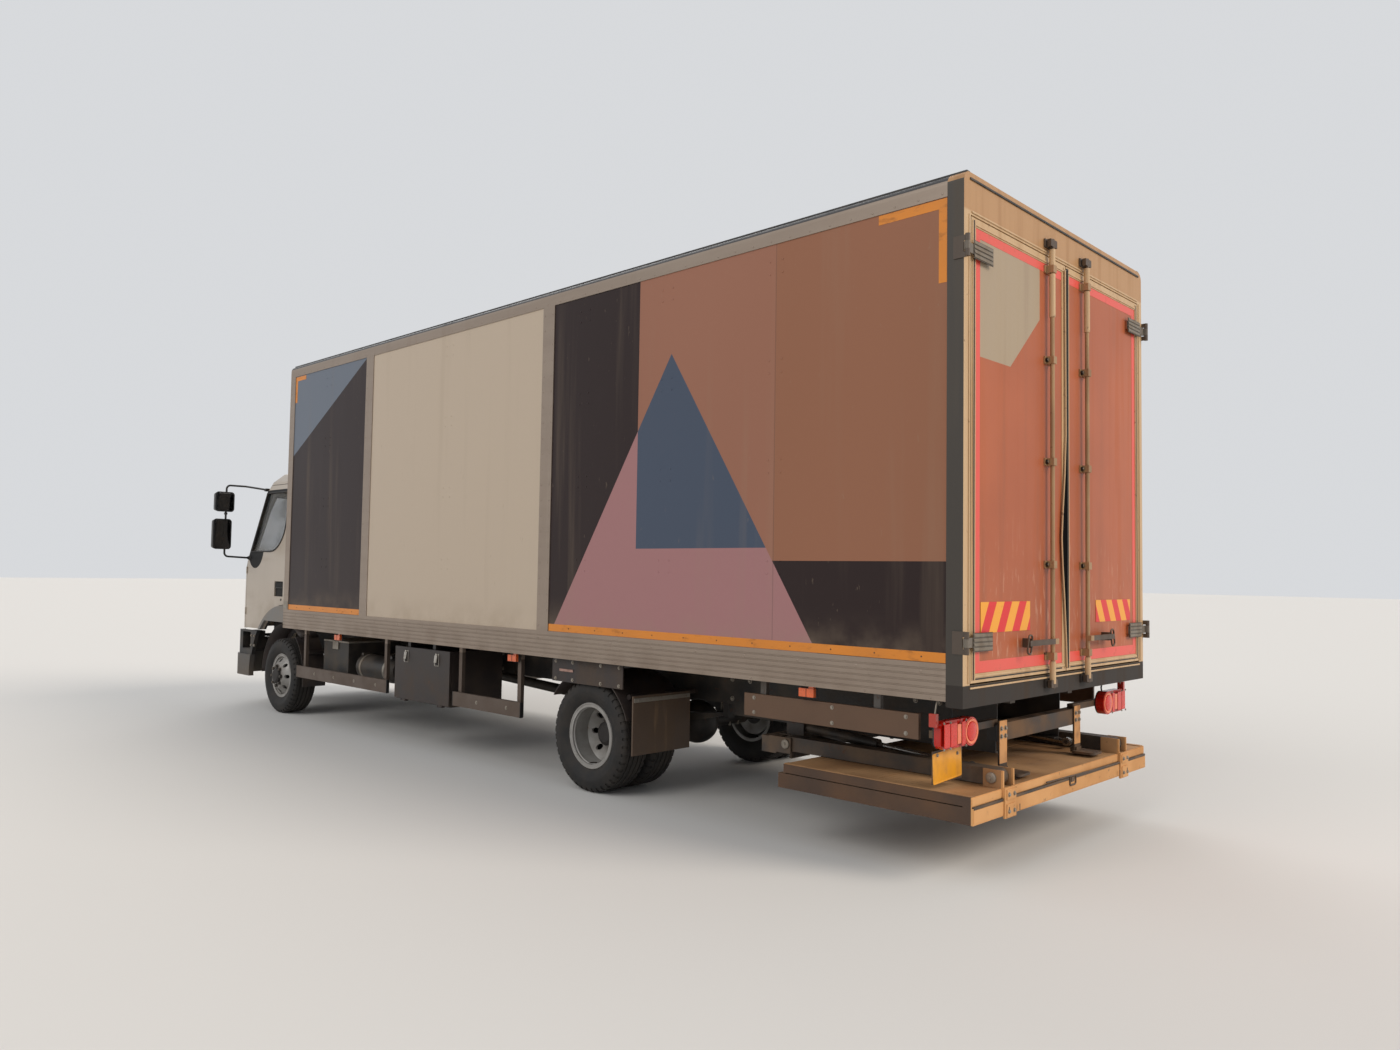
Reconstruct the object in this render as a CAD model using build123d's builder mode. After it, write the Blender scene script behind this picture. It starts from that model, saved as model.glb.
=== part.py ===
"""Box-body lorry with a retractable tail lift, cab over the engine, twin rear wheels.

Millimetres. +X is forward, +Y is the left side, +Z is up. The origin is on the ground,
under the middle of the whole vehicle.
"""
from build123d import *
from math import cos, radians, sin
import os

os.makedirs("parts", exist_ok=True)

# Driving sizes, along the vehicle
BODY_LENGTH = 8100
REAR_OVERHANG = 3100
WHEELBASE = 5400
FRONT_OVERHANG = 1340
REAR_STANDOUT = 60
OVERALL_LENGTH = REAR_STANDOUT + REAR_OVERHANG + WHEELBASE + FRONT_OVERHANG
NOSE_X = OVERALL_LENGTH / 2
REAR_X = -OVERALL_LENGTH / 2 + REAR_STANDOUT
REAR_AXLE_X = REAR_X + REAR_OVERHANG
FRONT_AXLE_X = REAR_AXLE_X + WHEELBASE
BODY_FRONT_X = REAR_X + BODY_LENGTH

# Driving sizes, across and up
BODY_HALF = 1250
ROOF_TOP = 3790
CANT_RAIL_BOTTOM = 3664
SKIRT_BOTTOM = 962
SKIRT_TOP = 1160
FLOOR_TOP = 1080
FLOOR_BOARD = 30
BEARER_DEPTH = 90
SUBFRAME_DEPTH = 80
RAIL_DEPTH = 220
RAIL_HALF = 430
RAIL_FLANGE = 70
RAIL_GAUGE = 8

FLOOR_BOTTOM = FLOOR_TOP - FLOOR_BOARD
BEARER_BOTTOM = FLOOR_BOTTOM - BEARER_DEPTH
RAIL_TOP = BEARER_BOTTOM - SUBFRAME_DEPTH
RAIL_BOTTOM = RAIL_TOP - RAIL_DEPTH
RAIL_MID_Y = RAIL_HALF - RAIL_FLANGE / 2

# Wheels and tyres
TYRE_RADIUS = 408
TYRE_HALF = 131
TWIN_SPACING = 290
RIM_SEAT = 222
RIM_FLANGE = 236
RIM_HALF = 97
RIM_WALL = 12
FRONT_WHEEL_Y = 970
TWIN_Y = 895
DISC_OFFSET = 131
HUB_RADIUS = 88
AXLE_Z = TYRE_RADIUS

SIDES = ((1, "left"), (-1, "right"))


def block(x, y, z, mode=Mode.ADD):
    """A box from its low and high value on each axis."""
    with Locations(((x[0] + x[1]) / 2, (y[0] + y[1]) / 2, (z[0] + z[1]) / 2)):
        Box(abs(x[1] - x[0]), abs(y[1] - y[0]), abs(z[1] - z[0]), mode=mode)


def side_block(side, x, y, z, mode=Mode.ADD):
    """A box on one side of the vehicle, with y measured outwards from the centreline."""
    block(x, (side * y[0], side * y[1]), z, mode)


def rod(start, end, radius, mode=Mode.ADD):
    """A round bar between two points."""
    axis = Vector(*end) - Vector(*start)
    with BuildSketch(Plane(origin=start, z_dir=axis)) as section:
        Circle(radius)
    extrude(section.sketch, amount=axis.length, mode=mode)


def across_plane(x, z, y=0):
    """A plane whose local x runs along +Y and local y runs up, standing at (x, y, z)."""
    return Plane(origin=(x, y, z), x_dir=(0, 1, 0), z_dir=(1, 0, 0))


def side_plane(y, x=0, z=0):
    """A plane facing +Y, with local x forward and local y down."""
    return Plane(origin=(x, y, z), x_dir=(1, 0, 0), z_dir=(0, 1, 0))


def save(piece, name):
    """Label a finished piece and write its STEP file."""
    piece.part.label = name
    export_step(piece.part, f"parts/{name}.step")


# Chassis frame: two pressed channels with cross tubes
RAIL_REAR_X = REAR_X + 232
RAIL_FRONT_X = NOSE_X - 170
CROSS_TUBE_RADIUS = 55
CROSS_TUBES_X = [REAR_X + 700, REAR_X + 2250, REAR_AXLE_X + 850, REAR_X + 5300, FRONT_AXLE_X - 1750]
TILT_X = NOSE_X - 150
TILT_Z = 650
TILT_Y = RAIL_HALF + 40
TILT_PIN = 20
CAB_REAR_X = FRONT_AXLE_X - 300
CAB_FLOOR_BOTTOM = 1000
CAB_FLOOR_TOP = 1040
CAB_REST_GAP = 5

with BuildPart() as chassis_frame:
    for side, _ in SIDES:
        with BuildSketch(across_plane(RAIL_REAR_X, 0)):
            with BuildLine():
                web = side * RAIL_HALF
                inner_web = side * (RAIL_HALF - RAIL_GAUGE)
                lip = side * (RAIL_HALF - RAIL_FLANGE)
                Polyline(
                    (web, RAIL_BOTTOM), (web, RAIL_TOP), (lip, RAIL_TOP),
                    (lip, RAIL_TOP - RAIL_GAUGE), (inner_web, RAIL_TOP - RAIL_GAUGE),
                    (inner_web, RAIL_BOTTOM + RAIL_GAUGE), (lip, RAIL_BOTTOM + RAIL_GAUGE),
                    (lip, RAIL_BOTTOM), close=True)
            make_face()
        extrude(amount=RAIL_FRONT_X - RAIL_REAR_X)
    inner = RAIL_HALF - RAIL_GAUGE
    for x in CROSS_TUBES_X:
        rod((x, -inner, RAIL_BOTTOM + RAIL_DEPTH / 2), (x, inner, RAIL_BOTTOM + RAIL_DEPTH / 2),
            CROSS_TUBE_RADIUS)
    block((RAIL_FRONT_X - 60, RAIL_FRONT_X), (-inner, inner), (RAIL_BOTTOM, RAIL_TOP - RAIL_GAUGE - 60))
    for side, _ in SIDES:
        with BuildSketch(side_plane(side * RAIL_HALF)):
            with BuildLine():
                Polyline(
                    (RAIL_FRONT_X - 200, -RAIL_TOP + 20), (RAIL_FRONT_X, -RAIL_TOP + 20),
                    (TILT_X + 35, -TILT_Z), (TILT_X + 35, -TILT_Z + 35),
                    (TILT_X - 35, -TILT_Z + 35), (RAIL_FRONT_X - 200, -RAIL_BOTTOM), close=True)
            make_face()
        extrude(amount=side * 12)
        rod((TILT_X, side * (RAIL_HALF + 12), TILT_Z), (TILT_X, side * (TILT_Y + 35), TILT_Z), TILT_PIN)
        side_block(side, (CAB_REAR_X + 20, CAB_REAR_X + 80), (RAIL_HALF - RAIL_FLANGE, RAIL_HALF),
                   (RAIL_TOP, CAB_FLOOR_BOTTOM - CAB_REST_GAP))
save(chassis_frame, "chassis_frame")

# Engine, gearbox and radiator, as plain masses between the rails
ENGINE_HALF = 300
ENGINE_TOP = 1120
ENGINE_BOTTOM = 500
ENGINE_FRONT_X = FRONT_AXLE_X + 350
ENGINE_REAR_X = BODY_FRONT_X + 20
GEARBOX_REAR_X = ENGINE_REAR_X - 620
GEARBOX_Z = 640
RADIATOR_X = FRONT_AXLE_X + 760
with BuildPart() as engine_block:
    block((ENGINE_REAR_X, ENGINE_FRONT_X), (-ENGINE_HALF, ENGINE_HALF), (ENGINE_BOTTOM, ENGINE_TOP))
    with BuildSketch(across_plane(ENGINE_REAR_X, GEARBOX_Z)):
        Rectangle(420, 420)
    with BuildSketch(across_plane(GEARBOX_REAR_X, GEARBOX_Z)):
        Rectangle(240, 240)
    loft(ruled=True)
    block((RADIATOR_X, RADIATOR_X + 70), (-340, 340), (560, 980))
    block((RADIATOR_X + 10, RADIATOR_X + 60), (-inner, inner), (700, 750))
save(engine_block, "engine_block")

# Front axle beam with its kingpin eyes
KINGPIN_Y = 800
KINGPIN_RADIUS = 23
EYE_RADIUS = 48
EYE_HALF_HEIGHT = 45
BEAM_TOP = 372
BEAM_BOTTOM = 290
with BuildPart() as front_axle:
    with BuildSketch(across_plane(FRONT_AXLE_X - 45, 0)):
        with BuildLine():
            Polyline(
                (-KINGPIN_Y + 20, AXLE_Z + 28), (-KINGPIN_Y + 20, AXLE_Z - 28), (-520, BEAM_BOTTOM),
                (520, BEAM_BOTTOM), (KINGPIN_Y - 20, AXLE_Z - 28), (KINGPIN_Y - 20, AXLE_Z + 28),
                (500, BEAM_TOP), (-500, BEAM_TOP), close=True)
        make_face()
    extrude(amount=90)
    for side, _ in SIDES:
        with Locations((FRONT_AXLE_X, side * KINGPIN_Y, AXLE_Z)):
            Cylinder(EYE_RADIUS, 2 * EYE_HALF_HEIGHT)
            Cylinder(KINGPIN_RADIUS + 0.3, 2 * EYE_HALF_HEIGHT, mode=Mode.SUBTRACT)
        block((FRONT_AXLE_X + 18, FRONT_AXLE_X + 45), (-470, 470), (BEAM_BOTTOM + 18, BEAM_TOP - 18),
              Mode.SUBTRACT)
        block((FRONT_AXLE_X - 45, FRONT_AXLE_X - 18), (-470, 470), (BEAM_BOTTOM + 18, BEAM_TOP - 18),
              Mode.SUBTRACT)
save(front_axle, "front_axle")

# Steering knuckles: fork, kingpin and stub axle
LUG_GAP = 5
LUG = 30
FORK_Y = KINGPIN_Y + EYE_RADIUS + 8
FORK_PLATE = 28
STUB_RADIUS = 38
STUB_END_Y = 1060
for side, name in SIDES:
    with BuildPart() as knuckle:
        lug_low = EYE_HALF_HEIGHT + LUG_GAP
        with Locations((FRONT_AXLE_X, side * KINGPIN_Y, AXLE_Z)):
            Cylinder(KINGPIN_RADIUS, 2 * (lug_low + LUG))
        for up in (1, -1):
            z_low = AXLE_Z + up * lug_low
            with Locations((FRONT_AXLE_X, side * KINGPIN_Y, z_low + up * LUG / 2)):
                Cylinder(45, LUG)
            side_block(side, (FRONT_AXLE_X - 45, FRONT_AXLE_X + 45), (KINGPIN_Y, FORK_Y + FORK_PLATE),
                       (z_low, z_low + up * LUG))
        side_block(side, (FRONT_AXLE_X - 50, FRONT_AXLE_X + 50), (FORK_Y, FORK_Y + FORK_PLATE),
                   (AXLE_Z - lug_low - LUG, AXLE_Z + lug_low + LUG))
        rod((FRONT_AXLE_X, side * FORK_Y, AXLE_Z), (FRONT_AXLE_X, side * STUB_END_Y, AXLE_Z), STUB_RADIUS)
    save(knuckle, f"knuckle_{name}")

# Rear axle: banjo housing, spindles and propeller shaft
AXLE_TUBE = 62
SPINDLE_RADIUS = 45
SPINDLE_START_Y = 560
REAR_SPINDLE_END_Y = 985
PROPSHAFT_RADIUS = 45
with BuildPart() as rear_axle:
    rod((REAR_AXLE_X, -SPINDLE_START_Y, AXLE_Z), (REAR_AXLE_X, SPINDLE_START_Y, AXLE_Z), AXLE_TUBE)
    rod((REAR_AXLE_X, -REAR_SPINDLE_END_Y, AXLE_Z), (REAR_AXLE_X, REAR_SPINDLE_END_Y, AXLE_Z), SPINDLE_RADIUS)
    with Locations((REAR_AXLE_X, 0, AXLE_Z)):
        Sphere(175)
    rod((REAR_AXLE_X + 100, 0, AXLE_Z + 10), (REAR_AXLE_X + 290, 0, AXLE_Z + 20), 80)
    rod((REAR_AXLE_X + 290, 0, AXLE_Z + 20), (GEARBOX_REAR_X - 3, 0, GEARBOX_Z), PROPSHAFT_RADIUS)
save(rear_axle, "rear_axle")

# Leaf springs with their hangers, under each rail
SPRING_WIDTH = 68
SPRINGS = (
    # axle x, half length, pack bottom at the axle, pack thickness, eye height
    (FRONT_AXLE_X, 760, BEAM_TOP, 48, 545),
    (REAR_AXLE_X, 700, AXLE_Z + AXLE_TUBE, 72, 575),
)
with BuildPart() as leaf_springs:
    for axle_x, half, pack_bottom, pack, eye_z in SPRINGS:
        for side, _ in SIDES:
            spring_y = (side * RAIL_MID_Y) - SPRING_WIDTH / 2
            with BuildSketch(side_plane(spring_y, axle_x)):
                with BuildLine():
                    ThreePointArc((-half, -eye_z), (0, -pack_bottom), (half, -eye_z))
                    Line((half, -eye_z), (half, -eye_z - 14))
                    ThreePointArc((half, -eye_z - 14), (0, -pack_bottom - pack), (-half, -eye_z - 14))
                    Line((-half, -eye_z - 14), (-half, -eye_z))
                make_face()
            extrude(amount=SPRING_WIDTH)
            for end in (-1, 1):
                x = axle_x + end * half
                block((x - 28, x + 28), (spring_y, spring_y + SPRING_WIDTH), (eye_z - 22, RAIL_BOTTOM))
            block((axle_x - 65, axle_x + 65), (spring_y - 8, spring_y + SPRING_WIDTH + 8),
                  (pack_bottom, pack_bottom + pack + 14))
save(leaf_springs, "leaf_springs")


# Wheels: a ring profile turned about the axle line
def wheel_plane(axle_x):
    """Local x runs along +Y, local y is the radius."""
    return Plane(origin=(axle_x, 0, AXLE_Z), x_dir=(0, 1, 0), z_dir=(1, 0, 0))


def turn_profile(axle_x, points):
    """Turn a closed profile of (y, radius) points about the axle line."""
    with BuildSketch(wheel_plane(axle_x)) as profile:
        with BuildLine():
            Polyline(*points, close=True)
        make_face()
    revolve(profile.sketch, axis=Axis((axle_x, 0, AXLE_Z), (0, 1, 0)))


TREAD_HALF = 112
SHOULDER = 18
SIDEWALL_RADIUS = 315
BEAD_HALF = RIM_HALF - 11


def tyre(axle_x, centre_y):
    """One tyre: beads, bulged sidewalls, shoulders and a flat tread."""
    turn_profile(axle_x, [
        (centre_y - BEAD_HALF, RIM_SEAT + 0.3), (centre_y - BEAD_HALF, RIM_FLANGE + 4),
        (centre_y - TYRE_HALF, SIDEWALL_RADIUS), (centre_y - TREAD_HALF - 8, TYRE_RADIUS - SHOULDER),
        (centre_y - TREAD_HALF + 12, TYRE_RADIUS), (centre_y + TREAD_HALF - 12, TYRE_RADIUS),
        (centre_y + TREAD_HALF + 8, TYRE_RADIUS - SHOULDER), (centre_y + TYRE_HALF, SIDEWALL_RADIUS),
        (centre_y + BEAD_HALF, RIM_FLANGE + 4), (centre_y + BEAD_HALF, RIM_SEAT + 0.3)])


HAND_HOLES = 8
HAND_HOLE_RADIUS = 22
HAND_HOLE_CIRCLE = 152


def rim(axle_x, centre_y, dish):
    """Barrel, flanges and a disc that bulges towards `dish` (+1 or -1 along Y)."""
    barrel = RIM_SEAT - RIM_WALL
    face = centre_y + dish * DISC_OFFSET
    turn_profile(axle_x, [
        (centre_y - RIM_HALF, RIM_FLANGE), (centre_y - RIM_HALF, barrel), (centre_y + RIM_HALF, barrel),
        (centre_y + RIM_HALF, RIM_FLANGE), (centre_y + RIM_HALF - 10, RIM_FLANGE),
        (centre_y + RIM_HALF - 10, RIM_SEAT), (centre_y - RIM_HALF + 10, RIM_SEAT),
        (centre_y - RIM_HALF + 10, RIM_FLANGE)])
    turn_profile(axle_x, [
        (centre_y + dish * 50, barrel + 4), (centre_y + dish * 66, barrel + 4),
        (face + dish * RIM_WALL, 132), (face + dish * RIM_WALL, HUB_RADIUS),
        (face, HUB_RADIUS), (face, 124)])
    with BuildSketch(side_plane(centre_y, axle_x, AXLE_Z)) as holes:
        with PolarLocations(HAND_HOLE_CIRCLE + 14, HAND_HOLES):
            Circle(HAND_HOLE_RADIUS)
    extrude(holes.sketch, amount=dish * (DISC_OFFSET + 20), mode=Mode.SUBTRACT)


for side, name in SIDES:
    centre = side * FRONT_WHEEL_Y
    with BuildPart() as front_tyre:
        tyre(FRONT_AXLE_X, centre)
    save(front_tyre, f"front_tyre_{name}")
    with BuildPart() as front_rim:
        rim(FRONT_AXLE_X, centre, side)
        face = FRONT_WHEEL_Y + DISC_OFFSET
        turn_profile(FRONT_AXLE_X, [
            (side * 905, STUB_RADIUS + 0.3), (side * 905, 150), (side * 935, 150), (side * 935, 78),
            (side * (face - 30), 78), (side * (face - 14), 124), (side * face, 124),
            (side * face, HUB_RADIUS), (side * (face + 34), HUB_RADIUS - 8), (side * (face + 46), 62),
            (side * (face + 46), 0), (side * (STUB_END_Y + 4), 0),
            (side * (STUB_END_Y + 4), STUB_RADIUS + 0.3)])
    save(front_rim, f"front_rim_{name}")
    with BuildPart() as rear_tyres:
        for offset in (-TWIN_SPACING / 2, TWIN_SPACING / 2):
            tyre(REAR_AXLE_X, side * (TWIN_Y + offset))
    save(rear_tyres, f"rear_tyres_{name}")
    with BuildPart() as rear_rims:
        rim(REAR_AXLE_X, side * (TWIN_Y + TWIN_SPACING / 2), -side)
        rim(REAR_AXLE_X, side * (TWIN_Y - TWIN_SPACING / 2), side)
        turn_profile(REAR_AXLE_X, [
            (side * 700, SPINDLE_RADIUS + 0.3), (side * 700, 178), (side * (TWIN_Y - 15), 178),
            (side * (TWIN_Y - 15), HUB_RADIUS), (side * (TWIN_Y + 95), HUB_RADIUS),
            (side * (TWIN_Y + 112), 60), (side * (TWIN_Y + 112), 0), (side * (REAR_SPINDLE_END_Y + 5), 0),
            (side * (REAR_SPINDLE_END_Y + 5), SPINDLE_RADIUS + 0.3)])
    save(rear_rims, f"rear_rims_{name}")

# Floor: bearers on two runners, and the board
BEARER_PITCH = 420
BEARER_FIRST = 150
BEARER_COUNT = 19
BEARER_FLANGE = 45
BEARER_GAUGE = 6
BEARER_HALF = BODY_HALF - 30
SKIRT_GAUGE = 25


def bearer_x(index):
    """The middle of a cross bearer, counted from the rear."""
    return REAR_X + BEARER_FIRST + index * BEARER_PITCH


SIDE_BOARD_HANGERS = (1, 3)
BOARD_Y = 1150
BOARD_BOTTOM = 730
BOARD_TOP = 870
with BuildPart() as floor_bearers:
    for index in range(BEARER_COUNT):
        x = bearer_x(index)
        with BuildSketch(Plane.XZ.offset(-BEARER_HALF)):
            with BuildLine():
                Polyline(
                    (x, BEARER_BOTTOM), (x, FLOOR_BOTTOM), (x + BEARER_FLANGE, FLOOR_BOTTOM),
                    (x + BEARER_FLANGE, FLOOR_BOTTOM - BEARER_GAUGE),
                    (x + BEARER_GAUGE, FLOOR_BOTTOM - BEARER_GAUGE),
                    (x + BEARER_GAUGE, BEARER_BOTTOM + BEARER_GAUGE),
                    (x + BEARER_FLANGE, BEARER_BOTTOM + BEARER_GAUGE), (x + BEARER_FLANGE, BEARER_BOTTOM),
                    close=True)
            make_face()
        extrude(amount=2 * BEARER_HALF)
    for side, _ in SIDES:
        side_block(side, (bearer_x(0), bearer_x(BEARER_COUNT - 1) + BEARER_FLANGE),
                   (RAIL_HALF - RAIL_FLANGE + 5, RAIL_HALF - 5), (RAIL_TOP, BEARER_BOTTOM))
        for index in SIDE_BOARD_HANGERS:
            side_block(side, (bearer_x(index), bearer_x(index) + BEARER_FLANGE), (BOARD_Y - 30, BOARD_Y),
                       (BOARD_BOTTOM + 20, BEARER_BOTTOM))
save(floor_bearers, "floor_bearers")

REAR_FRAME_DEPTH = 100
FRONT_WALL = 30
CORNER_POST = 110
with BuildPart() as load_floor:
    block((REAR_X + REAR_FRAME_DEPTH, BODY_FRONT_X - FRONT_WALL),
          (-BODY_HALF + SKIRT_GAUGE, BODY_HALF - SKIRT_GAUGE),
          (FLOOR_BOTTOM, FLOOR_TOP))
save(load_floor, "load_floor")

# Side frames: ribbed skirt, posts and cant rail on each side
PANEL = 25
PANEL_RECESS = 6
POST_WIDTH = 140
POST_GAUGE = 31
SKIRT_GROOVES = 6
GROOVE_DEPTH = 4
CANT_RAIL_WIDTH = 90
CANT_RADIUS = 60
POSTS_X = (REAR_X + 3564, REAR_X + 6364)
FRAME_REAR_X = REAR_X + REAR_FRAME_DEPTH
CORNER_REAR_X = BODY_FRONT_X - CORNER_POST
with BuildPart() as side_frames:
    for side, _ in SIDES:
        with BuildSketch(across_plane(FRAME_REAR_X, 0)):
            with BuildLine():
                pitch = (SKIRT_TOP - SKIRT_BOTTOM) / SKIRT_GROOVES
                ribs = [(side * (BODY_HALF - SKIRT_GAUGE), SKIRT_TOP), (side * BODY_HALF, SKIRT_TOP)]
                for index in range(1, SKIRT_GROOVES):
                    z = SKIRT_TOP - index * pitch
                    ribs += [(side * BODY_HALF, z + 5), (side * (BODY_HALF - GROOVE_DEPTH), z + 3),
                             (side * (BODY_HALF - GROOVE_DEPTH), z - 3), (side * BODY_HALF, z - 5)]
                ribs += [(side * BODY_HALF, SKIRT_BOTTOM), (side * (BODY_HALF - SKIRT_GAUGE), SKIRT_BOTTOM)]
                Polyline(*ribs, close=True)
            make_face()
            with BuildLine():
                inner_y = side * (BODY_HALF - CANT_RAIL_WIDTH)
                outer_y = side * BODY_HALF
                arc_mid = CANT_RADIUS * (1 - cos(radians(45)))
                Polyline((outer_y, ROOF_TOP - CANT_RADIUS), (outer_y, CANT_RAIL_BOTTOM),
                         (side * (BODY_HALF - POST_GAUGE), CANT_RAIL_BOTTOM),
                         (inner_y, ROOF_TOP - 30), (inner_y, ROOF_TOP),
                         (side * (BODY_HALF - CANT_RADIUS), ROOF_TOP))
                ThreePointArc((side * (BODY_HALF - CANT_RADIUS), ROOF_TOP),
                              (side * (BODY_HALF - arc_mid), ROOF_TOP - arc_mid),
                              (outer_y, ROOF_TOP - CANT_RADIUS))
            make_face()
        extrude(amount=BODY_FRONT_X - FRAME_REAR_X)
        for post_x in POSTS_X:
            side_block(side, (post_x - POST_WIDTH / 2, post_x + POST_WIDTH / 2),
                       (BODY_HALF - POST_GAUGE, BODY_HALF), (SKIRT_TOP, CANT_RAIL_BOTTOM))
        side_block(side, (CORNER_REAR_X, BODY_FRONT_X), (BODY_HALF - POST_GAUGE, BODY_HALF),
                   (SKIRT_TOP, CANT_RAIL_BOTTOM))
save(side_frames, "side_frames")

for side, name in SIDES:
    edges = [FRAME_REAR_X]
    for post_x in POSTS_X:
        edges += [post_x - POST_WIDTH / 2, post_x + POST_WIDTH / 2]
    edges.append(CORNER_REAR_X)
    with BuildPart() as wall:
        for start, end in zip(edges[0::2], edges[1::2]):
            side_block(side, (start, end), (BODY_HALF - PANEL_RECESS - PANEL, BODY_HALF - PANEL_RECESS),
                       (SKIRT_TOP, CANT_RAIL_BOTTOM))
    save(wall, f"wall_{name}")

# Front bulkhead and roof
WALL_INNER_Y = BODY_HALF - POST_GAUGE
ROOF_INNER_Y = BODY_HALF - CANT_RAIL_WIDTH
ROOF_SKIN = 24
ROOF_BOWS = 7
with BuildPart() as front_bulkhead:
    block((BODY_FRONT_X - FRONT_WALL, BODY_FRONT_X - 4), (-WALL_INNER_Y, WALL_INNER_Y),
          (SKIRT_BOTTOM + 30, CANT_RAIL_BOTTOM))
    block((BODY_FRONT_X - FRONT_WALL, BODY_FRONT_X), (-ROOF_INNER_Y, ROOF_INNER_Y),
          (CANT_RAIL_BOTTOM, ROOF_TOP))
save(front_bulkhead, "front_bulkhead")

with BuildPart() as roof:
    block((FRAME_REAR_X, BODY_FRONT_X - FRONT_WALL), (-ROOF_INNER_Y, ROOF_INNER_Y),
          (ROOF_TOP - 4 - ROOF_SKIN, ROOF_TOP - 4))
    roof_run = BODY_FRONT_X - FRONT_WALL - FRAME_REAR_X
    for index in range(ROOF_BOWS):
        x = FRAME_REAR_X + roof_run * (index + 0.5) / ROOF_BOWS
        block((x - 20, x + 20), (-ROOF_INNER_Y + 40, ROOF_INNER_Y - 40),
              (ROOF_TOP - 4 - ROOF_SKIN - 30, ROOF_TOP - 4 - ROOF_SKIN))
save(roof, "roof")

# Rear portal frame: posts, header, sill, stop lip, hinge leaves and lock keepers
REAR_POST = 72
HEADER_BOTTOM = 3560
SILL_BOTTOM = 933
SILL_TOP = 1050
DOOR_GAP = 6
DOOR_THICK = 32
STOP_X = REAR_X + DOOR_THICK + DOOR_GAP
POST_INNER_Y = BODY_HALF - REAR_POST
HINGE_X = REAR_X - 28
HINGE_Y = BODY_HALF + 12
HINGE_RADIUS = 13
HINGE_PIN = 6
HINGES_Z = (1275, 3370)
KNUCKLE_HALF = 22
LEAF_HALF = 60
STRAP_HALF = 26
BAR_Y = 250
BAR_X = REAR_X - 30
BAR_RADIUS = 13
with BuildPart() as rear_frame:
    block((REAR_X, FRAME_REAR_X), (-BODY_HALF, BODY_HALF), (SILL_BOTTOM, ROOF_TOP))
    fillet(rear_frame.edges().filter_by(Axis.X).group_by(Axis.Z)[-1], CANT_RADIUS)
    block((REAR_X, FRAME_REAR_X), (-POST_INNER_Y, POST_INNER_Y), (SILL_TOP, HEADER_BOTTOM), Mode.SUBTRACT)
    for side, _ in SIDES:
        side_block(side, (STOP_X, FRAME_REAR_X), (POST_INNER_Y - 25, POST_INNER_Y), (SILL_TOP, HEADER_BOTTOM))
        for z in HINGES_Z:
            side_block(side, (HINGE_X, REAR_X + 60), (BODY_HALF, BODY_HALF + 6),
                       (z - LEAF_HALF, z + LEAF_HALF))
            side_block(side, (HINGE_X - 1, REAR_X), (BODY_HALF, BODY_HALF + 6),
                       (z - STRAP_HALF - 5, z + STRAP_HALF + 5), Mode.SUBTRACT)
            for end in (-1, 1):
                near = z + end * (KNUCKLE_HALF + 1)
                rod((HINGE_X, side * HINGE_Y, near), (HINGE_X, side * HINGE_Y, z + end * LEAF_HALF),
                    HINGE_RADIUS)
            rod((HINGE_X, side * HINGE_Y, z - LEAF_HALF), (HINGE_X, side * HINGE_Y, z + LEAF_HALF), HINGE_PIN)
        for z_low, z_high in ((SILL_BOTTOM + 42, SILL_BOTTOM + 92), (HEADER_BOTTOM + 40, HEADER_BOTTOM + 90)):
            side_block(side, (REAR_X - 12, REAR_X), (BAR_Y - 55, BAR_Y + 55), (z_low, z_high))
    block((STOP_X, FRAME_REAR_X), (-POST_INNER_Y, POST_INNER_Y), (HEADER_BOTTOM - 25, HEADER_BOTTOM))
save(rear_frame, "rear_frame")

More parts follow.
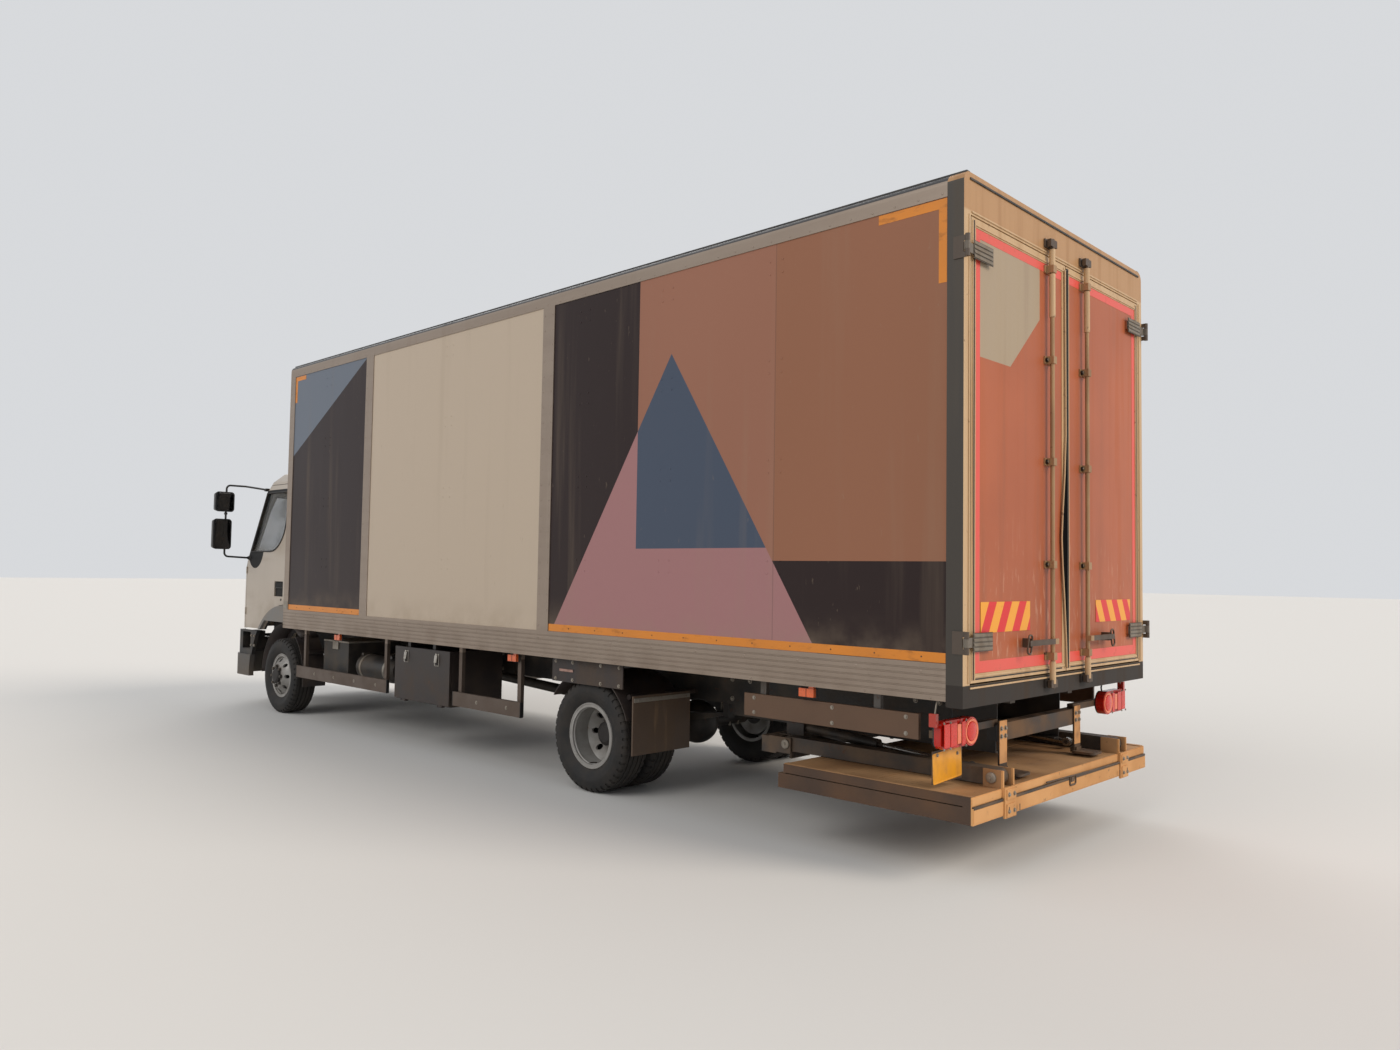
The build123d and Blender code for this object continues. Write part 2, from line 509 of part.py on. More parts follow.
# Rear doors, with hinge straps; then the lock gear on each
DOOR_BOTTOM = SILL_TOP + 10
DOOR_TOP = HEADER_BOTTOM - 8
DOOR_EDGE_Y = POST_INNER_Y - DOOR_GAP
DOOR_CENTRE_GAP = 10
DOOR_BORDER = 48
STRAP_REACH = 280
HANDLE_Z = 1250
HANDLE_LENGTH = 350
GUIDES_Z = (1160, 1700, 2310, 2920, 3470)
for side, name in SIDES:
    with BuildPart() as rear_door:
        side_block(side, (REAR_X, REAR_X + DOOR_THICK), (DOOR_CENTRE_GAP / 2, DOOR_EDGE_Y),
                   (DOOR_BOTTOM, DOOR_TOP))
        side_block(side, (REAR_X, REAR_X + 3), (DOOR_CENTRE_GAP / 2 + DOOR_BORDER, DOOR_EDGE_Y - DOOR_BORDER),
                   (DOOR_BOTTOM + DOOR_BORDER, DOOR_TOP - DOOR_BORDER), Mode.SUBTRACT)
        for z in HINGES_Z:
            side_block(side, (REAR_X - 16, REAR_X - 7), (BODY_HALF - STRAP_REACH, HINGE_Y - 3),
                       (z - STRAP_HALF, z + STRAP_HALF))
            side_block(side, (REAR_X - 16, REAR_X + 3), (BODY_HALF - STRAP_REACH, DOOR_EDGE_Y - 6),
                       (z - STRAP_HALF, z + STRAP_HALF))
            side_block(side, (REAR_X - 16, HINGE_X + 8), (HINGE_Y - HINGE_RADIUS, HINGE_Y),
                       (z - KNUCKLE_HALF, z + KNUCKLE_HALF), Mode.SUBTRACT)
            rod((HINGE_X, side * HINGE_Y, z - KNUCKLE_HALF), (HINGE_X, side * HINGE_Y, z + KNUCKLE_HALF),
                HINGE_RADIUS)
            side_block(side, (HINGE_X, REAR_X - 7), (HINGE_Y - HINGE_RADIUS, HINGE_Y),
                       (z - KNUCKLE_HALF, z + KNUCKLE_HALF))
            rod((HINGE_X, side * HINGE_Y, z - LEAF_HALF), (HINGE_X, side * HINGE_Y, z + LEAF_HALF),
                HINGE_PIN + 0.3, Mode.SUBTRACT)
            for end in (-1, 1):
                near = z + end * KNUCKLE_HALF
                far = z + end * (STRAP_HALF + 4)
                rod((HINGE_X, side * HINGE_Y, near), (HINGE_X, side * HINGE_Y, far), HINGE_RADIUS + 1,
                    Mode.SUBTRACT)
    save(rear_door, f"rear_door_{name}")

    with BuildPart() as door_bars:
        bar_y = side * BAR_Y
        rod((BAR_X, bar_y, SILL_BOTTOM + 40), (BAR_X, bar_y, HEADER_BOTTOM + 92), BAR_RADIUS)
        for z_low, z_high in ((SILL_BOTTOM + 45, SILL_BOTTOM + 89), (HEADER_BOTTOM + 43, HEADER_BOTTOM + 87)):
            side_block(side, (BAR_X - 12, BAR_X + 12), (BAR_Y - 42, BAR_Y + 42), (z_low, z_high))
        for z in GUIDES_Z:
            side_block(side, (BAR_X - 18, BAR_X + 16), (BAR_Y - 22, BAR_Y + 22), (z - 22, z + 22))
            side_block(side, (REAR_X - 6, REAR_X + 3), (BAR_Y - 48, BAR_Y + 48), (z - 22, z + 22))
            side_block(side, (BAR_X, REAR_X), (BAR_Y - 22, BAR_Y + 22), (z - 22, z + 22))
        side_block(side, (REAR_X - REAR_STANDOUT, REAR_X - REAR_STANDOUT + 14),
                   (BAR_Y - 20, BAR_Y + HANDLE_LENGTH),
                   (HANDLE_Z - 16, HANDLE_Z + 16))
        side_block(side, (REAR_X - REAR_STANDOUT + 14, BAR_X), (BAR_Y - 20, BAR_Y + 20),
                   (HANDLE_Z - 16, HANDLE_Z + 16))
        side_block(side, (REAR_X - REAR_STANDOUT + 14, REAR_X + 3),
                   (BAR_Y + HANDLE_LENGTH - 60, BAR_Y + HANDLE_LENGTH - 30),
                   (HANDLE_Z - 26, HANDLE_Z + 26))
    save(door_bars, f"door_bars_{name}")

# Under-run beam at the rear, with posts, rubber pads, lamp arms and number plate bracket
BEAM_X = (REAR_X + 162, RAIL_REAR_X)
BEAM_Z = (670, 770)
PLATE_POST_Y = (465, 555)
PLATE_POST_Z = (500, 790)
FOOT_PAD_LENGTH = 150
FOOT_PAD_WIDTH = 150
FOOT_PAD_THICK = 14
FOOT_PAD_CORNER = 28
LAMP_ARM_Z = (755, 795)
LAMP_Y = 1050
LAMP_HALF = 190
LAMP_Z = 775
LAMP_RADIUS = 78
LAMP_DEPTH = 62
LAMP_X = REAR_X + 120
PLATE_Y = (930, 1240)
PLATE_Z = (515, 690)
with BuildPart() as underrun_beam:
    block(BEAM_X, (-PLATE_POST_Y[1], PLATE_POST_Y[1]), BEAM_Z)
    for side, _ in SIDES:
        side_block(side, (BEAM_X[0] - 12, BEAM_X[0]), PLATE_POST_Y, PLATE_POST_Z)
        side_block(side, (BEAM_X[0] - 22, BEAM_X[0] + 20), (PLATE_POST_Y[0] + 8, PLATE_POST_Y[1] - 8),
                   (PLATE_POST_Z[0] - 8, PLATE_POST_Z[0] + 26))
        with BuildSketch(Plane.XY.offset(PLATE_POST_Z[0] - 8)):
            with Locations((BEAM_X[0] - FOOT_PAD_LENGTH / 2, side * sum(PLATE_POST_Y) / 2)):
                RectangleRounded(FOOT_PAD_LENGTH, FOOT_PAD_WIDTH, FOOT_PAD_CORNER)
        extrude(amount=FOOT_PAD_THICK)
        side_block(side, (LAMP_X + LAMP_DEPTH, LAMP_X + LAMP_DEPTH + 40),
                   (PLATE_POST_Y[1] - 40, LAMP_Y + LAMP_HALF - 30),
                   LAMP_ARM_Z)
    block((LAMP_X + LAMP_DEPTH, LAMP_X + LAMP_DEPTH + 5), PLATE_Y, PLATE_Z)
    block((LAMP_X + LAMP_DEPTH + 5, LAMP_X + LAMP_DEPTH + 12), (1060, 1110), (PLATE_Z[1] - 20, LAMP_ARM_Z[0]))
save(underrun_beam, "underrun_beam")

# Rear lamps: a long rounded unit and a round lens at its inner end, and stalk markers
STALK_Y = 1268
with BuildPart() as rear_lamps:
    for side, _ in SIDES:
        with BuildSketch(across_plane(LAMP_X + 14, LAMP_Z, side * (LAMP_Y + 20))):
            RectangleRounded(2 * LAMP_HALF - 40, 150, 45)
        extrude(amount=LAMP_DEPTH - 14)
        rod((LAMP_X, side * (LAMP_Y - LAMP_HALF + LAMP_RADIUS), LAMP_Z),
            (LAMP_X + LAMP_DEPTH, side * (LAMP_Y - LAMP_HALF + LAMP_RADIUS), LAMP_Z), LAMP_RADIUS)
        rod((LAMP_X + 40, side * (LAMP_Y + LAMP_HALF - 20), LAMP_Z + 40),
            (LAMP_X + 40, side * STALK_Y, LAMP_Z + 75), 9)
        with Locations((LAMP_X + 40, side * STALK_Y, LAMP_Z + 85)):
            Box(42, 26, 70)
save(rear_lamps, "rear_lamps")

# Side marker lamps under the skirt
MARKER_BEARERS = (2, 9, 16)
with BuildPart() as side_markers:
    for side, _ in SIDES:
        for index in MARKER_BEARERS:
            x = bearer_x(index)
            side_block(side, (x, x + 110), (1190, 1220), (895, BEARER_BOTTOM - 15))
            side_block(side, (x + 5, x + 40), (1195, 1215), (BEARER_BOTTOM - 15, BEARER_BOTTOM))
save(side_markers, "side_markers")

# Plain boards low on each side near the rear
with BuildPart() as side_boards:
    for side, _ in SIDES:
        side_block(side, (REAR_X + 310, REAR_X + 1570), (BOARD_Y, BOARD_Y + 22), (BOARD_BOTTOM, BOARD_TOP))
save(side_boards, "side_boards")

# Side guards: low rails on posts that hang from the bearers
GUARD_Y = 1165
GUARD_THICK = 28
GUARD_POST = 32
GUARD_BOTTOM = 455
GUARD_TOP = 575
GUARDS = (
    # side, rail start, rail end, bearers that carry its posts
    (1, REAR_X + 5980, FRONT_AXLE_X - 640, (14, 18)),
    (1, REAR_X + 3900, REAR_X + 4860, (9, 11)),
    (-1, REAR_X + 5980, FRONT_AXLE_X - 640, (14, 18)),
    (-1, REAR_X + 3900, REAR_X + 5880, (9, 13)),
)
with BuildPart() as side_guards:
    for side, start, end, posts in GUARDS:
        side_block(side, (start, end), (GUARD_Y, GUARD_Y + GUARD_THICK), (GUARD_BOTTOM, GUARD_TOP))
        side_block(side, (start - 1, end + 1), (GUARD_Y, GUARD_Y + GUARD_THICK - 6),
                   (GUARD_BOTTOM + 8, GUARD_TOP - 8),
                   Mode.SUBTRACT)
        for index in posts:
            side_block(side, (bearer_x(index), bearer_x(index) + BEARER_FLANGE),
                       (GUARD_Y - GUARD_POST, GUARD_Y),
                       (GUARD_BOTTOM, BEARER_BOTTOM))
            side_block(side, (bearer_x(index), bearer_x(index) + BEARER_FLANGE),
                       (GUARD_Y, GUARD_Y + GUARD_THICK - 6),
                       (GUARD_BOTTOM + 8, GUARD_TOP - 8))
save(side_guards, "side_guards")

# Toolbox on the left, with a door hinged along its lower edge
BOX_X = (REAR_X + 4930, REAR_X + 5840)
BOX_Y = (640, 1165)
BOX_Z = (425, 905)
BOX_WALL = 12
BOX_DOOR = 16
BOX_HINGE_Y = BOX_Y[1] + 12
BOX_HINGE_Z = BOX_Z[0] - 2
BOX_HINGES_X = (BOX_X[0] + 150, BOX_X[1] - 150)
with BuildPart() as toolbox:
    block(BOX_X, BOX_Y, BOX_Z)
    block((BOX_X[0] + BOX_WALL, BOX_X[1] - BOX_WALL), (BOX_Y[0] + BOX_WALL, BOX_Y[1]),
          (BOX_Z[0] + BOX_WALL, BOX_Z[1] - BOX_WALL), Mode.SUBTRACT)
    for x in (bearer_x(12), bearer_x(13)):
        block((x, x + BEARER_FLANGE), BOX_Y, (BOX_Z[1], BEARER_BOTTOM))
    for x in BOX_HINGES_X:
        for start, end in ((x - 40, x - 20.5), (x + 20.5, x + 40)):
            rod((start, BOX_HINGE_Y, BOX_HINGE_Z), (end, BOX_HINGE_Y, BOX_HINGE_Z), 9)
            block((start, end), (BOX_Y[1] - 12, BOX_HINGE_Y), (BOX_HINGE_Z - 8, BOX_HINGE_Z + 4))
        rod((x - 40, BOX_HINGE_Y, BOX_HINGE_Z), (x + 40, BOX_HINGE_Y, BOX_HINGE_Z), 4)
save(toolbox, "toolbox")

with BuildPart() as toolbox_door:
    block(BOX_X, (BOX_Y[1] + 5, BOX_Y[1] + 5 + BOX_DOOR), (BOX_Z[0] + 10, BOX_Z[1]))
    for x in (BOX_X[0] + 200, BOX_X[1] - 200):
        block((x - 20, x + 20), (BOX_Y[1] + 5 + BOX_DOOR, BOX_Y[1] + 15 + BOX_DOOR),
              (BOX_Z[1] - 130, BOX_Z[1] - 50))
    for x in BOX_HINGES_X:
        block((x - 20, x + 20), (BOX_HINGE_Y - 7, BOX_HINGE_Y + 7), (BOX_HINGE_Z, BOX_Z[0] + 12))
        rod((x - 20, BOX_HINGE_Y, BOX_HINGE_Z), (x + 20, BOX_HINGE_Y, BOX_HINGE_Z), 9)
        rod((x - 20, BOX_HINGE_Y, BOX_HINGE_Z), (x + 20, BOX_HINGE_Y, BOX_HINGE_Z), 4.3, Mode.SUBTRACT)
save(toolbox_door, "toolbox_door")

# Tanks and battery box hung outside the rails
TANK_END = 38
with BuildPart() as air_tanks:
    for y in (600, 890):
        rod((REAR_X + 6250, y, 620), (REAR_X + 6950, y, 620), 125)
    chamfer(air_tanks.edges().filter_by(GeomType.CIRCLE), TANK_END)
    block((REAR_X + 6300, REAR_X + 6340), (RAIL_HALF, 960), (735, 760))
    block((REAR_X + 6860, REAR_X + 6900), (RAIL_HALF, 960), (735, 760))
    block((REAR_X + 7080, REAR_X + 7620), (RAIL_HALF, 1010), (490, 850))
save(air_tanks, "air_tanks")

with BuildPart() as fuel_tank:
    with BuildSketch(across_plane(REAR_X + 6300, 655, -780)):
        RectangleRounded(600, 440, 90)
    extrude(amount=1150)
    for x in (REAR_X + 6500, REAR_X + 7150):
        block((x, x + 60), (-500, -RAIL_HALF), (660, 860))
    rod((REAR_X + 7300, -985, 800), (REAR_X + 7300, -1055, 870), 38)
    rod((REAR_X + 7300, -1050, 865), (REAR_X + 7300, -1072, 887), 46)
save(fuel_tank, "fuel_tank")

# Silencer: a drum across from the fuel tank's end to the front wheel, with its pipes
SILENCER_X = (REAR_X + 7520, REAR_X + 7890)
SILENCER_Y = -770
SILENCER_Z = 640
SILENCER_RADIUS = 150
EXHAUST_PIPE = 30
with BuildPart() as silencer:
    rod((SILENCER_X[0], SILENCER_Y, SILENCER_Z), (SILENCER_X[1], SILENCER_Y, SILENCER_Z), SILENCER_RADIUS)
    chamfer(silencer.edges().filter_by(GeomType.CIRCLE), 20)
    for x in (SILENCER_X[0] + 70, SILENCER_X[1] - 110):
        block((x, x + 40), (SILENCER_Y + 90, -RAIL_HALF), (690, 740))
    rod((SILENCER_X[1] - 20, SILENCER_Y + 60, SILENCER_Z - 40), (ENGINE_REAR_X + 30, -ENGINE_HALF - 20, 600),
        EXHAUST_PIPE)
    rod((SILENCER_X[0] + 60, SILENCER_Y - 60, SILENCER_Z - 60), (SILENCER_X[0] + 20, SILENCER_Y - 330, 470),
        EXHAUST_PIPE)
save(silencer, "silencer")

# Mudguards with flaps
GUARD_SHEET = 6


def guard_arc(axle_x, radius, start, end, y_low, y_high):
    """A curved sheet about the axle line, between two angles from straight ahead."""
    middle = (start + end) / 2
    outer = radius + GUARD_SHEET

    def at(r, angle):
        return (r * cos(radians(angle)), -r * sin(radians(angle)))

    with BuildSketch(side_plane(y_low, axle_x, AXLE_Z)) as sheet:
        with BuildLine():
            ThreePointArc(at(radius, start), at(radius, middle), at(radius, end))
            Line(at(radius, end), at(outer, end))
            ThreePointArc(at(outer, end), at(outer, middle), at(outer, start))
            Line(at(outer, start), at(radius, start))
        make_face()
    extrude(sheet.sketch, amount=y_high - y_low)


FLAP_X = REAR_AXLE_X - 505
COVER_HALF = 400
COVER_Y = (1180, 1190)
COVER_Z = (785, 955)
STAY_RADIUS = 20
GUARDS_ROUND_WHEELS = (
    # axle x, sheet radius, start angle, end angle, inner y, outer y, stay angle
    (REAR_AXLE_X, 466, 35, 160, 600, 1185, 140),
    (FRONT_AXLE_X, 560, 128, 188, 830, 1085, 151),
)
with BuildPart() as mudguards:
    for side, _ in SIDES:
        for axle_x, radius, start, end, inner_y, outer_y, stay in GUARDS_ROUND_WHEELS:
            low, high = sorted((side * inner_y, side * outer_y))
            guard_arc(axle_x, radius, start, end, low, high)
            reach = radius + GUARD_SHEET + STAY_RADIUS - 3
            stay_x = axle_x + reach * cos(radians(stay))
            stay_z = AXLE_Z + reach * sin(radians(stay))
            rod((stay_x, side * RAIL_HALF, stay_z), (stay_x, side * (outer_y - 80), stay_z), STAY_RADIUS)
        side_block(side, (REAR_AXLE_X - COVER_HALF, REAR_AXLE_X + COVER_HALF), COVER_Y, COVER_Z)
        side_block(side, (FLAP_X, FLAP_X + 12), (610, 1180), (330, 745))
        side_block(side, (FLAP_X, REAR_AXLE_X - 350), (700, 760), (700, 740))
save(mudguards, "mudguards")

# Tail lift: guide rails under the frame, sliding carriage, lift arms, folded platform
LIFT_RAIL_X = (REAR_X + 240, REAR_X + 2330)
LIFT_RAIL_DEPTH = 80
LIFT_RAIL_BOTTOM = RAIL_BOTTOM - LIFT_RAIL_DEPTH
with BuildPart() as lift_rails:
    for side, _ in SIDES:
        with BuildSketch(across_plane(LIFT_RAIL_X[0], 0)):
            with BuildLine():
                web = side * RAIL_HALF
                inner_web = side * (RAIL_HALF - RAIL_GAUGE)
                lip = side * (RAIL_HALF - RAIL_FLANGE)
                Polyline(
                    (web, LIFT_RAIL_BOTTOM), (web, RAIL_BOTTOM), (lip, RAIL_BOTTOM),
                    (lip, RAIL_BOTTOM - RAIL_GAUGE), (inner_web, RAIL_BOTTOM - RAIL_GAUGE),
                    (inner_web, LIFT_RAIL_BOTTOM + RAIL_GAUGE), (lip, LIFT_RAIL_BOTTOM + RAIL_GAUGE),
                    (lip, LIFT_RAIL_BOTTOM), close=True)
            make_face()
        extrude(amount=LIFT_RAIL_X[1] - LIFT_RAIL_X[0])
save(lift_rails, "lift_rails")

LIFT_ARM_Y = (753, 847)
LIFT_CHEEK = 12
LIFT_CHEEK_GAP = 6
ARM_PIVOT_X = REAR_X + 1480
ARM_PIVOT_Z = 525
HEEL_X = REAR_X + 40
ARM_PIN = 18
ARM_DEPTH = 90
CARRIAGE_X = REAR_X + 1620
ARM_TIE_X = ARM_PIVOT_X - 90
SLOT_CLEAR = 3
CYLINDER_Y = 650
CYLINDER_RADIUS = 34
CYLINDER_ROD = 17
CYLINDER_EYE = 28
CYLINDER_EYE_HALF = 18
CYLINDER_PIN = 13
CYLINDER_STROKE_PART = 0.48
CYLINDER_BASE = (ARM_PIVOT_X + 10, 610)
CYLINDER_HEAD = (HEEL_X + 240, ARM_PIVOT_Z)
CYLINDER_CHEEK_GAP = 24
CHEEKS_Y = (
    (LIFT_ARM_Y[0] - LIFT_CHEEK_GAP - LIFT_CHEEK, LIFT_ARM_Y[0] - LIFT_CHEEK_GAP),
    (LIFT_ARM_Y[1] + LIFT_CHEEK_GAP, LIFT_ARM_Y[1] + LIFT_CHEEK_GAP + LIFT_CHEEK),
)
with BuildPart() as lift_carriage:
    block((CARRIAGE_X - 60, CARRIAGE_X + 60), (-CHEEKS_Y[1][1], CHEEKS_Y[1][1]), (455, 560))
    for side, _ in SIDES:
        shoe_y = (RAIL_HALF - RAIL_FLANGE, RAIL_HALF - RAIL_GAUGE - SLOT_CLEAR)
        side_block(side, (CARRIAGE_X - 180, CARRIAGE_X + 180), shoe_y,
                   (LIFT_RAIL_BOTTOM + RAIL_GAUGE + SLOT_CLEAR, RAIL_BOTTOM - RAIL_GAUGE - SLOT_CLEAR))
        side_block(side, (CARRIAGE_X - 180, CARRIAGE_X + 180), (shoe_y[0] - 30, shoe_y[0]),
                   (545, RAIL_BOTTOM - RAIL_GAUGE - SLOT_CLEAR))
        for cheek in CHEEKS_Y:
            side_block(side, (ARM_PIVOT_X - 40, CARRIAGE_X), cheek, (465, 565))
        rod((ARM_PIVOT_X, side * CHEEKS_Y[0][0], ARM_PIVOT_Z),
            (ARM_PIVOT_X, side * CHEEKS_Y[1][1], ARM_PIVOT_Z), ARM_PIN)
        side_block(side, (CARRIAGE_X - 60, CARRIAGE_X - 40), (500, 700), (400, 560))
        for end in (-1, 1):
            near = CYLINDER_Y + end * (CYLINDER_EYE_HALF + CYLINDER_CHEEK_GAP)
            side_block(side, (CYLINDER_BASE[0] - 30, CARRIAGE_X - 20), (near, near + end * 12),
                       (ARM_PIVOT_Z - 25, CYLINDER_BASE[1] + 30))
save(lift_carriage, "lift_carriage")

with BuildPart() as lift_arms:
    for side, _ in SIDES:
        side_block(side, (HEEL_X, ARM_PIVOT_X), LIFT_ARM_Y,
                   (ARM_PIVOT_Z - ARM_DEPTH / 2, ARM_PIVOT_Z + ARM_DEPTH / 2))
        for x in (HEEL_X, ARM_PIVOT_X):
            rod((x, side * LIFT_ARM_Y[0], ARM_PIVOT_Z), (x, side * LIFT_ARM_Y[1], ARM_PIVOT_Z), ARM_DEPTH / 2)
            rod((x, side * LIFT_ARM_Y[0], ARM_PIVOT_Z), (x, side * LIFT_ARM_Y[1], ARM_PIVOT_Z),
                ARM_PIN + 0.3, Mode.SUBTRACT)
        rod((CYLINDER_HEAD[0], side * (CYLINDER_Y - 25), CYLINDER_HEAD[1]),
            (CYLINDER_HEAD[0], side * LIFT_ARM_Y[0], CYLINDER_HEAD[1]), CYLINDER_PIN)
    rod((ARM_TIE_X, -LIFT_ARM_Y[0], ARM_PIVOT_Z), (ARM_TIE_X, LIFT_ARM_Y[0], ARM_PIVOT_Z), 38)
save(lift_arms, "lift_arms")

# Lift cylinders: barrel, rod and two eyes, beside the arms
with BuildPart() as lift_cylinders:
    for side, _ in SIDES:
        base = Vector(CYLINDER_BASE[0], side * CYLINDER_Y, CYLINDER_BASE[1])
        head = Vector(CYLINDER_HEAD[0], side * CYLINDER_Y, CYLINDER_HEAD[1])
        barrel_end = base + (head - base) * CYLINDER_STROKE_PART
        rod(base, barrel_end, CYLINDER_RADIUS)
        rod(barrel_end, head, CYLINDER_ROD)
        for eye in (base, head):
            rod(eye - Vector(0, CYLINDER_EYE_HALF, 0), eye + Vector(0, CYLINDER_EYE_HALF, 0), CYLINDER_EYE)
        rod(head - Vector(0, CYLINDER_EYE_HALF, 0), head + Vector(0, CYLINDER_EYE_HALF, 0),
            CYLINDER_PIN + 0.3, Mode.SUBTRACT)
save(lift_cylinders, "lift_cylinders")

DECK_HALF = 1195
DECK_TOP = 474
DECK_BOTTOM = 330
DECK_SPLIT = 420
DECK_X = (REAR_X - 30, REAR_X + 1270)
with BuildPart() as lift_platform:
    block(DECK_X, (-DECK_HALF, DECK_HALF), (DECK_BOTTOM, DECK_SPLIT - 3))
    block((DECK_X[0] + 10, DECK_X[1] - 40), (-DECK_HALF, DECK_HALF), (DECK_SPLIT + 3, DECK_TOP))
    block((DECK_X[0] + 10, DECK_X[0] + 60), (-DECK_HALF, DECK_HALF), (DECK_SPLIT - 3, DECK_SPLIT + 3))
    for side, _ in SIDES:
        for cheek in CHEEKS_Y:
            side_block(side, (DECK_X[0], HEEL_X + 50), cheek, (DECK_BOTTOM, ARM_PIVOT_Z + 45))
        rod((HEEL_X, side * CHEEKS_Y[0][0], ARM_PIVOT_Z), (HEEL_X, side * CHEEKS_Y[1][1], ARM_PIVOT_Z),
            ARM_PIN)
        side_block(side, (DECK_X[0] - 12, DECK_X[0]), (CHEEKS_Y[0][0], CHEEKS_Y[1][1]),
                   (DECK_BOTTOM - 14, DECK_TOP + 6))
save(lift_platform, "lift_platform")

# Cab form: plan sections joined up the height
CAB_WALL = 45
CAB_SECTIONS = (
    # height, front at the centreline, half width, rear, all with x from the front axle
    (890, 1296, 1065, -300),
    (1600, 1296, 1065, -300),
    (1700, 1262, 1062, -300),
    (2480, 905, 1012, -300),
    (2600, 828, 975, -296),
    (2690, 720, 900, -270),
    (2750, 520, 760, -200),
)
CORNER_RUN = 250
CORNER_FALL = 60
CORNER_IN = 215
CORNER_MID = (0.64, 0.27)
ROOF_EDGE_Z = 2450


def wrap_plan(front, half, rear):
    """The plan of the nose: straight sides, rounded corners and a bowed front."""
    corner_x = front - CORNER_RUN
    blend_x = front - CORNER_FALL
    mid_x = corner_x + CORNER_MID[0] * (blend_x - corner_x)
    with BuildLine() as plan:
        Line((rear, half), (corner_x, half))
        ThreePointArc((corner_x, half), (mid_x, half - CORNER_MID[1] * CORNER_IN),
                      (blend_x, half - CORNER_IN))
        ThreePointArc((blend_x, half - CORNER_IN), (front, 0), (blend_x, CORNER_IN - half))
        ThreePointArc((blend_x, CORNER_IN - half), (mid_x, CORNER_MID[1] * CORNER_IN - half),
                      (corner_x, -half))
        Line((corner_x, -half), (rear, -half))
        Line((rear, -half), (rear, half))
    make_face(plan.edges())


def cab_form(inset, bottom):
    """The closed cab shape, moved in by `inset` on all sides and cut off at `bottom`."""
    with BuildPart() as form:
        for z, front, half, rear in CAB_SECTIONS:
            height = max(z - inset, bottom) if z > ROOF_EDGE_Z else max(z, bottom)
            with BuildSketch(Plane.XY.offset(height)):
                wrap_plan(FRONT_AXLE_X + front - inset, half - inset, FRONT_AXLE_X + rear + inset)
        loft(ruled=True)
    return form.part


ARCH_RADIUS = 735
FLARE_RADIUS = 772
FLARE_OUT = 1100
TUNNEL_HALF = 360
TUNNEL_TOP = 1190
TUNNEL_WALL = 30
DOOR_REAR = -40
DOOR_FRONT = 1030
DOOR_LOW = 895
DOOR_HEAD = 2560
DOOR_SLANT_START = 1720
DOOR_HEAD_FRONT = 735
CAB_GAP = 6
FLARE_GAP = 11
DOOR_AXIS = (FRONT_AXLE_X + DOOR_FRONT + CAB_GAP / 2, 1070)
DOOR_HINGES_Z = (1090, 1570)
DOOR_BARREL = 8
DOOR_BARREL_HALF = 20
DOOR_PIN = 4
HANDLE_RECESS_X = (FRONT_AXLE_X + 50, FRONT_AXLE_X + 270)
HANDLE_RECESS_Z = (1280, 1450)
HANDLE_RECESS_DEPTH = 16
HANDLE_FLAP_THICK = 12
HANDLE_FLAP_BOTTOM = 1372


def door_outline(grow):
    """The left or right door seen from the side, grown by `grow` all round."""
    with BuildLine() as outline:
        Polyline(
            (FRONT_AXLE_X + DOOR_REAR - grow, -DOOR_LOW + grow),
            (FRONT_AXLE_X + DOOR_FRONT + grow, -DOOR_LOW + grow),
            (FRONT_AXLE_X + DOOR_FRONT + grow, -DOOR_SLANT_START),
            (FRONT_AXLE_X + DOOR_HEAD_FRONT + grow, -DOOR_HEAD - grow),
            (FRONT_AXLE_X + DOOR_REAR - grow, -DOOR_HEAD - grow), close=True)
    make_face(outline.edges())
    with Locations((FRONT_AXLE_X, -AXLE_Z)):
        Circle(FLARE_RADIUS + FLARE_GAP - grow, mode=Mode.SUBTRACT)


def door_barrel(side, z, span, radius, mode=Mode.ADD):
    """A length of the cab door's hinge barrel, `span` measured from the hinge's middle height."""
    x, y = DOOR_AXIS
    rod((x, side * y, z + span[0]), (x, side * y, z + span[1]), radius, mode)


def side_window(shrink):
    """The door glass opening, with a sill that sweeps up to the rear."""
    with BuildLine() as outline:
        Polyline((FRONT_AXLE_X + 80 + shrink, -2120), (FRONT_AXLE_X + 80 + shrink, -2470 + shrink),
                 (FRONT_AXLE_X + 655 - shrink, -2470 + shrink), (FRONT_AXLE_X + 940 - shrink, -1790 - shrink),
                 (FRONT_AXLE_X + 430, -1790 - shrink))
        ThreePointArc((FRONT_AXLE_X + 430, -1790 - shrink), (FRONT_AXLE_X + 185 + shrink, -1890 - shrink),
                      (FRONT_AXLE_X + 80 + shrink, -2120))
    make_face(outline.edges())


WINDSCREEN_LOW = 1712
WINDSCREEN_HIGH = 2450


def windscreen_outline(shrink):
    """The windscreen opening seen from the front."""
    with BuildLine() as outline:
        Polyline((-950 + shrink, WINDSCREEN_LOW + shrink), (950 - shrink, WINDSCREEN_LOW + shrink),
                 (870 - shrink, WINDSCREEN_HIGH - shrink), (-870 + shrink, WINDSCREEN_HIGH - shrink),
                 close=True)
    make_face(outline.edges())


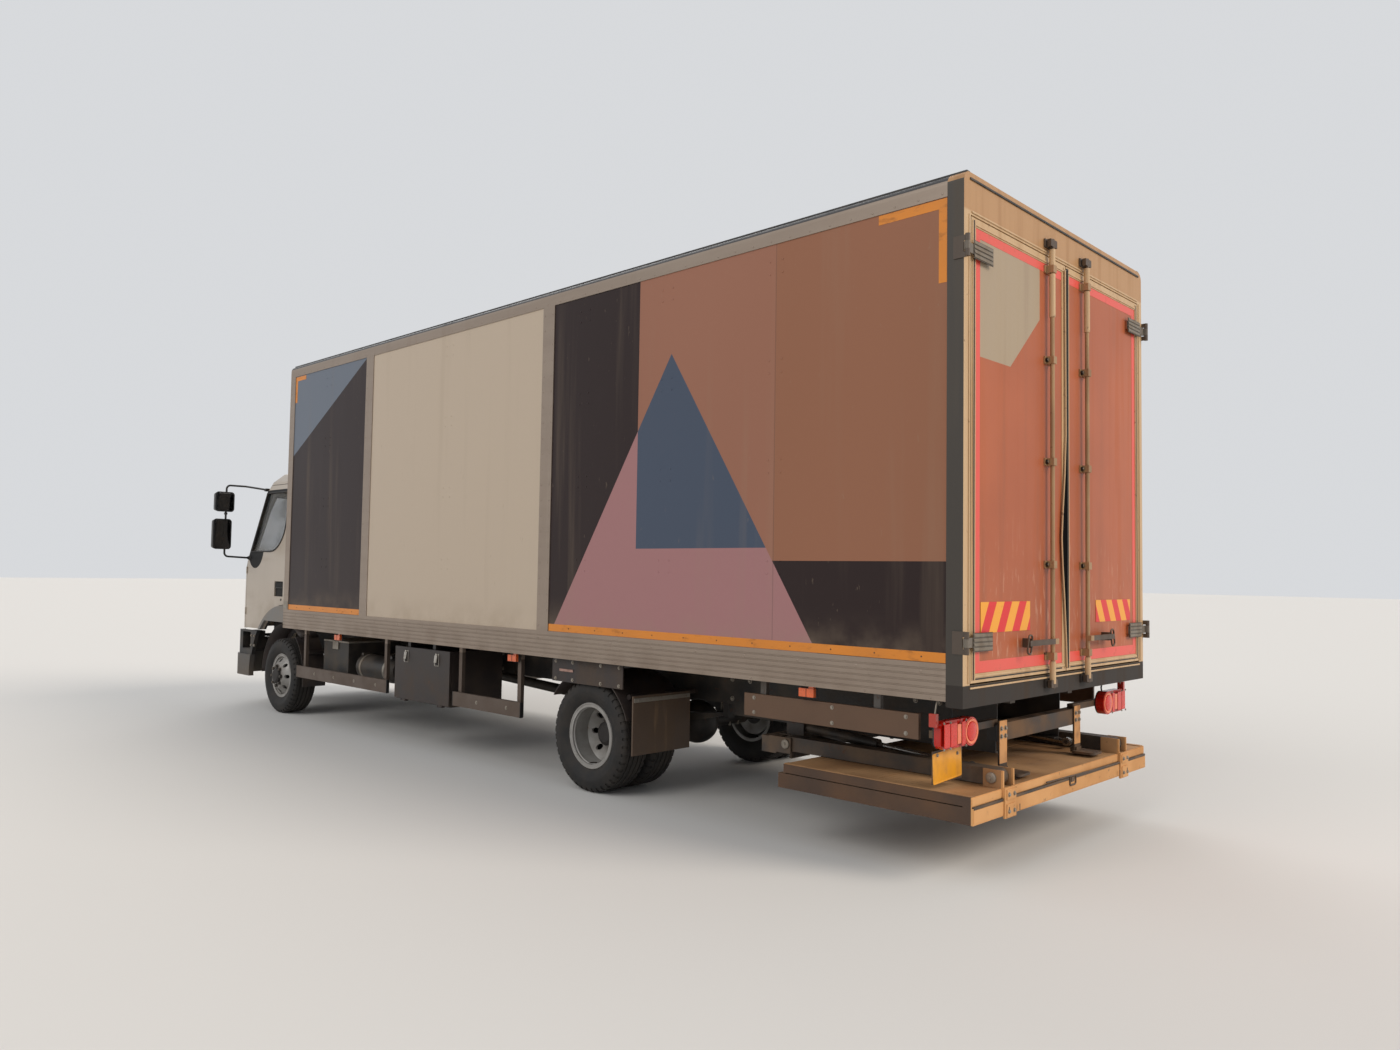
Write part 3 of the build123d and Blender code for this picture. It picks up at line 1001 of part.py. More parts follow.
GRILLE_HALF = 700
GRILLE_Z = (965, 1290)
GRILLE_DEPTH = 18
outer_cab = cab_form(0, CAB_SECTIONS[0][0])
with BuildPart() as pocket:
    add(cab_form(-20, CAB_SECTIONS[0][0]))
    add(cab_form(GRILLE_DEPTH, CAB_SECTIONS[0][0]), mode=Mode.SUBTRACT)
    block((FRONT_AXLE_X + 1000, NOSE_X + 50), (-GRILLE_HALF, GRILLE_HALF), GRILLE_Z, Mode.INTERSECT)
grille_pocket = pocket.part
SEAM_HALF = 820
SEAM_Z = (1335, 1655)
SEAM_WIDTH = 6
SEAM_DEPTH = 6
with BuildPart() as seam:
    add(cab_form(-20, CAB_SECTIONS[0][0]))
    add(cab_form(SEAM_DEPTH, CAB_SECTIONS[0][0]), mode=Mode.SUBTRACT)
    with BuildSketch(across_plane(FRONT_AXLE_X + 1000, sum(SEAM_Z) / 2)):
        Rectangle(2 * SEAM_HALF, SEAM_Z[1] - SEAM_Z[0])
        Rectangle(2 * (SEAM_HALF - SEAM_WIDTH), SEAM_Z[1] - SEAM_Z[0] - 2 * SEAM_WIDTH, mode=Mode.SUBTRACT)
    extrude(amount=400, mode=Mode.INTERSECT)
service_seam = seam.part
under_cab = cab_form(CAB_WALL, CAB_SECTIONS[0][0])
FLOOR_EDGE_Y = CAB_SECTIONS[0][2] - CAB_WALL - 8
TUNNEL_FRONT_X = FRONT_AXLE_X + 670
PIVOT_LUG_Y = (TILT_Y - 25, TILT_Y + 33)
PIVOT_LUG_LEAN = 290

with BuildPart() as cab_shell:
    add(outer_cab)
    add(under_cab, mode=Mode.SUBTRACT)
    block((CAB_REAR_X - 10, CAB_REAR_X + 50), (-1030, 1030), (800, CAB_FLOOR_BOTTOM), Mode.SUBTRACT)
    with BuildSketch(side_plane(-1200)):
        door_outline(CAB_GAP)
    extrude(amount=2400, mode=Mode.SUBTRACT)
    for side, _ in SIDES:
        skin = CAB_SECTIONS[0][2]
        with BuildSketch(side_plane(side * (skin - CAB_WALL))):
            with Locations((FRONT_AXLE_X, -AXLE_Z)):
                Circle(FLARE_RADIUS)
            with Locations(((CAB_REAR_X + NOSE_X) / 2, -CAB_SECTIONS[0][0] - 500)):
                Rectangle(NOSE_X - CAB_REAR_X, 1000, mode=Mode.INTERSECT)
        extrude(amount=side * (FLARE_OUT - skin + CAB_WALL))
    with BuildSketch(side_plane(-1200)):
        with Locations((FRONT_AXLE_X, -AXLE_Z)):
            Circle(ARCH_RADIUS)
        with Locations((FRONT_AXLE_X, -CAB_FLOOR_BOTTOM - 500)):
            Rectangle(2 * ARCH_RADIUS, 1000, mode=Mode.SUBTRACT)
    extrude(amount=2400, mode=Mode.SUBTRACT)
    with BuildSketch(across_plane(FRONT_AXLE_X + 600, 0)):
        windscreen_outline(0)
    extrude(amount=900, mode=Mode.SUBTRACT)
    add(grille_pocket, mode=Mode.SUBTRACT)
    add(service_seam, mode=Mode.SUBTRACT)
    for side, _ in SIDES:
        for z in DOOR_HINGES_Z:
            door_barrel(side, z, (-DOOR_BARREL_HALF - 0.5, DOOR_BARREL_HALF + 0.5), DOOR_BARREL + 2,
                        Mode.SUBTRACT)
            door_barrel(side, z, (-2 * DOOR_BARREL_HALF, -DOOR_BARREL_HALF - 0.5), DOOR_BARREL)
            door_barrel(side, z, (DOOR_BARREL_HALF + 0.5, 2 * DOOR_BARREL_HALF), DOOR_BARREL)
            door_barrel(side, z, (-2 * DOOR_BARREL_HALF, 2 * DOOR_BARREL_HALF), DOOR_PIN)
    with BuildPart(mode=Mode.PRIVATE) as cab_floor:
        add(under_cab)
        block((CAB_REAR_X - 100, NOSE_X + 100), (-1200, 1200), (CAB_FLOOR_BOTTOM, CAB_FLOOR_TOP),
              Mode.INTERSECT)
        for side, _ in SIDES:
            side_block(side, (FRONT_AXLE_X + DOOR_REAR - CAB_GAP, FRONT_AXLE_X + DOOR_FRONT + CAB_GAP),
                       (FLOOR_EDGE_Y, 1200), (CAB_FLOOR_BOTTOM, CAB_FLOOR_TOP), Mode.SUBTRACT)
        block((CAB_REAR_X, TUNNEL_FRONT_X + TUNNEL_WALL),
              (-TUNNEL_HALF - TUNNEL_WALL, TUNNEL_HALF + TUNNEL_WALL),
              (CAB_FLOOR_TOP, TUNNEL_TOP + TUNNEL_WALL))
        block((CAB_REAR_X - 10, TUNNEL_FRONT_X), (-TUNNEL_HALF, TUNNEL_HALF), (800, TUNNEL_TOP),
              Mode.SUBTRACT)
    add(cab_floor.part)
    block((CAB_REAR_X - 10, CAB_REAR_X + 50), (-TUNNEL_HALF, TUNNEL_HALF), (800, TUNNEL_TOP), Mode.SUBTRACT)
    for side, _ in SIDES:
        with BuildSketch(side_plane(side * PIVOT_LUG_Y[0])):
            with BuildLine():
                Polyline((TILT_X - 25, -TILT_Z + 20), (TILT_X + 22, -TILT_Z - 20),
                         (TILT_X - PIVOT_LUG_LEAN + 40, -CAB_FLOOR_BOTTOM - 10),
                         (TILT_X - PIVOT_LUG_LEAN - 60, -CAB_FLOOR_BOTTOM - 10), close=True)
            make_face()
            with Locations((TILT_X, -TILT_Z)):
                Circle(36)
                Circle(TILT_PIN + 0.3, mode=Mode.SUBTRACT)
        extrude(amount=side * (PIVOT_LUG_Y[1] - PIVOT_LUG_Y[0]))
save(cab_shell, "cab_shell")

# Cab doors and their glass
GLASS_INSET = 12
GLASS_THICK = 8
SEAT_GAP = 0.3
glass_outer = cab_form(GLASS_INSET, CAB_SECTIONS[0][0])
glass_inner = cab_form(GLASS_INSET + GLASS_THICK, CAB_SECTIONS[0][0])
for side, name in SIDES:
    with BuildPart() as cab_door:
        add(outer_cab)
        add(under_cab, mode=Mode.SUBTRACT)
        with BuildSketch(side_plane(side * 600)):
            door_outline(0)
        extrude(amount=side * 700, mode=Mode.INTERSECT)
        with BuildSketch(side_plane(side * 600)):
            side_window(0)
        extrude(amount=side * 700, mode=Mode.SUBTRACT)
        for z in DOOR_HINGES_Z:
            for low, high in ((-2 * DOOR_BARREL_HALF - 1, -DOOR_BARREL_HALF),
                              (DOOR_BARREL_HALF, 2 * DOOR_BARREL_HALF + 1)):
                door_barrel(side, z, (low, high), DOOR_BARREL + 2, Mode.SUBTRACT)
            door_barrel(side, z, (-DOOR_BARREL_HALF, DOOR_BARREL_HALF), DOOR_BARREL)
            door_barrel(side, z, (-DOOR_BARREL_HALF, DOOR_BARREL_HALF), DOOR_PIN + 0.3, Mode.SUBTRACT)
        skin = CAB_SECTIONS[0][2]
        side_block(side, HANDLE_RECESS_X, (skin - HANDLE_RECESS_DEPTH, skin + 10), HANDLE_RECESS_Z,
                   Mode.SUBTRACT)
        side_block(side, (HANDLE_RECESS_X[0] + 12, HANDLE_RECESS_X[1] - 12),
                   (skin - HANDLE_RECESS_DEPTH - 1, skin - HANDLE_RECESS_DEPTH + HANDLE_FLAP_THICK),
                   (HANDLE_FLAP_BOTTOM, HANDLE_RECESS_Z[1] - 12))
    save(cab_door, f"cab_door_{name}")
    with BuildPart() as door_glass:
        add(glass_outer)
        add(glass_inner, mode=Mode.SUBTRACT)
        with BuildSketch(side_plane(side * 600)):
            side_window(SEAT_GAP)
        extrude(amount=side * 700, mode=Mode.INTERSECT)
    save(door_glass, f"door_glass_{name}")

with BuildPart() as windscreen:
    add(glass_outer)
    add(glass_inner, mode=Mode.SUBTRACT)
    with BuildSketch(across_plane(FRONT_AXLE_X + 600, 0)):
        windscreen_outline(SEAT_GAP)
    extrude(amount=900, mode=Mode.INTERSECT)
save(windscreen, "windscreen")

# Grille: slats that follow the bowed front panel, in a shallow pocket
GRILLE_BARS = 5
GRILLE_BAR = 34
with BuildPart() as grille:
    add(cab_form(-8, CAB_SECTIONS[0][0]))
    add(cab_form(GRILLE_DEPTH, CAB_SECTIONS[0][0]), mode=Mode.SUBTRACT)
    with BuildSketch(across_plane(FRONT_AXLE_X + 1000, (GRILLE_Z[0] + GRILLE_Z[1]) / 2)):
        high = GRILLE_Z[1] - GRILLE_Z[0]
        Rectangle(2 * GRILLE_HALF - 2 * SEAT_GAP, high - 2 * SEAT_GAP)
        slot_pitch = (high - 2 * SEAT_GAP - GRILLE_BAR) / GRILLE_BARS
        with GridLocations(GRILLE_HALF - 10, slot_pitch, 2, GRILLE_BARS):
            Rectangle(GRILLE_HALF - 60, slot_pitch - GRILLE_BAR, mode=Mode.SUBTRACT)
    extrude(amount=400, mode=Mode.INTERSECT)
save(grille, "grille")

# Bumper: a wrap-round shell on the frame, lower half proud of the upper, with lamp pockets
BUMPER_HALF = 1110
BUMPER_REAR = 560
BUMPER_SHELL = 55
BUMPER_BOTTOM = 345
BUMPER_SPLIT = 590
BUMPER_TOP = 800
BUMPER_SIDE_TOP = 872
BUMPER_STEP = 14
LAMP_POCKET_Y = (700, 985)
LAMP_POCKET_Z = (610, 770)


def bumper_ring(inset, thickness, low, high):
    """One band of the bumper between two heights."""
    with BuildPart() as band:
        with BuildSketch(Plane.XY.offset(low)):
            wrap_plan(NOSE_X - inset, BUMPER_HALF - inset, FRONT_AXLE_X + BUMPER_REAR)
        extrude(amount=high - low)
        with BuildSketch(Plane.XY.offset(low)):
            wrap_plan(NOSE_X - inset - thickness, BUMPER_HALF - inset - thickness,
                      FRONT_AXLE_X + BUMPER_REAR - 1)
        extrude(amount=high - low, mode=Mode.SUBTRACT)
    return band.part


BRACKET_Y = (300, 345)
STEP_X = (FRONT_AXLE_X + 795, FRONT_AXLE_X + 1010)
STEP_Z = (655, 850)
STEP_IN = 942
STEP_WALL = 12
TREAD_BARS = 4
INTAKE_HALF = 420
INTAKE_Z = (430, 540)
INTAKE_BARS = 5
with BuildPart() as bumper:
    add(bumper_ring(0, BUMPER_SHELL, BUMPER_BOTTOM, BUMPER_SPLIT))
    add(bumper_ring(BUMPER_STEP, BUMPER_SHELL - BUMPER_STEP, BUMPER_SPLIT, BUMPER_SIDE_TOP))
    block((TILT_X - 60, NOSE_X + 10), (-1200, 1200), (BUMPER_TOP, 1000), Mode.SUBTRACT)
    with BuildSketch(side_plane(-1200)):
        with Locations((FRONT_AXLE_X, -AXLE_Z)):
            Circle(FLARE_RADIUS + CAB_GAP)
    extrude(amount=2400, mode=Mode.SUBTRACT)
    for side, _ in SIDES:
        side_block(side, (NOSE_X - 400, NOSE_X + 10), LAMP_POCKET_Y, LAMP_POCKET_Z, Mode.SUBTRACT)
        side_block(side, (STEP_X[0] - STEP_WALL, STEP_X[1] + STEP_WALL),
                   (STEP_IN - STEP_WALL, BUMPER_HALF - BUMPER_STEP - 6),
                   (STEP_Z[0] - STEP_WALL, STEP_Z[1] + STEP_WALL))
        side_block(side, STEP_X, (STEP_IN, BUMPER_HALF + 5), STEP_Z, Mode.SUBTRACT)
        bar_pitch = (BUMPER_HALF - BUMPER_STEP - STEP_IN) / (TREAD_BARS + 0.5)
        for index in range(TREAD_BARS):
            y = STEP_IN + (index + 0.5) * bar_pitch
            side_block(side, STEP_X, (y, y + bar_pitch / 2), (STEP_Z[0] - 1, STEP_Z[0] + 6))
        side_block(side, (RAIL_FRONT_X, NOSE_X - BUMPER_SHELL), BRACKET_Y,
                   (RAIL_BOTTOM + 20, RAIL_BOTTOM + 120))
    block((NOSE_X - 200, NOSE_X + 10), (-INTAKE_HALF, INTAKE_HALF), INTAKE_Z, Mode.SUBTRACT)
    bar_pitch = 2 * INTAKE_HALF / INTAKE_BARS
    for index in range(1, INTAKE_BARS):
        y = -INTAKE_HALF + index * bar_pitch
        block((NOSE_X - 62, NOSE_X - 40), (y - 8, y + 8), (INTAKE_Z[0] - 5, INTAKE_Z[1] + 5))
    block((NOSE_X - 62, NOSE_X - 40), (-INTAKE_HALF, INTAKE_HALF),
          (sum(INTAKE_Z) / 2 - 8, sum(INTAKE_Z) / 2 + 8))
save(bumper, "bumper")

with BuildPart() as headlamps:
    add(bumper_ring(BUMPER_STEP - 6, 50, LAMP_POCKET_Z[0] + SEAT_GAP, LAMP_POCKET_Z[1] - SEAT_GAP))
    with BuildPart(mode=Mode.PRIVATE) as lamp_zone:
        for side, _ in SIDES:
            side_block(side, (NOSE_X - 300, NOSE_X + 10),
                       (LAMP_POCKET_Y[0] + SEAT_GAP, LAMP_POCKET_Y[1] - SEAT_GAP),
                       LAMP_POCKET_Z)
    add(lamp_zone.part, mode=Mode.INTERSECT)
save(headlamps, "headlamps")

# Mirrors on a bent tube, carried by the door
MIRROR_X = 950
MIRROR_TUBE = 11
MIRROR_HEADS = (
    # middle y, middle z, width, height
    (1397, 2360, 216, 232),
    (1415, 1985, 208, 352),
)
for side, name in SIDES:
    with BuildPart() as mirror:
        x = FRONT_AXLE_X + MIRROR_X
        with BuildLine():
            route = FilletPolyline((FRONT_AXLE_X + 745, side * 1008, 2520), (x, side * 1150, 2556),
                                   (x, side * 1370, 2556),
                                   (x, side * 1370, 1728), (x, side * 1120, 1716),
                                   (FRONT_AXLE_X + 985, side * 1056, 1716), radius=45)
        with BuildSketch(Plane(origin=route @ 0, z_dir=route % 0)):
            Circle(MIRROR_TUBE)
        sweep()
        for y, z, width, height in MIRROR_HEADS:
            with BuildSketch(across_plane(x - 35, z, side * y)):
                RectangleRounded(width, height, 38)
            extrude(amount=80, taper=9)
        add(outer_cab, mode=Mode.SUBTRACT)
    save(mirror, f"mirror_{name}")

# Dashboard, steering wheel and seats
DASH_HALF = 985
WHEEL_CENTRE = (FRONT_AXLE_X + 740, 560, 1640)
WHEEL_TILT = 38
WHEEL_RIM = 222
WHEEL_TUBE = 15
COLUMN_LENGTH = 290
COLUMN_RADIUS = 24
steering_axis = Vector(sin(radians(WHEEL_TILT)), 0, -cos(radians(WHEEL_TILT)))
column_end = Vector(*WHEEL_CENTRE) + steering_axis * COLUMN_LENGTH
with BuildPart() as dashboard:
    add(cab_form(CAB_WALL + SEAT_GAP, CAB_FLOOR_TOP))
    with BuildSketch(side_plane(-DASH_HALF)):
        with BuildLine():
            Polyline((FRONT_AXLE_X + 930, -1260), (FRONT_AXLE_X + 860, -1520), (FRONT_AXLE_X + 900, -1640),
                     (FRONT_AXLE_X + 1000, -1685), (FRONT_AXLE_X + 1400, -1685), (FRONT_AXLE_X + 1400, -1150),
                     (FRONT_AXLE_X + 1080, -1150), close=True)
        make_face()
    extrude(amount=2 * DASH_HALF, mode=Mode.INTERSECT)
    rod(WHEEL_CENTRE, column_end + steering_axis * 2, COLUMN_RADIUS + 0.3, Mode.SUBTRACT)
save(dashboard, "dashboard")

with BuildPart() as steering_wheel:
    wheel_face = Plane(origin=WHEEL_CENTRE, x_dir=(0, 1, 0), z_dir=steering_axis)
    with Locations(wheel_face.location):
        Torus(WHEEL_RIM, WHEEL_TUBE)
        Box(2 * WHEEL_RIM, 46, 16)
        with Locations((0, -WHEEL_RIM / 2, 0)):
            Box(46, WHEEL_RIM, 16)
        Cylinder(75, 36)
    rod(WHEEL_CENTRE, column_end, COLUMN_RADIUS)
save(steering_wheel, "steering_wheel")

SEAT_TABLE = (
    # low y, high y, base low y, base high y
    (345, 800, 400, 800),
    (-860, -40, -860, -400),
)
with BuildPart() as seats:
    for low_y, high_y, base_low, base_high in SEAT_TABLE:
        block((FRONT_AXLE_X + 60, FRONT_AXLE_X + 500), (base_low, base_high), (CAB_FLOOR_TOP, 1300))
        block((FRONT_AXLE_X + 30, FRONT_AXLE_X + 540), (low_y, high_y), (1300, 1430))
        with BuildSketch(Plane.XZ.offset(-high_y)):
            with BuildLine():
                Polyline((FRONT_AXLE_X + 20, 1330), (FRONT_AXLE_X + 150, 1330), (FRONT_AXLE_X + 40, 2010),
                         (FRONT_AXLE_X + 20, 2200), (FRONT_AXLE_X - 60, 2200), (FRONT_AXLE_X - 90, 2000),
                         close=True)
            make_face()
        extrude(amount=high_y - low_y)
save(seats, "seats")
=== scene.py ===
"""Looks of a box body truck with a slide-out tail lift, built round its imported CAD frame."""
from math import cos, pi, radians, sin

import bmesh
import bpy
from mathutils import Matrix, Vector


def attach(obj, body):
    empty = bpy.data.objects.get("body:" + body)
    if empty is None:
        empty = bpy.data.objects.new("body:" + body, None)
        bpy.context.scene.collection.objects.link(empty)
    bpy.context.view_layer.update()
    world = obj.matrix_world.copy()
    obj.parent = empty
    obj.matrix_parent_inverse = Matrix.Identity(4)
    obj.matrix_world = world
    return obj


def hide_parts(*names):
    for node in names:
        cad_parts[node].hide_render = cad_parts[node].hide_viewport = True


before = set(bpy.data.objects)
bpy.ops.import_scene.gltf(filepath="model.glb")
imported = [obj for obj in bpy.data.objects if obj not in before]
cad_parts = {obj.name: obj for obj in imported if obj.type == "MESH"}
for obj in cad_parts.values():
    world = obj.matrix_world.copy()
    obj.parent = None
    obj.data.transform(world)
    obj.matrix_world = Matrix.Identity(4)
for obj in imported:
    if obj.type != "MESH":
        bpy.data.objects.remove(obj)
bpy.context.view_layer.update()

# The camera stands where the photograph was taken, behind the left rear corner of the truck.
CAMERA_PLACE = Vector((-7.533, 5.995, 1.619))
CAMERA_YAW = radians(46.202)
CAMERA_PITCH = radians(2.725)
CAMERA_ROLL = radians(0.882)
forward = Vector((cos(CAMERA_PITCH) * cos(CAMERA_YAW), -cos(CAMERA_PITCH) * sin(CAMERA_YAW),
                  sin(CAMERA_PITCH)))
level_right = forward.cross(Vector((0, 0, 1))).normalized()
level_up = level_right.cross(forward)
right = level_right * cos(CAMERA_ROLL) + level_up * sin(CAMERA_ROLL)
up = right.cross(forward)
bpy.ops.object.camera_add(location=CAMERA_PLACE)
camera = bpy.context.object
camera.data.sensor_width = 36
camera.data.lens = 25.87
camera.data.clip_end = 300
camera.matrix_world = Matrix((right, up, -forward)).transposed().to_4x4()
camera.matrix_world.translation = CAMERA_PLACE
bpy.context.scene.camera = camera
bpy.context.scene.view_settings.view_transform = "Standard"


# Shader sums are written as plain Python: a Value is one socket, and sums on it add Math nodes.
class Value:
    def __init__(self, tree, socket=None):
        self.tree = tree
        self.socket = socket

    def node(self, kind, inputs, output=0, **settings):
        """Add any node with its settings, and with the values or links of its sockets."""
        made = self.tree.nodes.new("ShaderNode" + kind)
        for key, setting in settings.items():
            setattr(made, key, setting)
        for key, given in inputs.items():
            if isinstance(given, Value):
                self.tree.links.new(given.socket, made.inputs[key])
            else:
                made.inputs[key].default_value = given
        return Value(self.tree, made.outputs[output] if made.outputs else None)

    def maths(self, operation, *numbers):
        return self.node("Math", dict(enumerate(numbers)), operation=operation)

    def __add__(self, other):
        return self.maths("ADD", self, other)

    def __radd__(self, other):
        return self.maths("ADD", other, self)

    def __sub__(self, other):
        return self.maths("SUBTRACT", self, other)

    def __rsub__(self, other):
        return self.maths("SUBTRACT", other, self)

    def __mul__(self, other):
        return self.maths("MULTIPLY", self, other)

    def __gt__(self, other):
        return self.maths("GREATER_THAN", self, other)

    def __lt__(self, other):
        return self.maths("LESS_THAN", self, other)

    def __abs__(self):
        return self.maths("ABSOLUTE", self)

    def most(self, other):
        return self.maths("MAXIMUM", self, other)

    def least(self, other):
        return self.maths("MINIMUM", self, other)

    def fract(self):
        return self.maths("FRACT", self)

    def root(self):
        return self.maths("SQRT", self)

    def zigzag(self):
        """Up and down between 0 and a half as the value grows."""
        return self.maths("PINGPONG", self, 0.5)

    def rise(self, low, high):
        """0 below low, 1 above high, and smooth between."""
        return self.node("MapRange", {0: self, 1: low, 2: high}, interpolation_type="SMOOTHSTEP")

    def between(self, low, high):
        return (self > low) * (self < high)

    def mix(self, under, over):
        """A colour that goes from `under` to `over` as this value goes from 0 to 1."""
        return self.node("Mix", {0: self, 6: under, 7: over}, 2, data_type="RGBA")


def rgb(red, green, blue):
    """A colour from its usual 0 to 255 values."""
    return tuple(((c / 255 + 0.055) / 1.055) ** 2.4 if c > 10 else c / 3294.6
                 for c in (red, green, blue)) + (1,)


class Finish:
    """A new material with its shader, and the patterns that every worn surface uses."""

    def __init__(self, name, colour, roughness, **sockets):
        self.material = bpy.data.materials.new(name)
        self.material.use_nodes = True
        self.tree = self.material.node_tree
        self.shader = self.tree.nodes["Principled BSDF"]
        self.set("Base Color", colour)
        self.set("Roughness", roughness)
        for key, setting in sockets.items():
            self.set(key.replace("_", " "), setting)
        self.place = Value(self.tree).node("TexCoord", {}, 3)
        split = self.place.node("SeparateXYZ", {0: self.place}).socket.node
        self.x, self.y, self.z = (Value(self.tree, output) for output in split.outputs)

    def noise(self, scale, detail=3.0, stretch=(1, 1, 1), roughness=0.5):
        """Cloudy noise from 0 to 1, with `scale` spots to the metre."""
        place = self.place.node("Mapping", {0: self.place, 3: stretch})
        return place.node("TexNoise", {0: place, 2: scale, 3: detail, 4: roughness})

    def cells(self, scale):
        """Small cells, 0 in their middles, with `scale` of them to the metre."""
        return self.place.node("TexVoronoi", {0: self.place, 2: scale})

    def set(self, socket, given):
        if isinstance(given, Value):
            self.tree.links.new(given.socket, self.shader.inputs[socket])
        else:
            self.shader.inputs[socket].default_value = given

    def bump(self, height, distance, strength=1.0):
        self.set("Normal", height.node("Bump", {"Height": height, "Distance": distance,
                                                "Strength": strength}))


# The studio: a pale floor that runs out to a pale backdrop, and soft light from all round.
studio = Finish("studio_paper", rgb(214, 213, 210), 0.9)
bpy.ops.mesh.primitive_plane_add(size=240, location=(0, 0, -0.001))
studio_floor = bpy.context.object
studio_floor.name = "studio_floor"
studio_floor.data.materials.append(studio.material)

world = bpy.data.worlds.new("studio_world")
bpy.context.scene.world = world
world.use_nodes = True
for old in list(world.node_tree.nodes):
    world.node_tree.nodes.remove(old)
sky = Value(world.node_tree)
rays = sky.node("LightPath", {}).socket.node.outputs
seen, mirrored, through = (Value(sky.tree, rays[f"Is {kind} Ray"])
                           for kind in ("Camera", "Glossy", "Transmission"))
lighting = sky.node("Background", {0: rgb(248, 250, 255), 1: 0.52})
backdrop = sky.node("Background", {0: rgb(226, 228, 231), 1: 0.9})
either = sky.node("MixShader", {0: seen.most(mirrored).most(through), 1: lighting, 2: backdrop})
sky.node("OutputWorld", {0: either})
LAMPS = (
    # name, power, colour, spread in degrees, where it shines from
    ("rear_light", 1.9, (1.0, 0.90, 0.79), 28, (-9, -3.5, 6.5)),
    ("left_light", 0.95, (1.0, 0.97, 0.93), 40, (1, 11, 8)),
    ("front_light", 0.7, (1.0, 0.97, 0.94), 40, (9, -6, 6)),
)
for name, power, tint, spread, source in LAMPS:
    bpy.ops.object.light_add(type="SUN", location=source)
    lamp = bpy.context.object
    lamp.name = name
    lamp.data.energy = power
    lamp.data.color = tint
    lamp.data.angle = radians(spread)
    lamp.rotation_euler = Vector(source).to_track_quat("Z", "Y").to_euler()

# Chassis: two pressed steel channels with cross tubes, bolted through their webs and painted black.
# Axles, leaf springs and tanks hang from it, and road dust and rust cover all of it from below.
CHASSIS_BLACK = rgb(36, 34, 33)
DUST = rgb(150, 132, 112)
ROAD_GREY = rgb(104, 92, 78)
RUST = rgb(98, 60, 38)
RAIL_FACE = 0.430
RAIL_BOLT_HEIGHTS = (0.700, 0.840)
CROSS_TUBES = (-4.190, -2.640, -0.940, 0.410, 1.860)
FACING = {"+X": (pi / 2, "Y"), "-X": (-pi / 2, "Y"), "+Y": (-pi / 2, "X")}


def weathered(finish, colour, dusty_below, dust=DUST, strength=1.0):
    """Dust from the road low down, streaks down the face, and small scuffs."""
    streaks = finish.noise(7.0, 4.0, (1, 1, 0.05)).rise(0.52, 0.78) * 0.22
    low = (1 - finish.z.rise(dusty_below - 0.35, dusty_below)) * finish.noise(5.0, 5.0).rise(0.3, 0.75) * 0.55
    scuffs = finish.noise(30.0, 6.0, (1, 1, 0.35), 0.62).rise(0.66, 0.74) * 0.3
    grime = streaks.most(low.most(scuffs)) * strength
    return grime.mix(colour, dust), grime


def road_worn(name, colour, roughness, dust=ROAD_GREY, dusty=0.5, rusty=0.5, **sockets):
    """The look of everything under the floor: patchy dust, and rust where the paint has gone."""
    finish = Finish(name, colour, roughness, **sockets)
    dirt = finish.noise(5.0, 5.0).rise(0.3, 0.8) * dusty
    rust = finish.noise(24.0, 6.0, roughness=0.66).rise(0.6, 0.7) * rusty
    finish.colour = rust.mix(dirt.mix(colour, dust), RUST)
    finish.set("Base Color", finish.colour)
    finish.set("Roughness", 0.48 + dirt * 0.5 + rust * 0.3)
    finish.bump(finish.noise(90.0, 4.0) * 0.6 + rust + dirt * 0.5, 0.0012, 0.7)
    return finish


def dress(finish, *nodes):
    """Give CAD nodes a finish."""
    for node in nodes:
        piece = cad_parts[node]
        if not piece.material_slots:
            piece.data.materials.append(finish.material)
        for place in piece.material_slots:
            place.material = finish.material


def begin(piece=None):
    """Leave nothing selected but the piece that comes next, so that it is the only one worked on."""
    if bpy.context.object and bpy.context.object.mode == "EDIT":
        bpy.ops.object.mode_set(mode="OBJECT")
    bpy.ops.object.select_all(action="DESELECT")
    if piece:
        piece.select_set(True)
        bpy.context.view_layer.objects.active = piece


def open_up(piece):
    """Take one piece into edit mode with all of it selected."""
    begin(piece)
    bpy.ops.object.mode_set(mode="EDIT")
    bpy.ops.mesh.select_all(action="SELECT")


def close_up(angle=35):
    """Merge doubles, turn all faces outwards, leave edit mode and shade what is smooth."""
    bpy.ops.mesh.select_all(action="SELECT")
    bpy.ops.mesh.remove_doubles(threshold=0.00002)
    bpy.ops.mesh.normals_make_consistent(inside=False)
    bpy.ops.object.mode_set(mode="OBJECT")
    bpy.ops.object.shade_smooth_by_angle(angle=radians(angle))
    return bpy.context.object


def pick(test, kind="FACE"):
    """Select the faces or edges of the open mesh whose middle and direction pass the test."""
    bpy.ops.mesh.select_mode(type=kind)
    bpy.ops.mesh.select_all(action="DESELECT")
    mesh = bmesh.from_edit_mesh(bpy.context.object.data)
    if kind == "FACE":
        for face in mesh.faces:
            face.select_set(test(face.calc_center_median(), face.normal))
    else:
        for edge in mesh.edges:
            start, end = (corner.co for corner in edge.verts)
            edge.select_set(test((start + end) / 2, (end - start).normalized()))
    mesh.select_flush_mode()
    bmesh.update_edit_mesh(bpy.context.object.data)


def copy_of(piece, name, move=(0, 0, 0), turn=(0, "Z"), about=(0, 0, 0)):
    """A copy with its own mesh, turned about an axis through a point and moved."""
    begin(piece)
    bpy.ops.object.duplicate(linked=False)
    twin = bpy.context.object
    twin.name = name
    back = Matrix.Translation(-Vector(about))
    spin = Matrix.Translation(about) @ Matrix.Rotation(turn[0], 4, turn[1]) @ back
    twin.matrix_world = Matrix.Translation(move) @ spin @ twin.matrix_world
    bpy.ops.object.transform_apply(location=True, rotation=True, scale=True)
    return twin


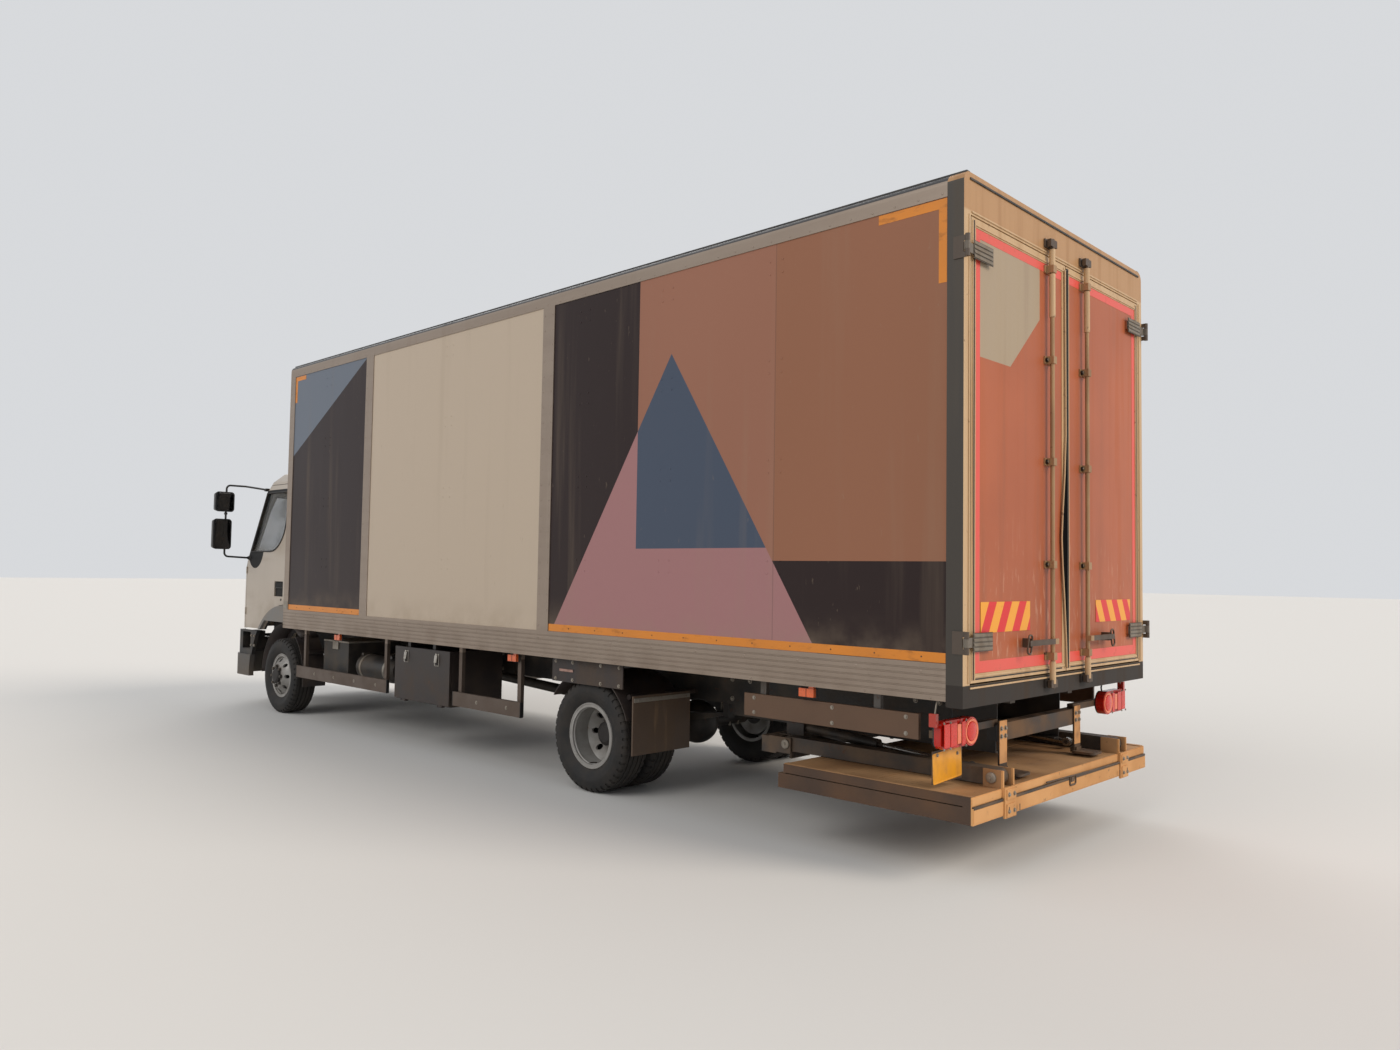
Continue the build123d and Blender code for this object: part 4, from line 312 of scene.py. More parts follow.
def flipped(piece):
    """Turn a left piece into its right-hand form."""
    open_up(piece)
    bpy.ops.transform.resize(value=(1, -1, 1), center_override=(0, 0, 0))
    bpy.ops.mesh.normals_make_consistent(inside=False)
    bpy.ops.object.mode_set(mode="OBJECT")
    return piece


def with_twin(piece):
    """A left piece and its right-hand twin."""
    return [piece, flipped(copy_of(piece, piece.name))]


def joined(name, pieces):
    """Several pieces made one object."""
    begin(pieces[0])
    for piece in pieces[1:]:
        piece.select_set(True)
    if len(pieces) > 1:
        bpy.ops.object.join()
    whole = bpy.context.object
    whole.name = name
    return whole


def fit(name, pieces, finish, body, slot, *nodes, side="left"):
    """Join pieces made on the left and fit them there, on the right or on both sides.

    The piece gets its finish, the body it moves with and the CAD nodes it stands for; its slot is not used.
    """
    piece = joined(name, pieces)
    if side == "both":
        piece = joined(name, with_twin(piece))
    elif side == "right":
        flipped(piece)
    piece.data.materials.clear()
    piece.data.materials.append(finish.material)
    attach(piece, body)
    if nodes:
        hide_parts(*nodes)
    return piece


def bolts(radius, height, facing, places, washer=1.5):
    """Hexagon heads on their washers, all facing one way, as one piece."""
    begin()
    bpy.ops.mesh.primitive_cylinder_add(vertices=6, radius=radius, depth=height, location=(0, 0, height / 2))
    bpy.ops.object.transform_apply(location=True)
    bpy.ops.object.mode_set(mode="EDIT")
    pick(lambda middle, direction: direction.z > 0.9)
    bpy.ops.mesh.inset(thickness=radius * 0.16, depth=height * 0.14)
    bpy.ops.mesh.primitive_cylinder_add(vertices=12, radius=radius * washer, depth=height * 0.3)
    head = close_up(30)
    heads = [copy_of(head, "bolt", place, FACING[facing]) for place in places]
    bpy.data.objects.remove(head)
    return joined("bolts", heads)


chassis_paint = road_worn("chassis_paint", CHASSIS_BLACK, 0.5)
dress(chassis_paint, "chassis_frame", "front_axle", "rear_axle", "leaf_springs", "air_tanks", "lift_rails")
cast_iron = road_worn("cast_iron", rgb(70, 66, 62), 0.7, dusty=0.6, rusty=0.75, Metallic=0.3)
dress(cast_iron, "engine_block", "knuckle_left", "knuckle_right")
bright_zinc = road_worn("bright_zinc", rgb(158, 152, 142), 0.4, rgb(128, 112, 94), 0.55, 0.35, Metallic=0.7)

rail_places = [(x + run, RAIL_FACE, z)
               for x in CROSS_TUBES for run in (-0.085, 0.085) for z in RAIL_BOLT_HEIGHTS]
rail_bolts = bolts(0.014, 0.012, "+Y", rail_places, 1.35)
fit("rail_bolts", [rail_bolts], bright_zinc, "chassis", "galvanised", side="both")

# Spring fixings: two round steel U-bolts hold each leaf pack down on its axle.
# They are plated, and dusty and rusty like everything near the road.
U_BOLT = 0.010
U_BOLT_HALF = 0.052
SPRING_Y = 0.395
SPRING_SEATS = (
    # axle x, top of the spring pack, bottom of the axle's seat
    (3.610, 0.434, 0.290),
    (-1.790, 0.556, 0.346),
)


def drawn(name, points, closed=False):
    """Draw a line through points by extruding one vertex, and stay in edit mode with it selected."""
    begin()
    bpy.ops.mesh.primitive_plane_add(size=0.1, location=(0, 0, 0))
    line = bpy.context.object
    line.name = name
    bpy.ops.object.mode_set(mode="EDIT")
    bpy.ops.mesh.select_mode(type="VERT")
    bpy.ops.mesh.select_all(action="SELECT")
    bpy.ops.mesh.merge(type="CENTER")
    bpy.ops.transform.translate(value=points[0])
    for last, point in zip(points, points[1:]):
        step = Vector(point) - Vector(last)
        bpy.ops.mesh.extrude_vertices_move(TRANSFORM_OT_translate={"value": step})
    bpy.ops.mesh.select_all(action="SELECT")
    if closed:
        bpy.ops.mesh.edge_face_add()


def rounded(radius, segments=5):
    """Round the corners of the line that is open."""
    bpy.ops.mesh.bevel(offset=radius, segments=segments, affect="VERTICES")
    bpy.ops.mesh.select_all(action="SELECT")


def bent_rod(name, points, radius, bend=0.0, closed=False):
    """A round rod along a line or a closed loop, with its corners bent to a radius."""
    drawn(name, points, closed)
    if closed:
        bpy.ops.mesh.delete(type="ONLY_FACE")
        bpy.ops.mesh.select_all(action="SELECT")
    if bend:
        rounded(bend)
    bpy.ops.object.mode_set(mode="OBJECT")
    bpy.ops.object.convert(target="CURVE")
    bpy.context.object.data.bevel_depth = radius
    bpy.context.object.data.bevel_resolution = 1
    bpy.context.object.data.use_fill_caps = not closed
    bpy.ops.object.convert(target="MESH")
    bpy.ops.object.mode_set(mode="EDIT")
    return close_up(40)


u_bolts = []
inner = SPRING_Y - U_BOLT_HALF
outer = SPRING_Y + U_BOLT_HALF
for axle, top, bottom in SPRING_SEATS:
    for x in (axle - 0.045, axle + 0.045):
        route = ((x, inner, bottom), (x, inner, top + 0.016), (x, outer, top + 0.016), (x, outer, bottom))
        u_bolts.append(bent_rod("u_bolt", route, U_BOLT, 0.018))
fit("spring_u_bolts", u_bolts, bright_zinc, "chassis", "galvanised", side="both")

# Tyres: black rubber rings with a worn road tread, moulded in one piece and seated on their rims.
# Four grooves run round the tread, short slots cut its shoulders, and dust greys the side walls.
AXLE_HEIGHT = 0.408
FRONT_AXLE = 3.610
REAR_AXLE = -1.790
TYRE_STEPS = 126
SLOT_EVERY = 3
GROOVE_DEPTH = 0.011
GROOVE_HALF = 0.0045
GROOVES = (-0.064, -0.022, 0.022, 0.064)
SIDE_PROFILE = (
    # distance from the tyre's middle, radius, from the bead out to the tread's edge
    (0.080, 0.2225), (0.088, 0.238), (0.104, 0.256), (0.121, 0.288), (0.1295, 0.318), (0.1305, 0.334),
    (0.1285, 0.340), (0.1285, 0.352), (0.1270, 0.356), (0.1220, 0.376), (0.1130, 0.395), (0.1020, 0.4045),
    (0.0850, 0.4070),
)


def turned(name, profile, centre, axis="X", steps=24, angle=35):
    """A piece turned about a line through `centre`: the profile gives (along the axis, radius)."""
    along = Vector([float(axis == letter) for letter in "XYZ"])
    out = Vector((1, 0, 0)) if axis == "Z" else Vector((0, 0, 1))
    centre = Vector(centre)
    drawn(name, [centre + along * run + out * radius for run, radius in profile])
    bpy.ops.mesh.spin(steps=steps, angle=2 * pi, center=centre, axis=along)
    return close_up(angle)


def from_axle(finish):
    """Distance from the centre of the nearer axle, seen from the side."""
    across = abs(finish.x - FRONT_AXLE).least(abs(finish.x - REAR_AXLE))
    high = finish.z - AXLE_HEIGHT
    return (across * across + high * high).root()


rubber = Finish("tyre_rubber", rgb(24, 23, 23), 0.86)
rubber_reach = from_axle(rubber)
rubber_dust = rubber.noise(9, 5.0).rise(0.35, 0.8) * 0.22 + rubber_reach.rise(0.37, 0.41) * 0.10
rubber_dust = rubber_dust + (1 - rubber_reach.rise(0.235, 0.262)) * 0.15
rubber.set("Base Color", rubber_dust.mix(rgb(20, 19, 19), rgb(86, 76, 66)))
rubber.set("Roughness", 0.72 + rubber_dust * 0.3)
rubber.bump(rubber.noise(140, 4.0) + rubber.noise(11, 3.0) * 1.5, 0.0009, 0.8)

tread_profile = list(SIDE_PROFILE)
for groove in reversed(GROOVES):
    for edge, cut in ((1, 0), (0.8, GROOVE_DEPTH), (-0.8, GROOVE_DEPTH), (-1, 0)):
        tread_profile.append((groove + GROOVE_HALF * edge, AXLE_HEIGHT - cut))
tread_profile += [(-run, radius) for run, radius in reversed(SIDE_PROFILE)]
tread_profile.append(SIDE_PROFILE[0])
axle_centre = Vector((FRONT_AXLE, 0, AXLE_HEIGHT))
first_tyre = turned("tyre_pattern", tread_profile, axle_centre, "Y", TYRE_STEPS)


def in_a_slot(middle, direction):
    turn = (Vector((middle.x, middle.z)) - Vector((FRONT_AXLE, AXLE_HEIGHT))).angle_signed(Vector((0, 1)))
    step = int((turn / (2 * pi) + 1) * TYRE_STEPS) % SLOT_EVERY
    return step == 0 and abs(middle.y) > 0.086 and (middle - axle_centre).length > 0.398


open_up(first_tyre)
pick(in_a_slot)
bpy.ops.mesh.extrude_region_shrink_fatten(TRANSFORM_OT_shrink_fatten={"value": -0.007})
close_up()
TYRES = (
    # body, node, axle, places across the truck
    ("front_wheel_left", "front_tyre_left", FRONT_AXLE, (0.970,)),
    ("front_wheel_right", "front_tyre_right", FRONT_AXLE, (-0.970,)),
    ("rear_wheels_left", "rear_tyres_left", REAR_AXLE, (0.750, 1.040)),
    ("rear_wheels_right", "rear_tyres_right", REAR_AXLE, (-0.750, -1.040)),
)
for body, node, axle, places in TYRES:
    rings = []
    for number, across in enumerate(places):
        turn = (0.37 * (number + abs(across)), "Y")
        rings.append(copy_of(first_tyre, "ring", (axle - FRONT_AXLE, across, 0), turn, axle_centre))
    fit("rubber_" + node, rings, rubber, body, "tyre_rubber", node)
bpy.data.objects.remove(first_tyre)

# Wheels: pressed steel discs welded into rolled rims, painted silver grey and held on by eight nuts.
# Each rim shows its stepped rings, brake dust darkens the dish, and the cast hub is black.
NUT_CIRCLE = 0.106
NUTS = 8
LIP = ((0.097, 0.228), (0.101, 0.232), (0.101, 0.239), (0.095, 0.2425), (0.088, 0.240), (0.088, 0.2375),
       (0.097, 0.228))
STEP_RING = ((0.060, 0.2105), (0.068, 0.2045), (0.078, 0.2045), (0.084, 0.2105), (0.060, 0.2105))
VALVE = ((0.030, 0.203), (0.075, 0.196), (0.100, 0.199))
WHEEL_FACES = (
    # side, rim node, body, axle, face of the disc where the nuts sit, middle of the outer rim
    ("left", "front_rim_left", "front_wheel_left", FRONT_AXLE, 1.113, 0.970),
    ("right", "front_rim_right", "front_wheel_right", FRONT_AXLE, 1.113, 0.970),
    ("left", "rear_rims_left", "rear_wheels_left", REAR_AXLE, 0.909, 1.040),
    ("right", "rear_rims_right", "rear_wheels_right", REAR_AXLE, 0.909, 1.040),
)

wheel_paint = Finish("wheel_paint", rgb(150, 148, 145), 0.45, Metallic=0.25)
wheel_reach = from_axle(wheel_paint)
hub_part = 1 - wheel_reach.rise(0.087, 0.091)
brake_dust = wheel_paint.noise(8.0, 5.0).rise(0.25, 0.75) * 0.45 + (1 - wheel_reach.rise(0.10, 0.19)) * 0.25
wheel_colour = hub_part.mix(brake_dust.mix(rgb(158, 156, 152), rgb(86, 76, 66)), rgb(48, 45, 43))
wheel_rust = wheel_paint.noise(40.0, 5.0, roughness=0.65).rise(0.63, 0.72) * 0.55
wheel_paint.set("Base Color", wheel_rust.mix(wheel_colour, RUST))
wheel_paint.set("Roughness", 0.4 + brake_dust * 0.5)
wheel_paint.bump(wheel_paint.noise(60.0, 4.0) + wheel_rust, 0.0007, 0.6)

for side, node, body, axle, face, middle in WHEEL_FACES:
    dress(wheel_paint, node)
    nut = bolts(0.0165, 0.024, "+Y", [(axle, face, AXLE_HEIGHT + NUT_CIRCLE)], 1.3)
    centre = (axle, 0, AXLE_HEIGHT)
    nuts = [copy_of(nut, "nut", turn=(2 * pi * number / NUTS, "Y"), about=centre)
            for number in range(1, NUTS)]
    rim_rings = [turned("rim_ring", [(middle + run, radius) for run, radius in profile], centre, "Y", 72)
                 for profile in (LIP, STEP_RING)]
    valve_line = [(axle, middle + run, AXLE_HEIGHT - reach) for run, reach in VALVE]
    valve = bent_rod("valve", valve_line, 0.0045, 0.012)
    fit("rim_rings_" + body, rim_rings, wheel_paint, body, "wheel_silver", side=side)
    fit("wheel_nuts_" + body, [nut] + nuts + [valve], cast_iron, body, "cast_metal", side=side)

# Tanks: pressed steel air tanks and a battery box on the left, a welded aluminium fuel tank on the right.
# Steel bands with a tension bolt hold them to the chassis, and the silencer drum is rusty from its heat.
AIR_TANKS_Y = (0.600, 0.890)
AIR_TANK_Z = 0.620
AIR_TANK_RADIUS = 0.125
PORT = ((0.001, 0.016), (0.010, 0.016), (0.012, 0.011), (0.020, 0.011), (0.020, 0))
TANK_BANDS_X = (1.480, 1.940)
FUEL_BANDS_X = (1.640, 2.300)
FUEL_CORNERS = ((-0.475, 0.430), (-1.085, 0.430), (-1.085, 0.880), (-0.475, 0.880))
FILLER = (2.410, -1.077, 0.892)
DRUM_BANDS_X = (2.720, 2.910)
DRUM_MIDDLE = (-0.770, 0.640)
DRUM_RADIUS = 0.150


def modified(piece, kind, **settings):
    """Give a piece one modifier and apply it."""
    begin(piece)
    change = piece.modifiers.new("change", kind)
    for key, setting in settings.items():
        setattr(change, key, setting)
    bpy.ops.object.modifier_apply(modifier="change")
    return piece


def pulled(step):
    """Extrude what is selected in the open mesh."""
    bpy.ops.mesh.extrude_region_move(TRANSFORM_OT_translate={"value": step})


def cut_plate(name, points, depth, edge=0.002, rounding=0.0):
    """A plate cut to an outline and given its thickness, with round corners and broken edges."""
    drawn(name, points, closed=True)
    if rounding:
        rounded(rounding)
    pulled(depth)
    plate = close_up()
    if edge:
        modified(plate, "BEVEL", width=edge, segments=2, limit_method="ANGLE", angle_limit=radians(40))
        bpy.ops.object.shade_smooth_by_angle(angle=radians(35))
    return plate


def block(name, low, high, edge=0.003):
    """A block between two corners with rounded edges."""
    (x0, y0, z0), (x1, y1, z1) = low, high
    return cut_plate(name, ((x0, y0, z0), (x1, y0, z0), (x1, y1, z0), (x0, y1, z0)), (0, 0, z1 - z0), edge)


def blocks(name, edge, *corners):
    """Blocks of one kind, each from its low corner to its high corner."""
    return [block(name, low, high, edge) for low, high in corners]


def ring(name, low, high, inner, outer, centre, axis="X", steps=48):
    """A plain ring or sleeve, turned about an axis."""
    profile = ((low, inner), (low, outer), (high, outer), (high, inner), (low, inner))
    return turned(name, profile, centre, axis, steps)


def band(name, corners, rounding, width, gauge):
    """A steel band round a closed line, with its width along the truck."""
    drawn(name, corners, closed=True)
    bpy.ops.mesh.delete(type="ONLY_FACE")
    bpy.ops.mesh.select_all(action="SELECT")
    rounded(rounding, 8)
    pulled((width, 0, 0))
    return modified(close_up(), "SOLIDIFY", thickness=gauge, offset=1)


bands = []
for y in AIR_TANKS_Y:
    for x in TANK_BANDS_X:
        bands.append(ring("band", -0.017, 0.017, 0.1255, 0.1285, (x, y, AIR_TANK_Z)))
        bands.append(block("clamp", (x - 0.016, y - 0.012, 0.492), (x + 0.016, y + 0.012, 0.500), 0.002))
    bands.append(turned("drain", ((0, 0.010), (-0.012, 0.010), (-0.012, 0.006), (-0.026, 0.006), (-0.026, 0)),
                        (1.700, y, AIR_TANK_Z - AIR_TANK_RADIUS + 0.002), "Z", 12))
    for end, x in ((-1, 1.360), (1, 2.060)):
        port = [(end * run, radius) for run, radius in PORT]
        bands.append(turned("port", port, (x, y, AIR_TANK_Z), "X", 12))
bands += [block("battery_lid", (2.184, 0.440, 0.842), (2.736, 1.016, 0.862), 0.008),
          block("battery_catch", (2.400, 1.010, 0.770), (2.520, 1.022, 0.852), 0.004)]
fit("air_tank_bands", bands, bright_zinc, "chassis", "galvanised")

tank_alloy = Finish("tank_alloy", rgb(156, 156, 154), 0.36, Metallic=0.85)
tank_dirt = tank_alloy.noise(5.0, 5.0).rise(0.3, 0.8) * 0.6 + (1 - tank_alloy.z.rise(0.44, 0.66)) * 0.3
tank_alloy.set("Base Color", tank_dirt.mix(rgb(164, 164, 162), rgb(112, 102, 90)))
tank_alloy.set("Roughness", 0.32 + tank_dirt * 0.5)
tank_alloy.set("Metallic", 0.85 - tank_dirt * 0.6)
tank_alloy.bump(tank_alloy.noise(220.0, 2.0, (1, 0.03, 0.03)), 0.0004, 0.5)
dress(tank_alloy, "fuel_tank")
fuel_bands = [band("fuel_band", [(x, y, z) for y, z in FUEL_CORNERS], 0.092, 0.045, 0.003)
              for x in FUEL_BANDS_X]
cap = turned("fuel_cap", ((0, 0.046), (0.004, 0.050), (0.020, 0.050), (0.026, 0.044), (0.026, 0.030),
                          (0.032, 0.026), (0.032, 0)), (0, 0, 0), "Z")
open_up(cap)
bpy.ops.transform.rotate(value=-pi / 4, orient_axis="X", center_override=(0, 0, 0))
bpy.ops.transform.translate(value=FILLER)
fuel_bands.append(close_up())
fit("fuel_tank_bands", fuel_bands, bright_zinc, "chassis", "galvanised")

silencer_steel = road_worn("silencer_steel", rgb(112, 98, 86), 0.6, rgb(92, 78, 64), 0.7, 0.95, Metallic=0.5)
dress(silencer_steel, "silencer")
drum_bands = [ring("drum_band", -0.018, 0.018, DRUM_RADIUS, DRUM_RADIUS + 0.003, (x, *DRUM_MIDDLE))
              for x in DRUM_BANDS_X]
fit("silencer_bands", drum_bands, cast_iron, "chassis", "cast_metal")

# Mudguards: black moulded plastic sheets over the wheels on steel stays, with rubber flaps behind.
# Mud thrown by the tyres has dried on them in brown patches, and a pale bar marks each rear side sheet.
COVER_FACE = 1.190
FLAP_REAR = -2.295
LINER_Y = (0.830, 1.045)
LINER_RADIUS = 0.576
LINER_STEPS = 22
PLATE_RADIUS = 0.574
PLATE_Y = 0.824


def grimy(name, clean, dirty, spots, rise, roughness, grain=None, **sockets):
    """A finish of one colour under patches of dirt, which also dull it.

    Given are the noise of its spots, where they rise and how strongly, its roughness and what dirt adds
    to it, and the scale, detail, depth and strength of its grain.
    """
    finish = Finish(name, clean, roughness[0], **sockets)
    dirt = finish.noise(*spots).rise(rise[0], rise[1]) * rise[2]
    finish.set("Base Color", dirt.mix(clean, dirty))
    finish.set("Roughness", roughness[0] + dirt * roughness[1])
    if grain:
        finish.bump(finish.noise(grain[0], grain[1]), grain[2], grain[3])
    return finish


mud_plastic = Finish("mud_plastic", rgb(44, 38, 38), 0.6)
mud = mud_plastic.noise(4.0, 6.0, (1, 1, 0.6), 0.6).rise(0.35, 0.75) * 0.75
flap_part = (mud_plastic.x < -2.27) * (mud_plastic.z < 0.76)
scrape = mud_plastic.noise(18.0, 5.0, (1, 1, 0.12)).rise(0.55, 0.72) * 0.5
mud_colour = mud.mix(rgb(44, 38, 38), rgb(82, 68, 56))
mud_plastic.set("Base Color", (flap_part * (0.35 + scrape * 0.8)).mix(mud_colour, rgb(124, 98, 72)))
mud_plastic.set("Roughness", 0.5 + mud * 0.45)
mud_plastic.bump(mud_plastic.noise(50.0, 4.0) + mud * 0.8, 0.0015, 0.7)
dress(mud_plastic, "mudguards")

cover_places = [(x, COVER_FACE, z) for x in (-2.150, -1.950, -1.630, -1.430) for z in (0.805, 0.935)]
flap_places = [(FLAP_REAR, y, 0.715) for y in (0.660, 0.800, 0.990, 1.130)]
flap_strip = block("flap_strip", (FLAP_REAR - 0.004, 0.615, 0.700), (FLAP_REAR, 1.175, 0.730), 0.0015)
guard_fixings = [bolts(0.009, 0.007, "+Y", cover_places, 1.6), bolts(0.009, 0.007, "-X", flap_places, 1.6)]
fit("mudguard_bolts", guard_fixings + [flap_strip], bright_zinc, "chassis", "galvanised", side="both")


def round_axle(radius, y, angles):
    """Points round the front axle, at angles in degrees."""
    return [(FRONT_AXLE + radius * cos(radians(angle)), y, AXLE_HEIGHT + radius * sin(radians(angle)))
            for angle in angles]


liner_angles = [step * 130 / LINER_STEPS for step in range(LINER_STEPS + 1)]
drawn("arch_liner", round_axle(LINER_RADIUS, LINER_Y[1], liner_angles))
pulled((0, LINER_Y[0] - LINER_Y[1], 0))
pick(lambda middle, direction: middle.y < LINER_Y[0] + 0.001, "EDGE")
pulled((0, -0.002, 0))
bpy.ops.transform.resize(value=(0.875, 1, 0.875), center_override=(FRONT_AXLE, LINER_Y[0], AXLE_HEIGHT))
arch_liner = modified(close_up(), "SOLIDIFY", thickness=0.004)
plate_line = round_axle(PLATE_RADIUS, PLATE_Y, range(20, 81, 10))
plate_line += [(3.720, PLATE_Y, 0.985), (4.400, PLATE_Y, 0.985), (4.400, PLATE_Y, 0.600)]
splash_plate = cut_plate("splash_plate", plate_line, (0, 0.004, 0), 0)
fit("arch_liners", [arch_liner, splash_plate], mud_plastic, "chassis", "black_plastic", side="both")

pale_bar = grimy("pale_bar", rgb(164, 128, 116), rgb(104, 84, 74), (30.0, 4.0), (0.35, 0.7, 0.4), (0.35, 1))
guard_bar = block("guard_bar", (-1.640, COVER_FACE, 0.862), (-1.480, COVER_FACE + 0.006, 0.882))
fit("mudguard_bars", [guard_bar], pale_bar, "chassis", "white_board", side="both")

# Floor: steel cross bearers under a plywood board, sealed brown and worn pale where loads slide in.
# Its upper face has a fine grain along the truck and dark scratches.
board = Finish("floor_board", rgb(112, 78, 54), 0.6)
board_grain = board.noise(14.0, 6.0, (0.08, 1, 1), 0.6)
board_wear = board.noise(2.2, 5.0, (0.5, 1, 1)).rise(0.42, 0.7) * 0.6
board_colour = board_grain.mix(rgb(84, 58, 40), rgb(132, 94, 66))
board.set("Base Color", board_wear.mix(board_colour, rgb(158, 134, 108)))
board.set("Roughness", 0.45 + board_wear * 0.4)
board.bump(board_grain + board.noise(120.0, 3.0, (0.05, 1, 1)) * 0.5, 0.0012, 0.6)
dress(board, "load_floor")
bearer_steel = road_worn("bearer_steel", rgb(92, 88, 84), 0.6, dusty=0.75, rusty=0.45, Metallic=0.4)
dress(bearer_steel, "floor_bearers")

# Body frame: an extruded aluminium skirt, posts and cant rails, dull with a light film of dust.
# Pop rivets hold the panels to the posts and rails, and larger ones hold the skirt to the cross bearers.
POST_EDGES = (-1.374, -1.278, 1.426, 1.522)
CORNER_RIVETS = (3.124, 3.186)
BODY_SIDE = 1.250
alloy = Finish("body_alloy", rgb(148, 137, 126), 0.42, Metallic=0.5)
alloy_drift = alloy.noise(9, 4.0, (0.15, 1, 1)).mix(rgb(140, 125, 112), rgb(158, 143, 129))
alloy_colour, alloy_grime = weathered(alloy, alloy_drift, 1.25, rgb(124, 108, 94))
# Painted shade: the side guards under the floor are darkened towards a dark brown.
shaded_guard_rails = 1 - alloy.z.rise(0.905, 0.915)
roof_film = alloy.z.rise(3.750, 3.752)
alloy_colour = roof_film.mix((shaded_guard_rails * 0.8).mix(alloy_colour, rgb(78, 65, 57)), rgb(48, 47, 48))
alloy.set("Base Color", alloy_colour)
alloy.set("Metallic", 0.5 - roof_film * 0.5)
alloy.set("Roughness", 0.4 + alloy_grime * 0.4)
alloy.bump(alloy.noise(260, 2.0, (0.02, 1, 1)), 0.0004)
dress(alloy, "side_frames", "side_guards")


def rivets(radius, start, step, count):
    """A line of low round rivet heads on the left side, a step apart."""
    profile = ((-0.0005, radius), (0.0008, radius), (0.0022, radius * 0.7), (0.0028, radius * 0.3),
               (0.0029, 0))
    return modified(turned("rivets", profile, start, "Y", 8, 60), "ARRAY", use_relative_offset=False,
                    use_constant_offset=True, constant_offset_displace=step, count=count)


frame_rivets = [rivets(0.006, (x, BODY_SIDE, 1.200), (0, 0, 0.12), 21) for x in POST_EDGES + CORNER_RIVETS]
frame_rivets += [rivets(0.006, (-4.760, BODY_SIDE, 3.684), (0.15, 0, 0), 53),
                 rivets(0.006, (-4.700, BODY_SIDE, 0.975), (0.42, 0, 0), 19),
                 rivets(0.009, (-4.640, BODY_SIDE, 1.111), (0.42, 0, 0), 19)]
fit("frame_rivets", frame_rivets, alloy, "chassis", "body_frame", side="both")
corner_plate = block("corner_plate", (3.118, BODY_SIDE - 0.001, 1.165),
                     (3.206, BODY_SIDE + 0.004, 1.250), 0.0015)
fit("corner_plates", [corner_plate], bright_zinc, "chassis", "body_frame", side="both")

# Roof edge: a black rubber capping strip lies along the crown of each cant rail, where the roof skin is
# sealed to it, and a black film runs down from it over the rail's bend.
sealant = grimy("black_sealant", rgb(32, 31, 31), rgb(96, 88, 80), (9.0, 5.0), (0.4, 0.75, 0.45), (0.5, 0.4),
                (70.0, 3.0, 0.0008, 0.6))
roof_capping = block("roof_capping", (-4.886, 1.176, 3.776), (3.206, 1.213, 3.798), 0.004)
fit("roof_cappings", [roof_capping], sealant, "chassis", "black_plastic", side="both")

# Side walls: smooth painted panels in plain blocks of colour, riveted between the aluminium posts.
# Road dust lies along the lower edge, rain has drawn faint streaks, and the skin is not quite flat.
REAR_FACE = -4.890
WALL_FACE = 1.244
WALL_JOINT = 1.29
TAN = rgb(152, 104, 80)
DARK_BROWN = rgb(41, 28, 27)
PANEL_FOOT = 1.16
DARK_FROM = 2.53
DARK_TOP = 1.70
PEAK_SLOPE = 1.55
PEAK_FEET = (0.95, 3.46)
PALE_RUN = (3.55, 6.4)


def blocks_of_colour(finish):
    """The plain colour blocks of the body, which run the same way along both sides."""
    along = finish.x - REAR_FACE
    high = finish.z
    above = high - PANEL_FOOT
    shade = finish.noise(0.35, 2.0, (1, 1, 0.3)).rise(0.35, 0.65)
    colour = shade.mix(TAN, rgb(142, 97, 73))
    colour = along.rise(1.28, 1.30).mix(colour, shade.mix(rgb(155, 108, 88), rgb(148, 102, 82)))
    colour = (along > DARK_FROM).mix(colour, DARK_BROWN)
    colour = ((along < DARK_FROM) * (high < DARK_TOP)).mix(colour, DARK_BROWN)
    mauve = above < (along - PEAK_FEET[0]) * PEAK_SLOPE
    mauve = mauve * (above < (PEAK_FEET[1] - along) * PEAK_SLOPE) * (along < 3.5)
    colour = mauve.mix(colour, rgb(160, 116, 116))
    slate = (above > 0.62) * mauve * (along < DARK_FROM)
    colour = slate.mix(colour, rgb(70, 80, 97))
    colour = along.between(*PALE_RUN).mix(colour, rgb(188, 172, 153))
    corner = (along > PALE_RUN[1]) * ((high - 2.75) > (8.09 - along) * 0.55)
    return corner.mix(colour, rgb(104, 112, 124))


wall_paint = Finish("wall_paint", TAN, 0.34, Coat_Weight=0.06, Coat_Roughness=0.15, Specular_IOR_Level=0.2)
wall_colour, wall_grime = weathered(wall_paint, blocks_of_colour(wall_paint), 1.45, strength=0.7)
joint = abs(wall_paint.x - REAR_FACE - WALL_JOINT) < 0.004
wall_paint.set("Base Color", (joint * 0.25).mix(wall_colour, rgb(60, 46, 42)))
wall_paint.set("Roughness", 0.38 + wall_grime * 0.5)
wall_relief = wall_paint.noise(1.3, 2.0, (1, 1, 0.6)) + wall_paint.noise(40, 2.0) * 0.01 - joint * 0.1
wall_paint.bump(wall_relief, 0.02, 0.35)
dress(wall_paint, "wall_left", "wall_right")

# Panel rivets: groups of four heads, painted over, where each panel is fixed to the rails inside.
# The groups stand one above the other at even steps.
PANEL_GROUPS = (-3.600, -2.640, -1.760, 0.074, 2.322)
panel_rivets = [rivets(0.007, (x + run, WALL_FACE, z), (0, 0, 0.62), 4)
                for x in PANEL_GROUPS for run in (-0.05, 0.05) for z in (1.62, 1.70)]
fit("panel_rivets", panel_rivets, wall_paint, "chassis", "body_panel", side="both")

